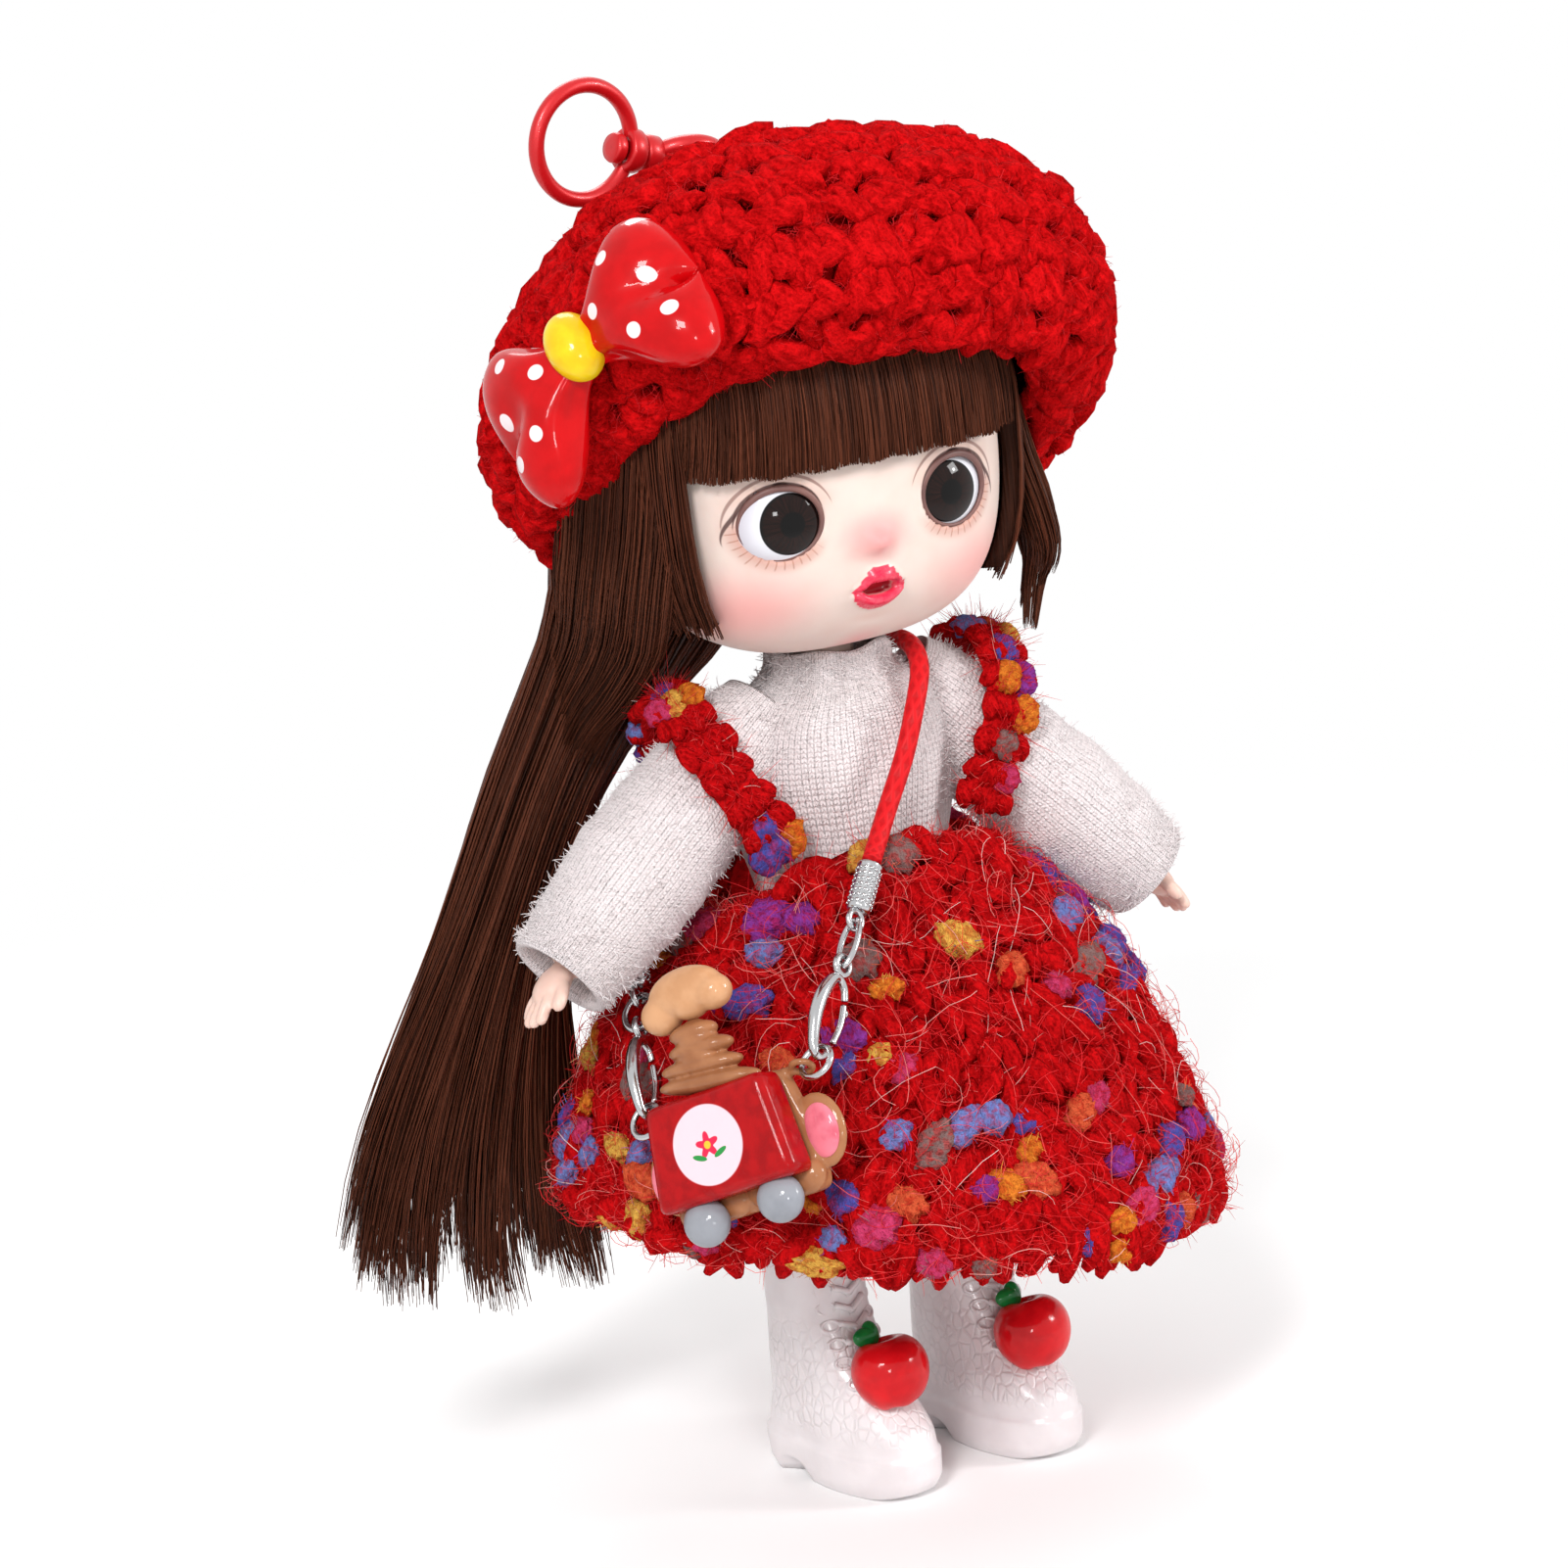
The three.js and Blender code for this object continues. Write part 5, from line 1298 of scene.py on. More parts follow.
    def fuzz(self, tree: StrandTree, finish: Finish) -> None:
        """Short loose fibres that stand out of the wool."""
        for name, reach, seed in (("beret_fuzz", (0.8, 2.6), 11), ("beret_down", (0.5, 1.4), 12)):
            strands = Strands()
            dice = random.Random(seed)
            for _ in range(self.fibres):
                s = math.sqrt(dice.random())
                point, out, across = self.at(dice.uniform(0, math.tau), s, dice.uniform(-0.9, 1.2))
                way = (out + leaning(out, across, dice)).normalized() * dice.uniform(*reach)
                curl = Vector([dice.uniform(-0.5, 0.5) for _ in range(3)])
                strands.add([point, point + way * 0.55, point + way + curl], dice.random())
            settled(strands.grow(name, tree, 0.048, finish.fuzz), Body.HEAD)


@dataclass
class Head:
    """The vinyl head with its painted face and glossy eyes."""

    centre: Vector = field(default_factory=lambda: Vector((0, 3, 133)))
    half: tuple[float, float, float] = (23.2, 21.5, 25.5)
    chin: float = 26.5
    jowl: float = 0.67
    crown: float = 0.86
    square: float = 0.7
    eye: tuple[float, float] = (11.5, 126.0)
    eye_half: tuple[float, float] = (4.75, 4.4)
    mouth: tuple[float, float] = (0.3, 115.9)
    shift: float = -0.9

    def level(self, z: float, grow: float = 0.0) -> float:
        """How wide the head is at a height, as a share of its widest."""
        high = self.chin if z < self.centre.z else self.half[2]
        t = clamp((z - self.centre.z) / (high + grow), -0.9999, 0.9999)
        power = self.jowl if t < 0 else self.crown
        sine = abs(t) ** (1 / power)
        return math.sqrt(max(0.0, 1 - sine * sine)) ** power

    def front(self, x: float, z: float, grow: float = 0.0) -> Vector:
        """The point of the head's front at an x and a height."""
        level = self.level(z, grow)
        cosine = clamp(abs(x) / max((self.half[0] + grow) * level, 1e-6)) ** (1 / self.square)
        sine = math.sqrt(max(0.0, 1 - cosine * cosine))
        return Vector((x, self.centre.y - (self.half[1] + grow) * level * sine**self.square, z))

    def round(self, turn: float, z: float, grow: float = 0.0) -> Vector:
        """The point of the head at a height and an angle, 0 at its left and 90 degrees at its back."""
        level = self.level(z, grow)
        c, s = math.cos(turn), math.sin(turn)
        return Vector((
            self.centre.x + (self.half[0] + grow) * level * bend(c, self.square),
            self.centre.y + (self.half[1] + grow) * level * bend(s, self.square), z))

    def relief(self, x: float, z: float) -> tuple[float, float, float]:
        """The face's carving at a point.

        Returns:
            How far it stands out, and how much of it is lip and open mouth.
        """
        x -= self.shift
        mx, mz = x - self.mouth[0], z - self.mouth[1]
        tip = self.hill(2.0, x / 1.75, (z - 121.9) / 1.45)
        bridge = self.hill(0.5, x / 3.0, (z - 123.5) / 3.0)
        muzzle = self.hill(1.0, mx / 4.4, mz / 3.8)
        chin = self.hill(0.8, x / 4.2, (z - 109.6) / 2.4)
        cheek = self.hill(0.7, (abs(x) - 14) / 6.5, (z - 115) / 5.5)
        lift = tip + bridge + muzzle + chin + cheek
        side, half = abs(mx), 3.75
        corner = clamp(1 - (side / half) ** 2)
        peak = 3.05 - 0.4 * bell(side / 0.7)
        top = peak if side < 1.15 else peak * clamp(1 - (side - 1.15) / 2.6) ** 1.15
        low = -2.75 * math.sqrt(clamp(1 - (side / 3.45) ** 2))
        gap = math.sqrt(clamp(1 - (side / 2.05) ** 2))
        over, under = 1.05 * gap - 0.3 * bell(side / 0.8) * gap, -0.85 * gap
        lip = ease(mz, top + 0.16, top - 0.16) * ease(mz, low - 0.16, low + 0.16) * (side < half)
        inner = 0.0
        if gap > 0:
            inner = ease(mz, over + 0.14, over - 0.14) * ease(mz, under - 0.14, under + 0.14)
        full, t = 0.0, 1.0
        if mz > over:
            full, t = 1.15, clamp((mz - over) / max(top - over, 0.05))
        elif mz < under:
            full, t = 1.4, clamp((under - mz) / max(under - low, 0.05))
        lift += full * math.sin(math.pi * clamp(0.08 + 0.92 * t)) ** 0.7 * corner**0.5 * (t < 1)
        lift -= inner * 1.7
        lift -= 0.35 * bell(mz / 0.28) * ease(side, 1.9, 2.3) * (side < 3.9)
        return lift, lip * (1 - inner), inner

    @staticmethod
    def hill(height: float, across: float, up: float) -> float:
        """How high a round swelling is, at a distance from its middle in its own widths."""
        return height * math.exp(-(across**2) - up**2)

    def face(self, finish: bpy.types.Material) -> bpy.types.Object:
        """The front half, with sockets for the eyes."""
        wide, high, inner, thick = 250, 190, 12, 0.66
        rings, lips, mouths = [], [], []
        for row in range(high + 1):
            up = latitude(row, high, 0.006)
            power = self.jowl if up < 0 else self.crown
            level = math.cos(up) ** power
            z = self.centre.z + (self.chin if up < 0 else self.half[2]) * bend(math.sin(up), power)
            ring = []
            for col in range(wide + 1):
                a = math.pi * (1 + col / wide)
                x = self.half[0] * level * bend(math.cos(a), self.square)
                y = self.half[1] * level * bend(math.sin(a), self.square) - 0.15
                lift, lip, mouth = self.relief(x, z)
                facing = clamp(-y / self.half[1])
                ring.append(self.socket(Vector((x, self.centre.y + y - lift * facing, z))))
                lips.append(lip * (facing > 0.3))
                mouths.append(mouth * (facing > 0.3))
            for col in range(inner, 0, -1):
                a = math.pi * (1 + (col - 0.5) / inner)
                x = self.half[0] * level * bend(math.cos(a), self.square) * thick
                y = self.centre.y - 0.15 + self.half[1] * level * bend(math.sin(a), 0.84) * thick
                ring.append(Vector((x, y, z)))
                lips.append(0.0)
                mouths.append(0.0)
            rings.append(ring)
        obj = loft(rings).build("face", finish)
        extra = len(obj.data.vertices) - len(lips)
        for label, values in (("lip", lips), ("mouth", mouths)):
            layer = obj.data.attributes.new(label, "FLOAT", "POINT")
            layer.data.foreach_set("value", values + [0.0] * extra)
        return settled(obj, Body.HEAD, ("face_shell",))

    def socket(self, point: Vector) -> Vector:
        """The point, set back where an eye's opening is."""
        if point.y > self.centre.y:
            return point
        dx, dz = abs(point.x - self.shift) - self.eye[0], point.z - self.eye[1]
        reach = math.hypot(dx / self.eye_half[0], dz / self.eye_half[1])
        ridge = 0.15 * bell((reach - 1.14) / 0.12)
        deep = 4.2 * ease(reach, 1.0, 0.93)
        return point + Vector((0, deep - ridge, 0))

    def eye_place(self, side: Side) -> Matrix:
        """The eye's frame, with Z out of the face."""
        a = self.front(self.eye[0] - 3.5, self.eye[1])
        b = self.front(self.eye[0] + 3.5, self.eye[1])
        out = Vector((b.y - a.y, -(b.x - a.x) * 1.15, 0)).normalized()
        middle = (a + b) / 2
        middle.x = middle.x * side.value + self.shift
        out.x *= side.value
        return frame_along(middle, out, Vector((0, 0, 1)))

    def eyes(self) -> None:
        """Two domed eyes and the thin lids round their openings."""
        look = Eye("eyes", (self.eye[0] - 0.75, self.eye[1] - 0.1), 3.75, self.shift).build()
        # The dark brown rims stand for eyeliner and for painted shade at the edge of each opening
        lid = Vinyl("lid_rim", (0.2, 0.09, 0.075), (0.12, 0.05, 0.045), 0.5).build()
        for side in Side:
            place = self.eye_place(side)
            dome = egg(6.0, 5.7, 4.0, (0, 0, -2.75), 56, 36)
            piece = dome.moved(place).build("eye_" + side.word + "_dome", look)
            settled(piece, Body.HEAD, ("eye_" + side.word,))
            path = []
            for a in circle(72):
                x = self.eye[0] + self.eye_half[0] * 0.99 * math.cos(a)
                z = self.eye[1] + self.eye_half[1] * 0.99 * math.sin(a)
                p = self.front(x * side.value + self.shift, z)
                path.append(p - Vector((0, 0.08, 0)))
            rim = tube(path, lambda t: 0.34 + 0.12 * math.sin(math.tau * t), 10, closed=True)
            settled(rim.build("eyelid_" + side.word, lid), Body.HEAD)


@dataclass
class HairDo:
    """The doll's hair: bangs, a curtain and a lock at the temples, a nape and a long fall to its right."""

    head: Head
    side: float = 22.4
    fall_strands: int = 1900
    bang_strands: int = 1700
    nape_strands: int = 900
    fall: tuple = (
        (-6, 26, 124, 17, 4, 8), (-11, 24.5, 116, 15.5, 5, 10), (-17.5, 22, 107.5, 12.5, 5.4, 16),
        (-26, 20, 98.5, 9.6, 5.2, 20), (-33, 18.6, 89, 9, 4.8, 22), (-38, 18.2, 79, 9.6, 4.4, 22),
        (-41.4, 18.4, 69, 11.4, 4, 18), (-44.8, 18.8, 57, 14.6, 3.6, 14), (-47.2, 19.2, 46, 17.4, 3.2, 11),
        (-48.6, 19.4, 35, 19.6, 2.6, 9), (-48.6, 19.4, 26, 20.4, 2.0, 8),
        (-48.4, 19.4, 18, 20.4, 1.4, 8))
    curtain: tuple = (
        (-24.6, 0, 137, 10.8, 1.9, 104), (-25.8, 1, 126, 10.8, 2.4, 104), (-26.4, 3, 118, 9.8, 3, 104),
        (-26, 8.8, 109.5, 8, 3.4, 104), (-27.4, 14.6, 102, 6.6, 3.4, 104), (-30, 18, 94, 5, 3, 104))
    lock: tuple = (
        (23.6, -5, 137, 6.5, 2.2, 73), (25, -5, 128, 7.2, 2.6, 73), (27, -5, 120.5, 7, 2.6, 73),
        (28.2, -4.6, 114, 5.6, 2.2, 73), (27.0, -4.4, 108.5, 3.4, 1.5, 73), (25.6, -4.4, 103.5, 2.6, 1.0, 73))

    def along(self, rows: Sequence, t: float, u: float, w: float) -> Vector:
        """A point in a flat lock of hair.

        Args:
            rows: The lock's middles, half widths, half thicknesses and turns.
            t: The way down it, from 0 to 1.
            u: The way across it, from -1 to 1.
            w: The way through it, from -1 to 1.

        Returns:
            The point.
        """
        x, y, z, wide, thick, turn = along_rows(rows, t)
        ahead, behind = along_rows(rows, min(t + 0.02, 1)), along_rows(rows, max(t - 0.02, 0))
        way = (Vector(ahead[:3]) - Vector(behind[:3])).normalized()
        across = Vector((math.cos(math.radians(turn)), math.sin(math.radians(turn)), 0))
        across = (across - way * across.dot(way)).normalized()
        return Vector((x, y, z)) + across * (wide * u) + way.cross(across) * (thick * w)

    def core(self, name: str, rows: Sequence, until: float, size: float, finish: Finish) -> bpy.types.Object:
        """The dense inside of a lock, that shows between its strands.

        Args:
            name: The object's name.
            rows: The lock's rows.
            until: How far down the lock it reaches, from 0 to 1.
            size: How thick it is against the lock.
            finish: The charm's materials.

        Returns:
            The object, not yet on a body.
        """
        steps = 60
        rings = []
        for i in range(steps):
            t = until * i / (steps - 1)
            thin = size * (1 - 0.45 * ease(t, until - 0.25, until))
            ring = []
            for a in circle(48):
                ripple = 1 + 0.05 * math.sin(9 * a + 3 * t) + 0.04 * math.sin(17 * a - 5 * t)
                ring.append(self.along(rows, t, thin * ripple * math.cos(a), thin * ripple * math.sin(a)))
            rings.append(ring)
        return loft(rings).build(name, finish.hair)

    def strands(self, rows: Sequence, count: int, steps: int, seed: int, ragged: float, clumps: int,
                curl: float = 0.0, short: float = 0.0) -> Strands:
        """Strands that follow a lock, gather into clumps and end unevenly.

        Args:
            rows: The lock's rows.
            count: How many strands there are.
            steps: Points along each.
            seed: The seed of what is random.
            ragged: How much the clumps' ends differ, as a share of the lock.
            clumps: How many clumps there are across the lock.
            curl: How far the clumps wave to the side.
            short: How much shorter the lock's first side is, as a share of it.

        Returns:
            The strands as lines.
        """
        dice = random.Random(seed)
        ends = [dice.uniform(-ragged, 0.0) - short * (1 - (k + 0.5) / clumps) for k in range(clumps)]
        homes = [(k + 0.5) / clumps * 2 - 1 for k in range(clumps)]
        group = Strands()
        for _ in range(count):
            a = dice.uniform(0, math.tau)
            r = 0.8 + 0.24 * dice.random() if dice.random() < 0.75 else dice.uniform(0.4, 0.9)
            u, w = r * math.cos(a), r * math.sin(a)
            clump = 0 if u <= -1 else min(int((u + 1) / 2 * clumps), clumps - 1)
            end = clamp(1 + ends[clump] + dice.uniform(-0.07, 0.0), 0.3, 1.0)
            wild = dice.random() < 0.06
            drift = dice.uniform(-0.09, 0.09) * (2.5 if wild else 1)
            phase, wave = dice.uniform(0, 6.3), dice.uniform(0.0, 0.03)
            path = []
            for i in range(steps):
                t = end * i / (steps - 1)
                gather = 0.55 * ease(t, 0.35, 1.0)
                here = u + (homes[clump] - u) * gather + drift * t * t + wave * math.sin(7 * t + phase)
                here += curl * t * math.sin(8.5 * t + 1.7 * clump + drift * 5)
                through = w * (1 - 0.25 * gather) + wave * math.cos(6 * t + phase)
                path.append(self.along(rows, t, here, through))
            group.add(path, clamp(dice.gauss(0.5, 0.25)), tip=0.3)
        return group

    def long_fall(self, tree: StrandTree, finish: Finish) -> None:
        """The long fall, a core and its strands, baked in place."""
        core = self.core("hair_fall_core", self.fall, 0.76, 0.84, finish)
        strands = self.strands(self.fall, self.fall_strands, 17, 5, 0.12, 17, 0.05, 0.16)
        for piece in (core, strands.grow("hair_fall_strands", tree, 0.185, finish.hair)):
            LOG.info("%s: %d faces", piece.name, len(piece.data.polygons))
            if piece is core:
                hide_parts("hair_fall")
            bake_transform(piece)

    def temples(self, tree: StrandTree, finish: Finish) -> None:
        """The curtain at the right temple and the lock at the left cheek."""
        locks = (("hair_curtain", self.curtain, 1.0, 520, (), 0.0),
                 ("side_lock", self.lock, 0.6, 420, ("side_lock_left",), 0.45))
        for name, rows, until, count, nodes, curl in locks:
            core = self.core(name + "_core", rows, until, 0.8, finish)
            settled(core, Body.HEAD, nodes)
            strands = self.strands(rows, count, 14, 8, 0.1 + curl * 0.6, 5, curl)
            settled(strands.grow(name + "_strands", tree, 0.13, finish.hair), Body.HEAD)

    def bangs(self, tree: StrandTree, finish: Finish) -> None:
        """Blunt bangs over the forehead."""
        head, side, top, low = self.head, self.side, 151, 132.6
        rings = []
        for i in range(24):
            z = top - (top - low) * i / 23
            ahead = [-side + 2 * side * k / 90 for k in range(91)]
            out = [head.front(x, z, 1.5 + 0.15 * math.sin(2.3 * x)) for x in ahead]
            back = [head.front(side - 2 * side * k / 30, z, 0.4) for k in range(31)]
            rings.append(out + back)
        settled(loft(rings).build("bangs_core", finish.hair), Body.HEAD, ("bangs",))
        dice = random.Random(21)
        group = Strands()
        for _ in range(self.bang_strands):
            x0 = dice.uniform(-22.6, 22.6)
            fan = x0 * 0.05 + dice.gauss(0, 0.35)
            end = 131.9 + dice.uniform(-0.1, 0.55) + 0.2 * math.sin(x0 * 1.1)
            grow = dice.uniform(1.35, 2.1)
            puff = dice.uniform(0.0, 0.5)
            path = []
            for t in shares(9):
                x = clamp(x0 * (1 - 0.05 * (1 - t)) + fan * t, -23.0, 23.0)
                z = top + 1 + (end - (top + 1)) * t
                path.append(head.front(x, z, grow + puff * math.sin(math.pi * t)))
            group.add(path, clamp(dice.gauss(0.5, 0.25)), tip=0.6)
        settled(group.grow("bangs_strands", tree, 0.115, finish.hair), Body.HEAD)

    def nape(self, tree: StrandTree, finish: Finish) -> None:
        """Hair over the back and sides of the head, under the beret."""
        head, top, low = self.head, 150, 113.5
        rings = []
        for i in range(20):
            z = top - (top - low) * i / 19
            turns = [math.radians(-32 + (212 + 32) * k / 110) for k in range(111)]
            out = [head.round(a, z, 2.1 + 0.12 * math.sin(34 * a)) for a in turns]
            back = [head.round(a, z, 0.5) for a in reversed(turns[::4])]
            rings.append(out + back)
        settled(loft(rings).build("nape_core", finish.hair), Body.HEAD, ("wig_cap",))
        dice = random.Random(31)
        group = Strands()
        for _ in range(self.nape_strands):
            a0 = math.radians(dice.uniform(-33, 213))
            end = 112.6 + dice.uniform(-0.8, 1.6)
            grow, lean = dice.uniform(2.0, 2.8), dice.gauss(0, 0.04)
            path = [head.round(a0 + lean * t, top + (end - top) * t, grow) for t in shares(9)]
            group.add(path, clamp(dice.gauss(0.45, 0.25)), tip=0.5)
        settled(group.grow("nape_strands", tree, 0.17, finish.hair), Body.HEAD)


@dataclass
class Bow:
    """The resin bow on the beret: two plump lobes and a yellow knot."""

    middle: Vector = field(default_factory=lambda: Vector((-33.3, -12.6, 150.2)))
    out: Vector = field(default_factory=lambda: Vector((-0.875, -0.35, 0.35)))
    way: Vector = field(default_factory=lambda: Vector((0.549, -0.558, 0.625)))
    reach: float = 17.2
    sweep: tuple[float, float] = (0.008, -0.13)
    dots: tuple = ((5.4, 1.2), (9.2, -4.6), (9.6, 6.4), (13.2, 1.4), (14.4, 9.6), (5.6, 7.0), (14.0, -4.4))

    def place(self) -> Matrix:
        """The bow's frame, with X along it and Y out of the beret."""
        return frame_along(self.middle, self.way.cross(-self.out), self.out)

    def lobe(self, way: int) -> Shape:
        """One lobe: narrow at the knot, full and slightly notched at its end."""
        rings = []
        for t in shares(44):
            x = 1.0 + (self.reach - 1.0) * math.sin(math.pi / 2 * t)
            full = 3.0 + 7.8 * ease(x, 0.5, 12.0)
            cap = math.sqrt(clamp(1 - clamp((x - 11.0) / (self.reach - 11.0)) ** 3.4, 0.0004, 1))
            half, thick = full * cap, (2.4 + 2.5 * ease(x, 0, 9)) * cap**0.8
            ring = []
            for a in circle(48):
                pinch = 1 - 0.22 * bell((x - 2) / 4.5) * (0.5 + 0.5 * math.cos(5 * a))
                c, s = math.cos(a + math.pi / 2), math.sin(a + math.pi / 2)
                flat = abs(c)
                notch = 3.2 * (1 - flat) ** 2 * ease(x, 7, self.reach)
                groove = 1 - 0.3 * bell(flat / 0.22) * ease(x, 5, 14)
                ring.append(Vector((way * (x - notch), thick * s * pinch * groove - self.sweep[0] * x * x,
                                    half * c * pinch + self.sweep[1] * x)))
            rings.append(ring)
        return loft(rings)

    def build(self, finish: Finish) -> None:
        """Builds the lobes and the knot."""
        place = self.place()
        look = Dotted("dotted_resin", place, tuple((a, b + self.sweep[1] * a) for a, b in self.dots)).build()
        both = self.lobe(1).joined(self.lobe(-1), egg(2.2, 1.8, 2.6, (0, 0, 0), 24, 16)).moved(place)
        settled(both.build("bow", look), Body.HEAD, ("bow_body",))
        knot = egg(3.3, 3.5, 4.6, (0, 1.8, 0), 40, 28).moved(place)
        settled(knot.build("bow_knot_resin", finish.yellow), Body.HEAD, ("bow_knot",))


def hook_path(width: float, length: float, turn: float) -> tuple[list[Vector], list[Vector]]:
    """The middle lines of a spring hook and its lever, in its own X and Z.

    Args:
        width: How wide the hook is.
        length: How far it reaches up from the middle of its bend.
        turn: The radius of its bend at the bottom.

    Returns:
        The points of the hook and of its lever.
    """
    half = width / 2
    body = [(-half * 0.66, 0, turn * 0.55), (-turn * 0.8, 0, -turn * 0.5), (0, 0, -turn),
            (turn * 0.9, 0, -turn * 0.45), (half * 0.95, 0, length * 0.3), (half * 0.9, 0, length * 0.65),
            (half * 0.5, 0, length * 0.92), (0, 0, length), (-half * 0.55, 0, length * 0.93),
            (-half * 0.84, 0, length * 0.72 + 0.6)]
    lever = [(-half * 0.86, 0, length * 0.72), (-half, 0, length * 0.45), (-half * 0.8, 0, turn * 1.15)]
    return smooth_path(body, 60), smooth_path(lever, 16)


@dataclass
class KeyClasp:
    """The screw eye, the lacquered clasp with its lever, and the key ring."""

    beret: Beret
    way: Vector = field(default_factory=lambda: Vector((-0.936, -0.182, 0.305)))
    up: Vector = field(default_factory=lambda: Vector((0, 0.545, 0.839)))
    aside: float = -1.5
    eye: float = 2.9
    eye_wire: float = 0.75
    wire: float = 1.2
    width: float = 8.0
    length: float = 7.9
    ring: float = 7.0
    ring_wire: float = 0.98
    ring_turn: float = 53.0

    def build(self, finish: Finish) -> None:
        """Builds the four pieces."""
        axis = self.beret.place().to_3x3() @ Vector((0, 0, 1))
        crown = self.beret.centre + Vector((self.aside, 0, 0))
        eye = crown + axis * (27 + 0.6 + self.eye + self.eye_wire)
        place = frame_along(eye, self.way, self.up)
        shank = tube([crown + axis * (17 + 11 * i / 9) for i in range(10)], 0.8, 16)
        loop = torus(self.eye, self.eye_wire, place @ turned((0, 0, 0), y=90), steps=48)
        screw = shank.joined(loop).build("screw_eye", finish.lacquer)
        settled(screw, Body.HEAD, ("head_screw_eye",))
        body, lever = hook_path(self.width, self.length, self.eye_wire + 0.3 + self.wire)
        up = Matrix.Translation((0, 0, self.eye))
        neck = self.eye + self.length
        disc = neck + self.wire + 1.6 + 1.1 + 0.3
        hook = tube(body, lambda t: self.wire * (0.82 + 0.2 * math.sin(math.pi * t)), 16).moved(up)
        collar = lathe([(1.6, neck - 0.2), (2.1, neck + 0.2), (2.35, neck + 0.5), (2.35, neck + 2.2),
                        (2.1, neck + 2.6), (1.5, neck + 2.75)], Matrix.Identity(4))
        stem = lathe([(1.0, neck + 2), (1.0, disc + 1.7)], Matrix.Identity(4))
        head = lathe([(1.2, disc + 1.4), (1.75, disc + 1.45), (1.9, disc + 1.7), (1.9, disc + 2.5),
                      (1.7, disc + 2.85), (0.9, disc + 2.95)], Matrix.Identity(4))
        clasp = hook.joined(collar, stem, head).moved(place)
        settled(clasp.build("key_hook", finish.lacquer), Body.KEY_CLASP, ("key_clasp_body",))
        thumb = egg(0.7, 1.1, 0.7, lever[5] + Vector((-0.5, 0, 0)), 16, 12)
        gate = tube(lever, self.wire * 0.7, 14).joined(thumb).moved(place @ up)
        settled(gate.build("key_gate", finish.lacquer), Body.KEY_LEVER, ("key_clasp_lever",))
        spin = Matrix.Rotation(math.radians(self.ring_turn), 4, "Z")
        ring = place @ Matrix.Translation((0, 0, disc + self.ring)) @ spin
        ring = ring @ Matrix.Rotation(math.radians(90), 4, "X")
        loop = torus(self.ring, self.ring_wire, ring, steps=72, sides=14)
        boss = [(1.35, disc - 1.1), (2.5, disc - 1.1), (2.75, disc - 0.8), (2.8, disc), (2.75, disc + 0.8),
                (2.5, disc + 1.1), (1.35, disc + 1.1)]
        whole = loop.joined(lathe(boss, place, hoop=True)).build("key_loop", finish.lacquer)
        settled(whole, Body.KEY_RING, ("key_ring",))


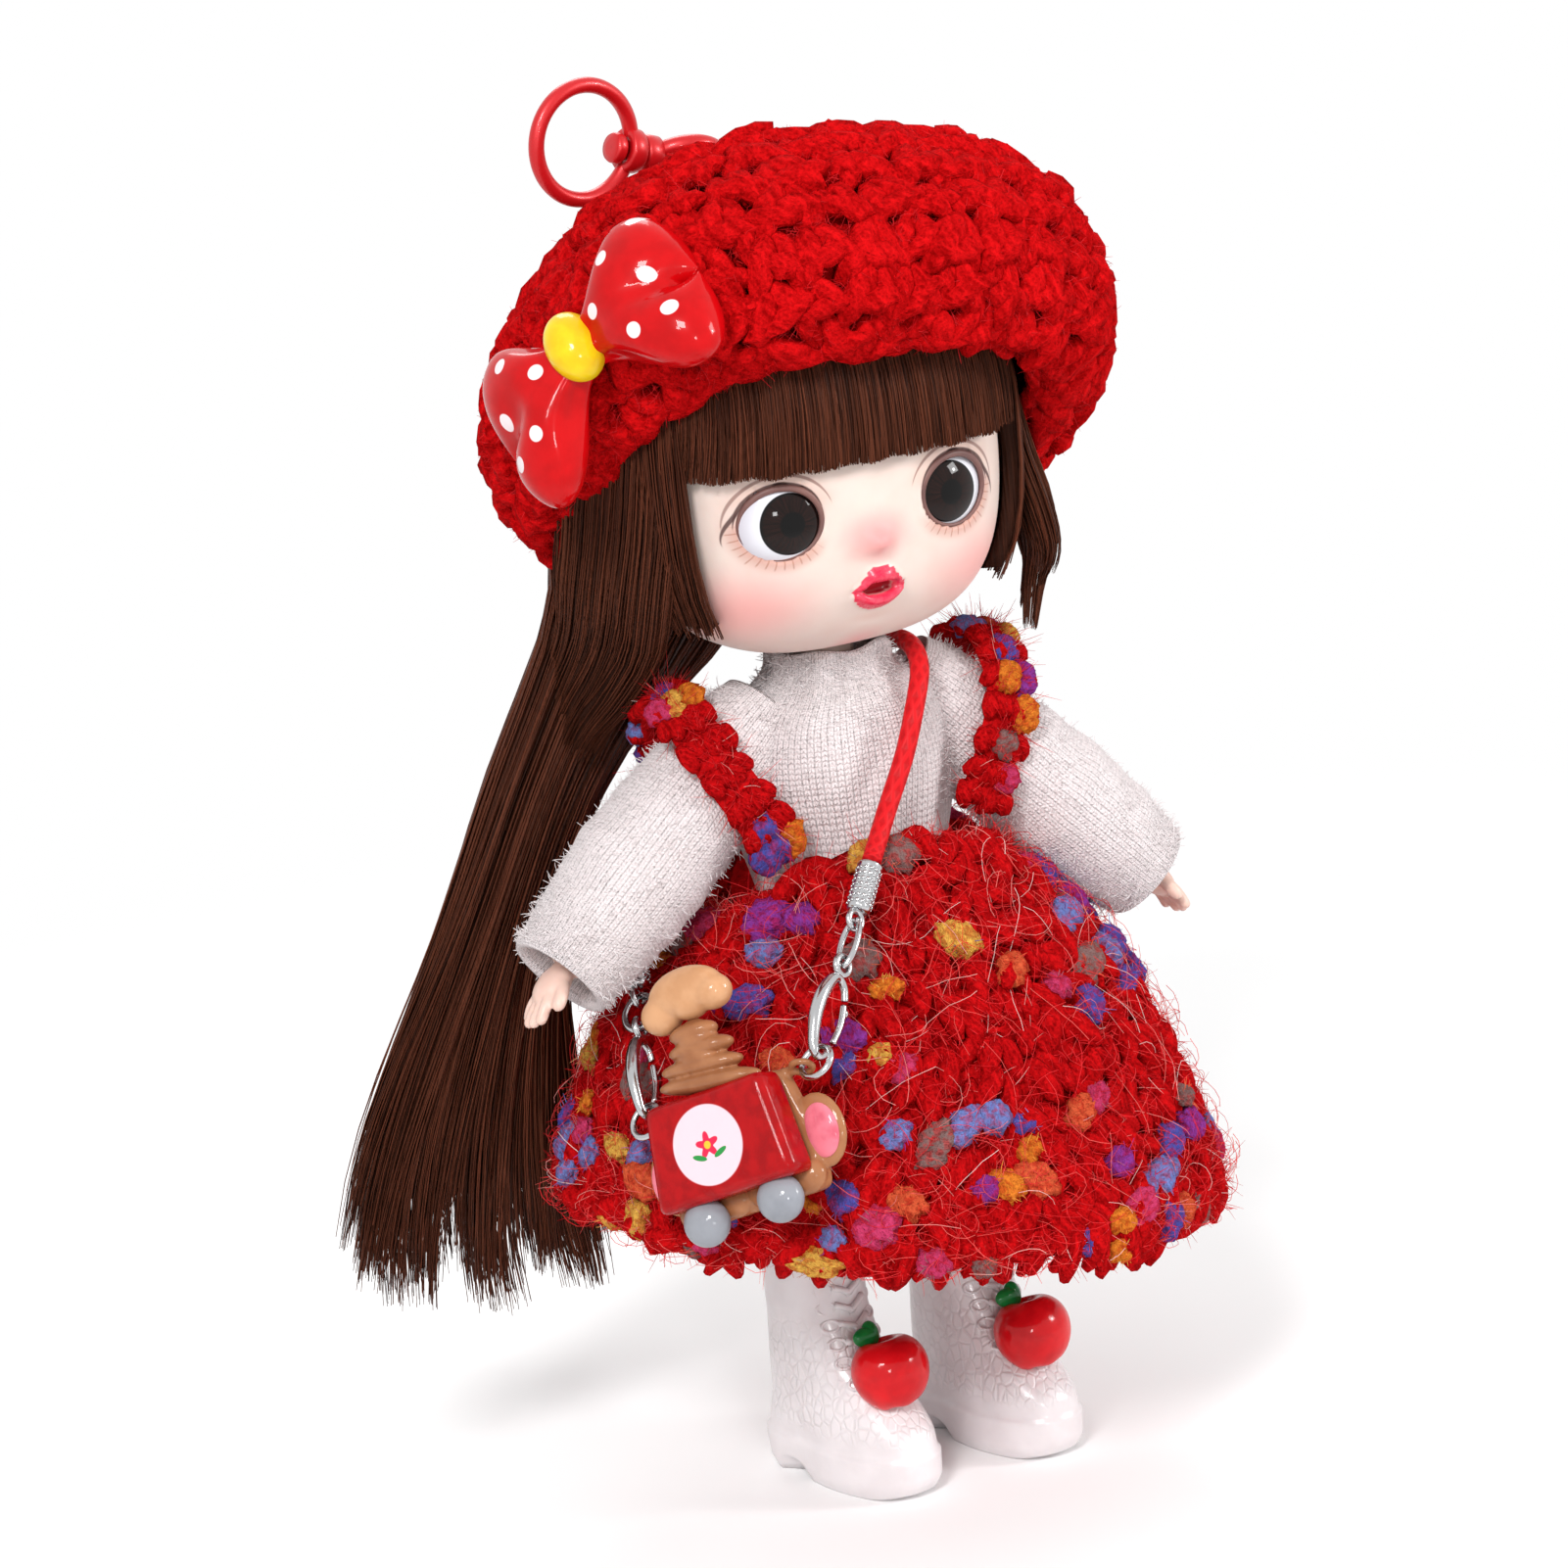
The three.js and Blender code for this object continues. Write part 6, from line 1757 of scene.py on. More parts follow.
@dataclass
class Sweater:
    """The knit sweater and its two chubby sleeves, each with the hand below it."""

    rows: tuple = ((66, 11.3, 8.8), (74, 11.7, 9.3), (84, 14, 10.5), (92, 15.3, 11), (98, 13.8, 10.3),
                   (101.6, 10, 9), (103.6, 8, 7.8), (105.8, 7.6, 7.6))
    out: dict = field(default_factory=lambda: {Side.RIGHT: 52.0, Side.LEFT: 42.0})
    forward: float = -13.0
    elbow: float = 20.5
    wrist: float = 33.8
    sleeve: tuple = ((7.5, 5.6), (3, 7.0), (-4, 7.7), (-10, 8.2), (-16, 8.4), (-22, 8.3), (-28, 7.8),
                     (-32, 7.2), (-34.7, 6.9))
    oval: float = 0.96
    fibres: int = 3200
    fibre: float = 0.06

    def body(self) -> None:
        """The body with its rolled collar."""
        sides = 120
        rings = []
        for t in shares(60):
            z, rx, ry = along_rows(self.rows, t)
            ring = []
            for a in circle(sides):
                fold = 0.3 * math.sin(8 * a + 0.12 * z) * ease(z, 78, 92) + 0.16 * math.sin(13 * a - 0.2 * z)
                ring.append(Vector(((rx + fold) * math.cos(a), (ry + fold) * math.sin(a), z)))
            rings.append(ring)
        for z, r in ((106.4, 7.3), (106.6, 6.8), (106.2, 6.2), (103.6, 5.8), (100.5, 5.6)):
            wave = [0.25 * math.sin(5 * k * math.pi / 60) for k in range(sides)]
            ring = ellipse(Vector((0, 0, z)), r, r, sides)
            rings.append([p + Vector((0, 0, w)) for p, w in zip(ring, wave)])
        for z, rx, ry in ((98, 11.8, 8.6), (92, 13.4, 9.4), (84, 12.4, 8.9), (74, 10.2, 7.9), (66, 9.9, 7.4)):
            rings.append(ellipse(Vector((0, 0, z)), rx, ry, sides))
        look = Knit("sweater_knit", 104, 84).build()
        settled(loft(rings, hoop=True).build("sweater", look), Body.TORSO, ("sweater_body",))

    def arm(self, side: Side) -> Matrix:
        """The arm's frame, with the arm along its -Z."""
        turn = Matrix.Rotation(math.radians(self.forward), 4, "X")
        out = Matrix.Rotation(math.radians(-side.value * self.out[side]), 4, "Y")
        return Matrix.Translation((side.value * 15, 0, 95)) @ turn @ out

    def sleeves(self) -> None:
        """Two sleeves of soft cloth, each baked in place."""
        look = Knit("sleeve_knit", 62, 92).build()
        middles = (9.5, 13.5, 17.5, 21, 25, 30)
        inside = ((-35.2, 0.5), (-35.1, 1.2), (-34.2, 1.6), (-30, 1.8), (-20, 1.9), (-8, 2.0), (-1, 2.1))
        top, length, sides = 7.5, 42.2, 96
        for side in Side:
            rings = []
            dice = random.Random(side.value + 5)
            folds = [(dice.uniform(0, 6.3), -z, dice.uniform(0.28, 0.5)) for z in middles]
            for t in shares(64):
                z, r = along_rows(self.sleeve, t)
                rings.append([self.cloth(z, r, a, folds) for a in circle(sides)])
            for z, shrink in inside:
                r = along_rows(self.sleeve, clamp((top - z) / length))[1] - shrink
                rings.append([Vector((r * math.cos(a), r * self.oval * math.sin(a), z))
                              for a in circle(sides)])
            shape = loft(rings, hoop=True).moved(self.arm(side))
            piece = shape.build("sleeve_cloth_" + side.word, look)
            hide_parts("sleeve_" + side.word)
            self.bend_at_elbow(piece)

    def cloth(self, z: float, r: float, a: float, folds: Sequence[tuple[float, float, float]]) -> Vector:
        """A point of the sleeve with its soft folds.

        Args:
            z: The height in the arm's frame.
            r: The sleeve's radius there.
            a: The angle round it.
            folds: The turn, height and depth of each fold.

        Returns:
            The point in the arm's frame.
        """
        swell = 0.0
        for phase, middle, depth in folds:
            slanted = z - middle - 2.2 * math.sin(a + phase)
            swell += depth * bell(slanted / 1.6) * (0.6 + 0.4 * math.cos(2 * a + phase))
        full = r + swell - 0.15
        return Vector((full * math.cos(a), full * self.oval * math.sin(a), z))

    def lint(self, tree: StrandTree, finish: Finish) -> None:
        """Short white fibres that stand out of the knit."""
        dice = random.Random(23)
        body = Strands()
        for _ in range(self.fibres):
            z, rx, ry = along_rows(self.rows, dice.uniform(0.3, 1))
            a = dice.uniform(0, math.tau)
            root = Vector((rx * math.cos(a), ry * math.sin(a), z))
            body.add(self.tuft(root, Vector((0, 0, z)), dice), dice.random())
        settled(body.grow("sweater_lint", tree, self.fibre, finish.lint), Body.TORSO)
        for side in Side:
            place, sleeve = self.arm(side), Strands()
            for _ in range(self.fibres):
                z, r = along_rows(self.sleeve, dice.uniform(0.05, 1))
                a = dice.uniform(0, math.tau)
                root = place @ Vector((r * math.cos(a), r * self.oval * math.sin(a), z))
                sleeve.add(self.tuft(root, place @ Vector((0, 0, z)), dice), dice.random())
            piece = sleeve.grow("sleeve_lint_" + side.word, tree, self.fibre, finish.lint)
            self.bend_at_elbow(piece)

    @staticmethod
    def tuft(root: Vector, axis: Vector, dice: random.Random) -> list[Vector]:
        """One fibre that leaves the cloth at a root, away from an axis."""
        out = (root - axis).normalized()
        way = (out + Vector([dice.uniform(-1.1, 1.1) for _ in range(3)])).normalized()
        length = 0.35 + 1.2 * dice.random() ** 2
        return [root - out * 0.2 + way * (length * t) + out * (0.4 * length * t * (1 - t))
                for t in (0, 0.4, 0.75, 1)]

    def bend_at_elbow(self, piece: bpy.types.Object) -> None:
        """Bakes the piece's place into its mesh."""
        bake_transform(piece)

    def hands(self, finish: Finish) -> None:
        """Two small vinyl hands, each a palm, a heel, a wrist, four fingers and a thumb."""
        for side in Side:
            s = side.value
            shapes = [egg(1.75, 2.9, 3.2, (0, 0, -2.6)), egg(1.5, 1.9, 2.4, (0, 0, -0.4)),
                      egg(1.3, 1.3, 3.0, (0, 0, 1))]
            for i, y in enumerate((-1.95, -0.65, 0.65, 1.95)):
                reach = 6.9 + 0.9 * (i in (1, 2)) + 0.4 * (i == 0)
                finger = [(0, y * 0.8, -3), (-s * 0.2, y * 1.08, -5.4), (-s * 0.75, y * 1.15, -reach)]
                path = smooth_path(finger, 10)
                shapes.append(tube(path, lambda t: 0.86 - 0.16 * t, 12))
                shapes.append(egg(0.7, 0.7, 0.75, path[-1], 12, 8))
            path = smooth_path([(0, -1.8, -1.8), (-s * 0.5, -3.1, -3.2), (-s * 0.9, -3.7, -4.9)], 10)
            shapes += [tube(path, 0.85, 12), egg(0.82, 0.82, 0.9, path[-1], 12, 8)]
            place = self.arm(side) @ Matrix.Translation((0, 0, -self.wrist))
            name, moved = "hand_" + side.word, [shape.moved(place) for shape in shapes]
            piece = melted("hand_vinyl_" + side.word, moved, 0.26, 3, finish.skin)
            settled(piece, name, (name,))


@dataclass
class Dress:
    """The boucle dress: a bell skirt of crochet rows, two straps and its loose curls."""

    top: float = 83.5
    dip: float = 7.0
    rise: float = 6.0
    rows: tuple = ((0, 20, 15.4), (6, 23.3, 19.8), (12.5, 27.4, 24.6), (19.5, 31.4, 29.4), (27, 35, 34),
                   (34.5, 37.8, 37.2), (40, 39.4, 39), (44.6, 40.3, 40), (46.8, 39.6, 39.3))
    strap: tuple = (
        (14.2, -9.6, 85), (16.8, -9.9, 90), (20.2, -8.2, 96.6), (21.6, -3.4, 101.6), (21.6, 0.4, 102.6),
        (21, 4.8, 101.4), (19.2, 9, 95.6), (16.2, 10.6, 89), (14.2, 9.9, 85))
    strap_steps: int = 60
    plain: float = 0.79
    fleck: float = 0.8
    flecked: float = 0.27
    fuzz_fibres: int = 3300
    long_curls: int = 1100
    strap_fuzz: int = 1800
    strap_curls: int = 900
    top_curls: int = 900
    down_fibres: int = 5200

    def at(self, a: float, low: float, grow: float = 0.0) -> Vector:
        """A point of the skirt at an angle and from 0 at its top to 1 at its hem, grown outwards."""
        drop, rx, ry = along_rows(self.rows, low)
        fold = 0.9 * low * (math.sin(9 * a + 0.6) + 0.45 * math.sin(4 * a + 1.7))
        dip = self.dip * math.cos(a) ** 2 * max(0.0, 1 - 2.2 * low) ** 1.5
        rise = self.rise * low * low * math.cos(a)
        return Vector(((rx + grow + fold) * math.cos(a), -3 * low + (ry + grow + fold) * math.sin(a),
                       self.top - drop - dip - rise))

    def frame(self, a: float, low: float, grow: float = 0.0) -> tuple[Vector, Vector, Vector]:
        """The point, the way outwards and the way round at a place of the skirt."""
        across = (self.at(a + 0.01, low) - self.at(a - 0.01, low)).normalized()
        down = (self.at(a, min(low + 0.01, 1)) - self.at(a, max(low - 0.01, 0))).normalized()
        out = down.cross(across).normalized()
        if out.dot(Vector((math.cos(a), math.sin(a), 0))) < 0:
            out = -out
        return self.at(a, low) + out * grow, out, across

    def shell(self, finish: Finish) -> None:
        """The backing cloth of the skirt."""
        sides, under, inside = 180, -1.35, -4.3
        rings = [[self.frame(a, t, under)[0] for a in circle(sides)] for t in shares(70)]
        rings += [[self.at(a, 1 - t, inside) for a in circle(sides)] for t in shares(30)]
        settled(loft(rings, hoop=True).build("skirt", finish.boucle), Body.TORSO, ("dress_skirt",))

    def tone(self, dice: random.Random) -> float:
        """The tone of one stitch: mostly red, now and then a fleck."""
        return dice.uniform(0.805, 1.0) if dice.random() < self.flecked else dice.uniform(0, self.plain)

    def route(self, side: Side) -> list[Vector]:
        """The middle line of one strap."""
        return smooth_path([(side.value * x, y, z) for x, y, z in self.strap], self.strap_steps)

    def stitches(self, tree: PlaceTree, strands: StrandTree, finish: Finish) -> None:
        """The crochet rows of the skirt, with their slubs and tufts."""
        dice = random.Random(6)
        spots, slubs, tufts = Spots(), Spots(), Strands()
        count = 15
        for row in range(count):
            low = (row + 0.35) / count
            level = [self.at(math.tau * k / 60, low) for k in range(61)]
            around = round(sum((b - a).length for a, b in zip(level, level[1:])) / 4.0)
            for k in range(around):
                a = math.tau * (k + 0.5 * (row % 2) + dice.uniform(-0.25, 0.25)) / around
                here = clamp(low + dice.uniform(-0.018, 0.018), 0.01, 0.985)
                point, out, across = self.frame(a, here, dice.uniform(-1.6, -0.9))
                across = (across + out.cross(across) * dice.uniform(-0.7, 0.7)).normalized()
                size = dice.uniform(0.8, 1.2)
                tone = self.tone(dice)
                spots.add(point, across, out, (4.6 * size, 5.2 * size, 4.6 * size), min(tone, self.plain))
                if tone > self.fleck:
                    point, out, across = self.frame(a, here, dice.uniform(0.0, 0.7))
                    fat = dice.uniform(0.75, 1.3)
                    way = (across + out.cross(across) * dice.uniform(-0.9, 0.9)).normalized()
                    slubs.add(point, way, out, (fat * dice.uniform(0.9, 1.4), fat, fat * 0.75), tone)
                    for _ in range(28):
                        self.tuft(tufts, point, (across, out.cross(across), out), 1.7 * fat, tone, dice)
        stitch = knot_of_wool(26, 0.3, 0.16)
        piece = spots.fill("skirt_stitches", tree, stitch, finish.boucle, seed=5, turn=0.42, grow=0.14)
        settled(piece, Body.TORSO)
        piece = slubs.fill("skirt_slubs", tree, self.slub(), finish.boucle, seed=9, turn=0.25, grow=0.1)
        settled(piece, Body.TORSO)
        settled(tufts.grow("slub_tufts", strands, 0.065, finish.tufts), Body.TORSO)

    @staticmethod
    def tuft(tufts: Strands, at: Vector, axes: Sequence[Vector], reach: float, tone: float,
             dice: random.Random) -> None:
        """Adds a fibre that curls out of a slub.

        Args:
            tufts: The strands that it joins.
            at: The slub's middle.
            axes: Two ways along the cloth and the way out of it.
            reach: The slub's own size.
            tone: The slub's tone.
            dice: The source of what is random.
        """
        turn, lift = dice.uniform(0, math.tau), dice.uniform(-0.1, 0.9)
        way = axes[0] * math.cos(turn) + axes[1] * math.sin(turn) + axes[2] * lift
        side = axes[0] * -math.sin(turn) + axes[1] * math.cos(turn)
        length, bow = reach * dice.uniform(0.5, 1.25), dice.uniform(-1.2, 1.2)
        start = at + way * (reach * dice.uniform(0.0, 0.6))
        tufts.add([start + way * (length * 0.75 * t) + side * (bow * t * t) for t in (0, 0.35, 0.7, 1)], tone)

    @staticmethod
    def slub() -> Shape:
        """A soft round lump of yarn with an uneven surface, about 4 mm long."""
        long_, round_ = 2.1, 1.9
        rings = []
        for i in range(13):
            t = math.pi * clamp(i / 12, 0.03, 0.97)
            r = round_ * math.sin(t)
            ring = []
            for a in circle(16):
                way = Vector((-long_ * math.cos(t), r * math.cos(a), r * math.sin(a)))
                ring.append(way * (1 + 0.4 * noise.noise(way * 0.9) + 0.25 * noise.noise(way * 2.2)))
            rings.append(ring)
        return loft(rings)

    def straps(self, tree: PlaceTree, finish: Finish) -> None:
        """The two shoulder straps, each a band under three rows of stitches."""
        stitch, last = knot_of_wool(12, 0.46, 0.24), self.strap_steps - 1
        for side in Side:
            dice = random.Random(40 + side.value)
            path = self.route(side)
            across0 = Vector((1, 0, -0.35 * side.value)).normalized()
            rings, spots, slubs = [], Spots(), Spots()
            for i, p in enumerate(path):
                way = (path[min(i + 1, last)] - path[max(i - 1, 0)]).normalized()
                across = (across0 - way * across0.dot(way)).normalized()
                out = way.cross(across)
                out = out if out.dot(p - Vector((side.value * 10, 0, 90))) > 0 else -out
                rings.append([p + across * (3.0 * math.cos(a)) + out * (math.sin(a) - 0.2)
                              for a in circle(20)])
                if i % 4 == 1:
                    for lane in (-2.0, 0.0, 2.0):
                        tone = self.tone(dice)
                        at = p + across * (lane + dice.uniform(-0.4, 0.4)) + out * 0.15
                        leant = across + way * dice.uniform(-0.9, 0.9)
                        spots.add(at, leant, out, (2.7, 2.7, 2.7), min(tone, self.plain))
                        if tone > self.fleck:
                            slubs.add(at + out * 0.8, way + across * dice.uniform(-0.6, 0.6), out,
                                      (dice.uniform(0.8, 1.3), 0.95, 0.8), tone)
            band = loft(rings).build("strap_" + side.word, finish.boucle)
            settled(band, Body.TORSO, ("dress_strap_" + side.word,))
            name = "strap_stitches_" + side.word
            piece = spots.fill(name, tree, stitch, finish.boucle, seed=7, turn=0.3, grow=0.1)
            settled(piece, Body.TORSO)
            if slubs.points:
                name = "strap_slubs_" + side.word
                piece = slubs.fill(name, tree, self.slub(), finish.boucle, seed=8, turn=0.2)
                settled(piece, Body.TORSO)

    def curls(self, tree: StrandTree, finish: Finish) -> None:
        """Short fuzz and long wispy curls of mohair over the skirt and the straps."""
        dice = random.Random(17)
        short, long_ = Strands(), Strands()
        for _ in range(self.fuzz_fibres):
            a, low = dice.uniform(0, math.tau), dice.random() ** 0.8
            point, out, across = self.frame(a, low, dice.uniform(-0.8, 0.6))
            way = out + across * dice.uniform(-1.5, 1.5)
            way = (way + out.cross(across) * dice.uniform(-1.5, 1.5)).normalized()
            curl = self.any_way(dice)
            short.add(self.fibre(point, way, dice.uniform(1.5, 4.0), curl), dice.random() ** 1.6)
        for _ in range(self.long_curls):
            a, low = dice.uniform(0, math.tau), dice.uniform(0.02, 0.97)
            turn, lift = dice.uniform(0, 6.3), dice.uniform(0.6, 2.6)
            bend_, path = dice.uniform(-0.5, 0.5), []
            for i in range(dice.randint(9, 17)):
                radius = 20 + 18 * low
                a += math.cos(turn) * 1.15 / radius
                low = clamp(low + math.sin(turn) * 1.15 / 55, 0.0, 1.0)
                turn += bend_ + dice.uniform(-0.2, 0.2)
                bend_ = clamp(bend_ + dice.uniform(-0.16, 0.16), -0.45, 0.45)
                path.append(self.frame(a, low, lift * (0.4 + math.sin(0.5 * i + 1)) * 0.8 + 0.7)[0])
            long_.add(path, 0.35 + 0.65 * dice.random(), tip=0.7)
        for side in Side:
            path = self.route(side)
            for _ in range(self.strap_fuzz):
                p, way = path[dice.randrange(self.strap_steps)], self.any_way(dice).normalized()
                curl = self.any_way(dice, 0.7)
                root, length = p + way * dice.uniform(1.0, 2.8), dice.uniform(0.6, 2.0)
                short.add([root + way * (length * t) + curl * t for t in (0, 0.5, 1)], 0.7 * dice.random())
            for _ in range(self.strap_curls):
                p, way = path[dice.randrange(self.strap_steps)], self.any_way(dice).normalized()
                length = 1.2 + 4.6 * dice.random() ** 2
                curl = self.any_way(dice) * 1.2
                line = [p + way * (1.2 + length * t) + curl * (t * t) for t in FIBRE_STEPS]
                short.add(line, dice.random() ** 1.6)
        for name, seed in (("dress_down", 18), ("dress_down_low", 19)):
            down = Strands()
            dice = random.Random(seed)
            for _ in range(self.down_fibres):
                a, low = dice.uniform(0, math.tau), dice.random() ** 0.8
                point, out, across = self.frame(a, low, dice.uniform(-1.4, 0.9))
                way = (out + leaning(out, across, dice)).normalized() * dice.uniform(0.7, 2.2)
                curl = self.any_way(dice, 0.6)
                down.add([point, point + way * 0.35, point + way * 0.7 + curl * 0.3, point + way + curl],
                         0.7 * dice.random())
            settled(down.grow(name, tree, 0.07, finish.curls), Body.TORSO)
        for _ in range(self.top_curls):
            a, low = dice.uniform(0, math.tau), dice.uniform(0, 0.05)
            point, out, across = self.frame(a, low, dice.uniform(-1, 0.5))
            way = out * dice.uniform(-0.6, 0.6) + across * dice.uniform(-1, 1)
            way = way + Vector((0, 0, dice.uniform(0.3, 1)))
            length, curl = 1.5 + 4.5 * dice.random() ** 2, self.any_way(dice, 1.2)
            short.add(self.fibre(point, way, length, curl), dice.random() ** 1.6)
        settled(short.grow("dress_fuzz", tree, 0.046, finish.curls), Body.TORSO)
        settled(long_.grow("dress_curls", tree, 0.045, finish.curls), Body.TORSO)

    @staticmethod
    def any_way(dice: random.Random, size: float = 1) -> Vector:
        """A random vector with each part up to a size."""
        return Vector([dice.uniform(-size, size) for _ in range(3)])

    @staticmethod
    def fibre(root: Vector, way: Vector, length: float, curl: Vector) -> list[Vector]:
        """A loose fibre from its root that curls away from its straight line."""
        return [root + way * (length * t) + curl * (t * t) for t in FIBRE_STEPS]


@dataclass
class BagCord:
    """The waxed cord over the left shoulder, from one crimp round the back to the other."""

    radius: float = 1.2
    route: tuple = (
        (-6.2, -18.8, 83.3), (-4.8, -17.7, 84.8), (-1.6, -15.4, 88.4), (2.2, -13.7, 93.8), (5.2, -12, 99.2),
        (7.6, -9.5, 102.8), (9, -5.8, 104.6), (9.6, -1.2, 105), (9.4, 3.8, 104), (7.9, 9.4, 101),
        (4.8, 13, 96), (0, 15, 90.6), (-6.5, 16.9, 85.6), (-14.5, 16, 81.2), (-21.5, 12.9, 78),
        (-25.8, 8.7, 76.2), (-27.1, 6.2, 74.8), (-27.9, 4.6, 73.2))
    steps: int = 171
    braid: float = 3.0

    def build(self) -> None:
        path = smooth_path(self.route, self.steps)
        length = sum((b - a).length for a, b in zip(path, path[1:]))
        look = Braid("waxed_braid", length / self.braid).build()
        cord = tube(path, self.radius, 24).build("cord", look)
        settled(cord, Body.TORSO, ("bag_cord",))


@dataclass
class BagChain:
    """The metal of one end of the cord: bag ring, lobster clasp, link or jump ring, and crimp."""

    word: str
    at: Vector
    way: Vector
    line: Vector
    ring: float = 2.1
    wire: float = 0.4
    width: float = 4.6
    length: float = 9.4
    eye: float = 1.2

    def place(self) -> Matrix:
        """The chain's frame, with Z up it."""
        return frame_along(self.at, self.way, self.way.cross(self.line.cross(self.way)))

    def ring_at(self, radius: float, wire: float, z: float, turn: Matrix, stretch: float = 1.0) -> Shape:
        """A wire ring on the chain's line.

        Args:
            radius: The radius of the wire's middle line.
            wire: The wire's own radius.
            z: How far up the chain the ring is.
            turn: How it is turned there.
            stretch: How long it is against how wide.

        Returns:
            The closed shape.
        """
        return torus(radius, wire, self.place() @ Matrix.Translation((0, 0, z)) @ turn, stretch)

    def build(self, tree: PlaceTree, finish: Finish) -> None:
        """Builds the pieces of the chain."""
        place = self.place()
        flat, cross = turned((0, 0, 0), y=90), turned((0, 0, 0), x=90)
        eye_at = self.ring + self.length + 0.6 + self.eye
        up = place @ Matrix.Translation((0, 0, self.ring))
        corner = self.ring_at(self.ring, self.wire, 0, flat).build("ring_" + self.word, finish.silver)
        settled(corner, Body.BAG, ("bag_ring_" + self.word,))
        body, lever = hook_path(self.width, self.length, 0.4 + 0.3 + 0.6)
        hook = tube(body, lambda t: 0.46 + 0.42 * bell((t - 0.52) / 0.2), 16).moved(up)
        clasp = hook.joined(self.ring_at(self.eye, self.wire + 0.05, eye_at, cross))
        piece = clasp.build("clasp_" + self.word, finish.silver)
        settled(piece, Body.TORSO, ("clasp_body_" + self.word,))
        knob = egg(0.55, 0.5, 0.55, lever[3] + Vector((-0.35, 0, 0)), 16, 12)
        gate = tube(lever, 0.42, 12).joined(knob).moved(up).build("gate_" + self.word, finish.silver)
        settled(gate, "clasp_lever_" + self.word, ("clasp_lever_" + self.word,))
        if self.word == "front":
            half = 3.2
            link = self.ring_at(self.eye, self.wire, eye_at + half, flat, half / self.eye)
            settled(link.build("link", finish.silver), Body.TORSO, ("chain_link_front",))
        else:
            half = 2.25
            ring = self.ring_at(half, self.wire + 0.05, eye_at + half, flat)
            settled(ring.build("jump_ring", finish.silver), Body.TORSO, ("jump_ring_side",))
        loop_at = eye_at + 2 * half
        low = loop_at + self.eye
        barrel = [(0.9, low), (1.35, low + 0.15), (1.45, low + 0.5), (1.45, low + 6), (1.6, low + 6.3),
                  (1.55, low + 6.5), (1.25, low + 6.5)]
        crimp = lathe(barrel, place, 32).joined(self.ring_at(self.eye, self.wire, loop_at, cross))
        piece = crimp.build("crimp_barrel_" + self.word, finish.silver)
        settled(piece, Body.TORSO, ("crimp_" + self.word,))
        ribs = Spots()
        for row in range(7):
            for a in circle(14):
                out = place.to_3x3() @ Vector((math.cos(a), math.sin(a), 0))
                at = place @ Vector((1.5 * math.cos(a), 1.5 * math.sin(a), low + 0.9 + 0.78 * row))
                ribs.add(at, self.way, out, (1, 1, 1))
        bead = egg(0.24, 0.3, 0.16, (0, 0, 0), 8, 5)
        piece = ribs.fill("crimp_ribs_" + self.word, tree, bead, finish.silver, own=False)
        settled(piece, Body.TORSO)


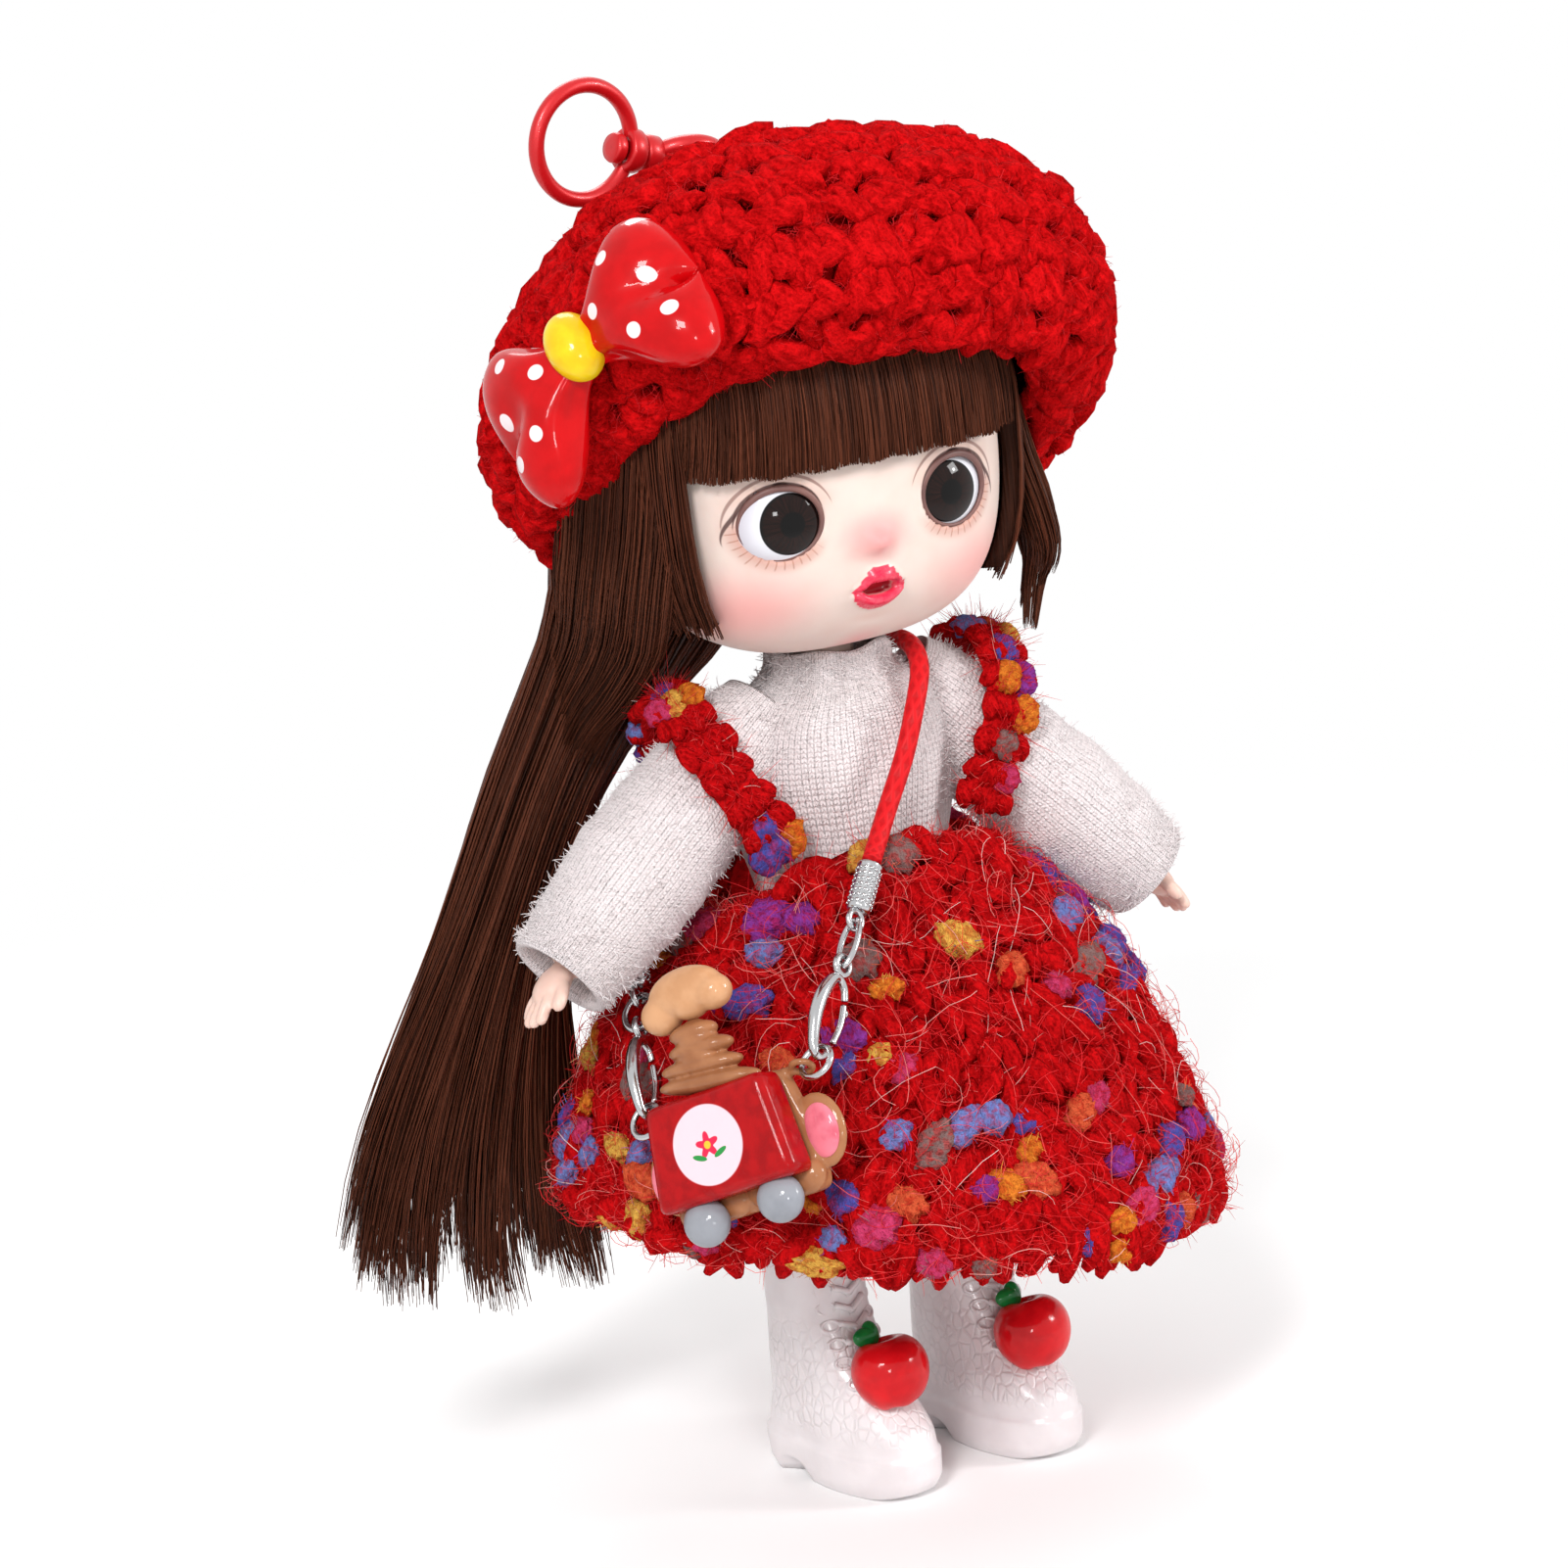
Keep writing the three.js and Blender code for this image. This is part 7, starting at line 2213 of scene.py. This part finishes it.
@dataclass
class Bag:
    """The resin bag: base with two tabs, red box with a pale panel, swirl, biscuit and feet."""

    front: Vector = field(default_factory=lambda: Vector((-24, -34.8, 65.8)))
    back: Vector = field(default_factory=lambda: Vector((-38.2, -15.9, 57.2)))
    out: Vector = field(default_factory=lambda: Vector((-0.828, -0.493, 0.269)))
    width: float = 17.0
    height: float = 11.6
    depth: float = 5.4
    middle: float = -5.6

    def line(self) -> Vector:
        """The way along the bag's two rings."""
        return (self.front - self.back).normalized()

    def place(self) -> Matrix:
        """The bag's frame: X along its rings, Y into the dress, Z up it."""
        x, y = self.line(), -self.out
        z = x.cross(y)
        return Matrix.Translation((self.front + self.back) / 2) @ Matrix((x, y, z)).transposed().to_4x4()

    @staticmethod
    def cushion(outline: Sequence[tuple[float, float]], front: float, depth: float, edge: float) -> Shape:
        """A plate with softly rounded edges, seen along Y.

        Args:
            outline: The corners of its outline, as X and Z.
            front: Where its front is on Y.
            depth: How thick it is.
            edge: The radius of its rounded edges.

        Returns:
            The closed shape.
        """
        sides, loops = 96, []
        corners = [Vector((x, 0, z)) for x, z in outline]
        lengths = [(corners[(i + 1) % len(corners)] - c).length for i, c in enumerate(corners)]
        total = sum(lengths)
        for k in range(sides):
            want = total * k / sides
            for i, length in enumerate(lengths):
                if want <= length:
                    loops.append(corners[i].lerp(corners[(i + 1) % len(corners)], want / length))
                    break
                want -= length
        for _ in range(3):
            loops = [(loops[k - 1] + loops[k] * 2 + loops[(k + 1) % sides]) / 4 for k in range(sides)]
        middle = sum(loops, Vector()) / sides
        rings = []
        for i in range(13):
            a = math.pi / 2 * (i / 6 if i <= 6 else (12 - i) / 6)
            inset = edge * (1 - math.sin(a))
            y = front + edge * (1 - math.cos(a)) if i <= 6 else front + depth - edge * (1 - math.cos(a))
            rings.append([p + (middle - p).normalized() * inset + Vector((0, y, 0)) for p in loops])
        inner = [q + (middle - q).normalized() * edge for q in loops]
        cap = []
        for f in (0.05, 0.4, 0.75, 0.92):
            lift = Vector((0, front - 0.3 * (1 - f) * 0.6, 0))
            cap.append([middle + (p - middle) * f + lift for p in inner])
        return loft(cap + rings)

    def build(self, finish: Finish) -> None:
        """Builds the bag's pieces."""
        place = self.place()
        w, low, high = self.width / 2, self.middle - self.height / 2, self.middle + self.height / 2
        slab = [(-w - 1.6, low - 3.2), (w + 1.6, low - 3.2), (w + 2, low + 3), (w - 0.4, high + 0.5),
                (-w + 0.4, high + 0.5), (-w - 2, low + 3)]
        reach = (self.front - self.back).length / 2 - 2.1
        base = [self.cushion(slab, -1.3, 2.5, 0.7)]
        for way in (-1, 1):
            base.append(egg(3.6, 1.15, 4.6, (way * (w + 2.1), 0.05, self.middle - 2.2)))
            base.append(torus(1.25, 0.45, turned((way * reach, 0, 0), x=-30)))
            stem = [Vector((way * (w - 2 + (reach - 1.25 - w + 2) * i / 6), 0, 0)) for i in range(7)]
            base.append(tube(stem, 0.65))
            base.append(egg(2.3, 1.5, 2.0, (way * 2.2, -1.6, low - 1.4)))
            base.append(egg(2.6, 1.6, 2.2, (way * 8.0, -1.2, low - 1.2)))
        piece = melted("bag_back", [shape.moved(place) for shape in base], 0.24, 4, finish.cocoa)
        settled(piece, Body.BAG, ("bag_base",))
        pads = [egg(2.35, 0.8, 3.3, (way * (w + 2.75), -0.75, self.middle - 2.3)) for way in (-1, 1)]
        pair = pads[0].joined(pads[1]).moved(place)
        settled(pair.build("bag_side_pads", finish.pink), Body.BAG)
        face = [(-w - 1.7, low - 0.9), (w + 1.5, low - 0.9), (w + 0.1, high + 0.3), (-w - 0.1, high + 0.3)]
        look = Panel("bag_panel", place, (-0.6, self.middle - 0.4, 4.9, 4.8)).build()
        box = self.cushion(face, -1.5 - self.depth, self.depth, 1.5).moved(place)
        settled(box.build("bag_red_box", look), Body.BAG, ("bag_box",))
        for way, word in ((-1, "left"), (1, "right")):
            foot = egg(3.0, 2.3, 2.9, (way * 5.4, -4.0, low - 3.0), 40, 28).moved(place)
            settled(foot.build("bag_wheel_" + word, finish.grey), Body.BAG, ("bag_foot_" + word,))
        self.topping(place, high, finish)

    def topping(self, place: Matrix, high: float, finish: Finish) -> None:
        """The swirl and the biscuit on it."""
        swirl = [egg(3.0, 2.2, 4.4, (0, -4.1, high + 4.6))]
        for i, wide in enumerate((7.1, 5.7, 4.5, 3.3)):
            tilt = turned((0.25 * (-1) ** i, -4.1, high + 1.25 + 2.05 * i), y=7 - 2 * i)
            swirl.append(egg(wide, 2.75 - 0.2 * i, 1.3, (0, 0, 0), 48, 24).moved(tilt))
        piece = melted("bag_cream", [shape.moved(place) for shape in swirl], 0.2, 1, finish.cocoa)
        settled(piece, Body.BAG, ("bag_swirl",))
        top = high + 9.1
        cap = [egg(5.3, 2.6, 3.1, (0.2, -4.1, top + 3.1)), egg(2.7, 2.3, 2.4, (-3.9, -4.1, top + 1.4)),
               egg(2.6, 2.3, 2.2, (3.7, -4.1, top + 2.2)), egg(2.4, 2.3, 1.9, (0.4, -4.3, top + 1.6))]
        piece = melted("bag_biscuit_cap", [shape.moved(place) for shape in cap], 0.26, 4, finish.biscuit)
        settled(piece, Body.BAG, ("bag_biscuit",))


@dataclass
class Boot:
    """A moulded vinyl boot with laces, and its glossy apple."""

    side: Side
    leg_x: float = 10.2
    toe: float = -17.5
    length: float = 28.5
    width: float = 12.8
    turn: float = 13.0
    top: float = 34.0
    ankle: float = 1.5
    shaft: float = 6.1

    def outline(self, z: float) -> tuple[float, float, float]:
        """Front, back and half width of the boot at a height."""
        heel, half = self.toe + self.length, self.width / 2
        front, back = self.ankle - self.shaft, self.ankle + self.shaft
        rows = ((0, self.toe + 0.9, heel - 0.9, half - 0.9), (1.5, self.toe + 0.1, heel - 0.3, half - 0.15),
                (4.2, self.toe, heel, half + 0.05), (5.2, self.toe - 0.05, heel - 0.1, half + 0.05),
                (5.8, self.toe + 0.3, heel - 0.6, half - 0.35), (8, self.toe + 0.9, heel - 1.3, half - 0.2),
                (10.8, self.toe + 3.4, heel - 2.1, half - 0.5),
                (13.4, self.toe + 6.6, back + 1.3, half - 0.8),
                (16.5, front - 3.4, back + 0.7, 5.7), (22, front - 0.9, back, 5.6),
                (28, front - 0.2, back - 0.2, 5.9), (self.top, front, back - 0.3, self.shaft))
        for low, high in zip(rows, rows[1:]):
            if z <= high[0]:
                f = (z - low[0]) / (high[0] - low[0])
                return tuple(a + (b - a) * f for a, b in zip(low[1:], high[1:]))
        return rows[-1][1:]

    def place(self) -> Matrix:
        """The boot's own frame, with its toe along -Y."""
        spin = Matrix.Rotation(math.radians(self.turn), 4, "Z")
        return Matrix.Translation((self.side.value * self.leg_x, 0, 0)) @ spin

    def skin(self) -> Shape:
        """The boot's outside with its arched sole, and the opening at its top."""
        rings = []
        sole = [0, 0.35, 0.8, 1.5, 2.4, 3.3, 4.2, 4.8, 5.2, 5.5, 5.8, 6.3]
        sides = 88
        for z in sole + [7 + 27 * i / 40 for i in range(41)]:
            front, back, half = self.outline(z)
            if z > sole[-1]:
                near = [self.outline(z + d) for d in (-0.5, 0, 0.5)]
                front, back, half = (sum(values) / 3 for values in zip(*near))
            middle, reach = (front + back) / 2, (back - front) / 2
            ring = []
            for p in ellipse(Vector((0, middle, z)), half, reach, sides, 0.8):
                arch = math.sqrt(max(0.0, 11.5 - (p.y - self.ankle - 1.6) ** 2)) - 1.2
                lift = max(0.0, arch) * clamp(1 - z / 4.5)
                spring = 0.9 * ease(p.y, self.toe + 6, self.toe) * clamp(1 - z / 6)
                waist = 1 - 0.1 * bell((p.y - 0.5) / 3.5) * ease(z, 9, 5)
                ring.append(Vector((p.x * waist, p.y, z + lift + spring)))
            rings.append(ring)
        for z, r in ((34.4, 5.9), (34.5, 5.5), (34.2, 5.0), (32, 4.7), (28, 4.5)):
            rings.append(ellipse(Vector((0, self.ankle - 0.1, z)), r, r, sides, 0.86))
        return loft(rings)

    def build(self, tree: PlaceTree, finish: Finish, look: bpy.types.Material) -> None:
        """Builds the boot, its laces and its apple."""
        word = self.side.word
        body, at = "lower_leg_" + word, self.place()
        spin = at.to_3x3()
        settled(self.skin().moved(at).build("boot_vinyl_" + word, look), body, ("boot_" + word,))
        bars, loops = Spots(), Spots()
        for row in range(8):
            z = 14.2 + 2.25 * row
            front = self.outline(z)[0]
            lean = self.outline(z + 1)[0] - self.outline(z - 1)[0]
            out = Vector((0, -2, lean)).normalized()
            for way in (-1, 1):
                middle = at @ Vector((way * 0.9, front - 0.05, z))
                bars.add(middle, spin @ Vector((1, 0, way * 0.55)), spin @ out, (1, 1, 1))
                eye = at @ Vector((way * 3.1, front + 0.95, z + 0.3))
                aside = spin @ (out + Vector((way * 0.55, 0, 0)))
                loops.add(eye, spin @ Vector((1, way * 0.5, 0)), aside, (1, 1, 1))
        bar = tube([Vector((-1.5 + 0.5 * i, 0, 0.28 * math.sin(math.pi * i / 6))) for i in range(7)], 0.42, 8)
        piece = bars.fill("laces_" + word, tree, bar, look, turn=0.06, own=False)
        settled(piece, body)
        eyelet = torus(0.72, 0.26, Matrix.Identity(4), 1.6, 14, 6)
        piece = loops.fill("lace_eyelets_" + word, tree, eyelet, look, own=False)
        settled(piece, body)
        self.apple(finish)

    def apple(self, finish: Finish) -> None:
        """The apple on the toe, with its leaf and stalk."""
        word = self.side.word
        body, place = "lower_leg_" + word, self.place() @ turned((0, -12.2, 15.8), x=-14)
        high, rings = 40, []
        for i in range(high + 1):
            up = latitude(i, high, 0.006)
            ring = []
            for a in circle(64):
                lobe = 1 - 0.09 * ease(-math.sin(up), 0.2, 1) * (0.5 + 0.5 * math.cos(4 * a + 0.7))
                r = 5.1 * math.cos(up) ** 0.86 * (1 + 0.06 * math.sin(up)) * lobe
                dimple = 1.5 * bell(r / 1.5) * (1 if up > 0 else 0.8)
                z = 4.7 * math.sin(up) - math.copysign(dimple, up) - 0.35 * (1 - lobe) * 10 * (up < 0)
                ring.append(Vector((r * math.cos(a), r * 0.9 * math.sin(a), z)))
            rings.append(ring)
        fruit = loft(rings).moved(place).build("apple_fruit_" + word, finish.red)
        settled(fruit, body, ("apple_" + word,))
        leaf = egg(1.9, 0.8, 1.25, (-2.3, 1.2, 4.7), 24, 16).moved(Matrix.Rotation(0.15, 4, "Y"))
        stalk = egg(1.25, 0.85, 1.7, (-0.5, 1.5, 5.1), 24, 16)
        green = leaf.joined(stalk).moved(place)
        settled(green.build("apple_leaf_" + word, finish.green), body)


@dataclass(frozen=True)
class BootVinyl:
    """Glossy white vinyl with moulded creases over the foot, whose crease lines are darkened as painted
    shade.
    """

    name: str = "boot_vinyl"

    def build(self) -> bpy.types.Material:
        """Makes the material."""
        look = Look(self.name)
        place = look.doll()
        _, _, z = look.parts(place)
        scales = look.node("ShaderNodeTexVoronoi", {"feature": "DISTANCE_TO_EDGE"}, {
            "Vector": look.stretched(place, (0.9, 0.75, 0.55)), "Scale": 1.0})
        region = z.step(6.5, 9) * z.step(24, 17)
        ribs = (z * 3.4 + look.grain(place, 0.2, 2) * 4.0).sine() * 0.5 + 0.5
        height = scales.step(0.02, 0.16) * region + ribs * region * 0.25 + look.grain(place, 1.2, 3) * 0.3
        soft = look.grain(place, 0.2, 3)
        colour = look.mix(soft.step(0.3, 0.7), (0.75, 0.7, 0.71), (0.69, 0.635, 0.645))
        # The crease lines between the scales are darkened: painted shade in the creases
        colour = look.mix((1 - scales.step(0.0, 0.1)) * region * 0.25, colour, (0.52, 0.46, 0.46))
        normal = look.bump(height, 0.16, 0.55)
        return look.done(Base_Color=colour, Roughness=0.28 + soft * 0.1, Normal=normal, Subsurface_Weight=0.1,
                         Subsurface_Radius=(0.002, 0.0015, 0.0012), Coat_Weight=0.5, Coat_Roughness=0.12)


class Hidden(Enum):
    """CAD nodes whose own shape stays, by the finish that they get."""

    SKIN = "skin"
    WHITE = "white"


def dress_the_rest(finish: Finish) -> None:
    """Gives the jointed body under the clothes its vinyl."""
    kept = {Hidden.SKIN: ["torso", "neck_post", "skull_cap"], Hidden.WHITE: []}
    for side in Side:
        kept[Hidden.SKIN] += [f"{part}_{side.word}" for part in ("thigh", "shin", "upper_arm", "forearm")]
        kept[Hidden.WHITE] += [f"{part}_{side.word}" for part in ("hip_peg", "shoulder_peg")]
    for kind, names in kept.items():
        for name in names:
            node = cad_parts[name]
            node.data.materials.clear()
            node.data.materials.append(finish.skin if kind is Hidden.SKIN else finish.white)
            LOG.info("%s keeps its shape", name)


@dataclass
class Studio:
    """Floor, lamps, world and the camera at the photograph's angle."""

    azimuth: float = -26.0
    elevation: float = 15.0
    roll: float = 6.0
    distance: float = 700.0
    target: Vector = field(default_factory=lambda: Vector((0, 0, 84)))
    lens: float = 129.65
    shift: tuple[float, float] = (-0.03856, 0.0205)
    ambient: float = 0.6
    surround: float = 1.0

    def camera(self) -> None:
        """Sets the camera."""
        az, el, roll = (math.radians(v) for v in (self.azimuth, self.elevation, self.roll))
        look = Vector((-math.sin(az) * math.cos(el), math.cos(az) * math.cos(el), -math.sin(el)))
        right = Vector((math.cos(az), math.sin(az), 0))
        up = right.cross(look)
        turned_right = right * math.cos(roll) - up * math.sin(roll)
        turned_up = right * math.sin(roll) + up * math.cos(roll)
        data = bpy.data.cameras.new("camera")
        data.lens, data.sensor_width = self.lens, 36.0
        data.shift_x, data.shift_y = self.shift
        data.clip_start, data.clip_end = 0.05, 20.0
        camera = linked("camera", data)
        turn = Matrix((turned_right, turned_up, -look)).transposed().to_4x4()
        camera.matrix_world = Matrix.Translation((self.target + SHIFT - look * self.distance) * MM) @ turn
        bpy.context.scene.camera = camera

    def lamp(self, name: str, at: Sequence[float], size: float, power: float, shape: str = "SQUARE") -> None:
        """Adds a soft area lamp that points at the doll's middle.

        Args:
            name: The lamp's name.
            at: Where it is, in metres.
            size: How wide it is, in metres.
            power: Its power in watts.
            shape: The shape of its area.
        """
        data = bpy.data.lights.new(name, "AREA")
        data.shape, data.size, data.energy = shape, size, power
        lamp, place = linked(name, data), Vector(at)
        turn = (Vector((0, 0, 0.09)) - place).to_track_quat("-Z", "Y")
        lamp.matrix_world = Matrix.Translation(place) @ turn.to_matrix().to_4x4()

    def floor(self) -> None:
        """A plain pale floor that keeps the shadow."""
        side = 1.5
        mesh = bpy.data.meshes.new("floor")
        corners = [(-side, -side, 0), (side, -side, 0), (side, side, 0), (-side, side, 0)]
        mesh.from_pydata(corners, [], [(0, 1, 2, 3)])
        floor = linked("floor", mesh)
        look = Look("pale_floor")
        place = look.doll()
        speck = look.grain(place, 0.02, 2)
        colour = look.mix(speck, (0.9, 0.9, 0.9), (0.93, 0.93, 0.93))
        x, y, _ = look.parts(place)
        far = look.math("SQRT", x * x + y * y)
        mesh.materials.append(look.done(Base_Color=colour, Roughness=0.9, Alpha=far.step(330, 110)))

    def world(self) -> None:
        """A white surround for the camera and for reflections, plain soft light for the rest."""
        world = bpy.data.worlds.new("surround")
        bpy.context.scene.world = world
        world.use_nodes = True
        tree = world.node_tree
        tree.nodes.clear()
        path = tree.nodes.new("ShaderNodeLightPath")
        seen = None
        for label in ("Is Camera Ray", "Is Glossy Ray", "Is Transmission Ray"):
            if seen is None:
                seen = path.outputs[label]
                continue
            both = tree.nodes.new("ShaderNodeMath")
            both.operation = "MAXIMUM"
            tree.links.new(seen, both.inputs[0])
            tree.links.new(path.outputs[label], both.inputs[1])
            seen = both.outputs[0]
        mixed, end = tree.nodes.new("ShaderNodeMixShader"), tree.nodes.new("ShaderNodeOutputWorld")
        tree.links.new(seen, mixed.inputs[0])
        for socket, strength in ((1, self.ambient), (2, self.surround)):
            background = tree.nodes.new("ShaderNodeBackground")
            background.inputs["Color"].default_value = (1, 1, 1, 1)
            background.inputs["Strength"].default_value = strength
            tree.links.new(background.outputs[0], mixed.inputs[socket])
        tree.links.new(mixed.outputs[0], end.inputs["Surface"])

    def light(self) -> None:
        """Sets the floor, the world and the lamps."""
        self.floor()
        self.world()
        self.lamp("key", (-0.6, -0.7, 0.8), 0.26, 8.4)
        self.lamp("fill", (0.85, -0.6, 0.5), 0.3, 4.5)
        self.lamp("back", (0.3, 0.8, 0.8), 0.5, 4.0)
        self.lamp("spark", (0.8, -0.56, 0.42), 0.07, 1.1)
        self.lamp("glint", (-0.72, -0.62, 0.6), 0.09, 0.9)
        self.lamp("gleam", (-0.325, -1.135, 0.343), 0.14, 1.8)
        bpy.context.scene.view_settings.view_transform = "Standard"


def main() -> None:
    """Builds the charm piece by piece."""
    logging.basicConfig(level=logging.INFO, format="%(message)s")
    studio = Studio()
    studio.camera()
    BagCord().build()
    studio.light()
    finish = Finish()
    strands, placed = StrandTree(), PlaceTree()
    dress_the_rest(finish)
    boot_look = BootVinyl().build()
    for side in Side:
        Boot(side).build(placed, finish, boot_look)
    sweater = Sweater()
    sweater.body()
    sweater.sleeves()
    sweater.hands(finish)
    sweater.lint(strands, finish)
    dress = Dress()
    dress.shell(finish)
    dress.stitches(placed, strands, finish)
    dress.straps(placed, finish)
    dress.curls(strands, finish)
    bag = Bag()
    bag.build(finish)
    BagChain("front", bag.front, Vector((0.59, 0.48, 0.65)), bag.line()).build(placed, finish)
    BagChain("side", bag.back, Vector((0.344, 0.683, 0.644)), bag.line()).build(placed, finish)
    head = Head()
    head.face(Face("painted_face", head.eye[0], head.eye[1], head.eye_half, head.shift).build())
    head.eyes()
    hair = HairDo(head)
    hair.bangs(strands, finish)
    hair.nape(strands, finish)
    hair.temples(strands, finish)
    hair.long_fall(strands, finish)
    beret = Beret()
    beret.shell(finish)
    beret.stitches(placed, finish)
    beret.fuzz(strands, finish)
    Bow().build(finish)
    KeyClasp(beret).build(finish)
    for tree in (strands, placed):
        bpy.data.node_groups.remove(tree.tree)


if __name__ == "__main__":
    main()
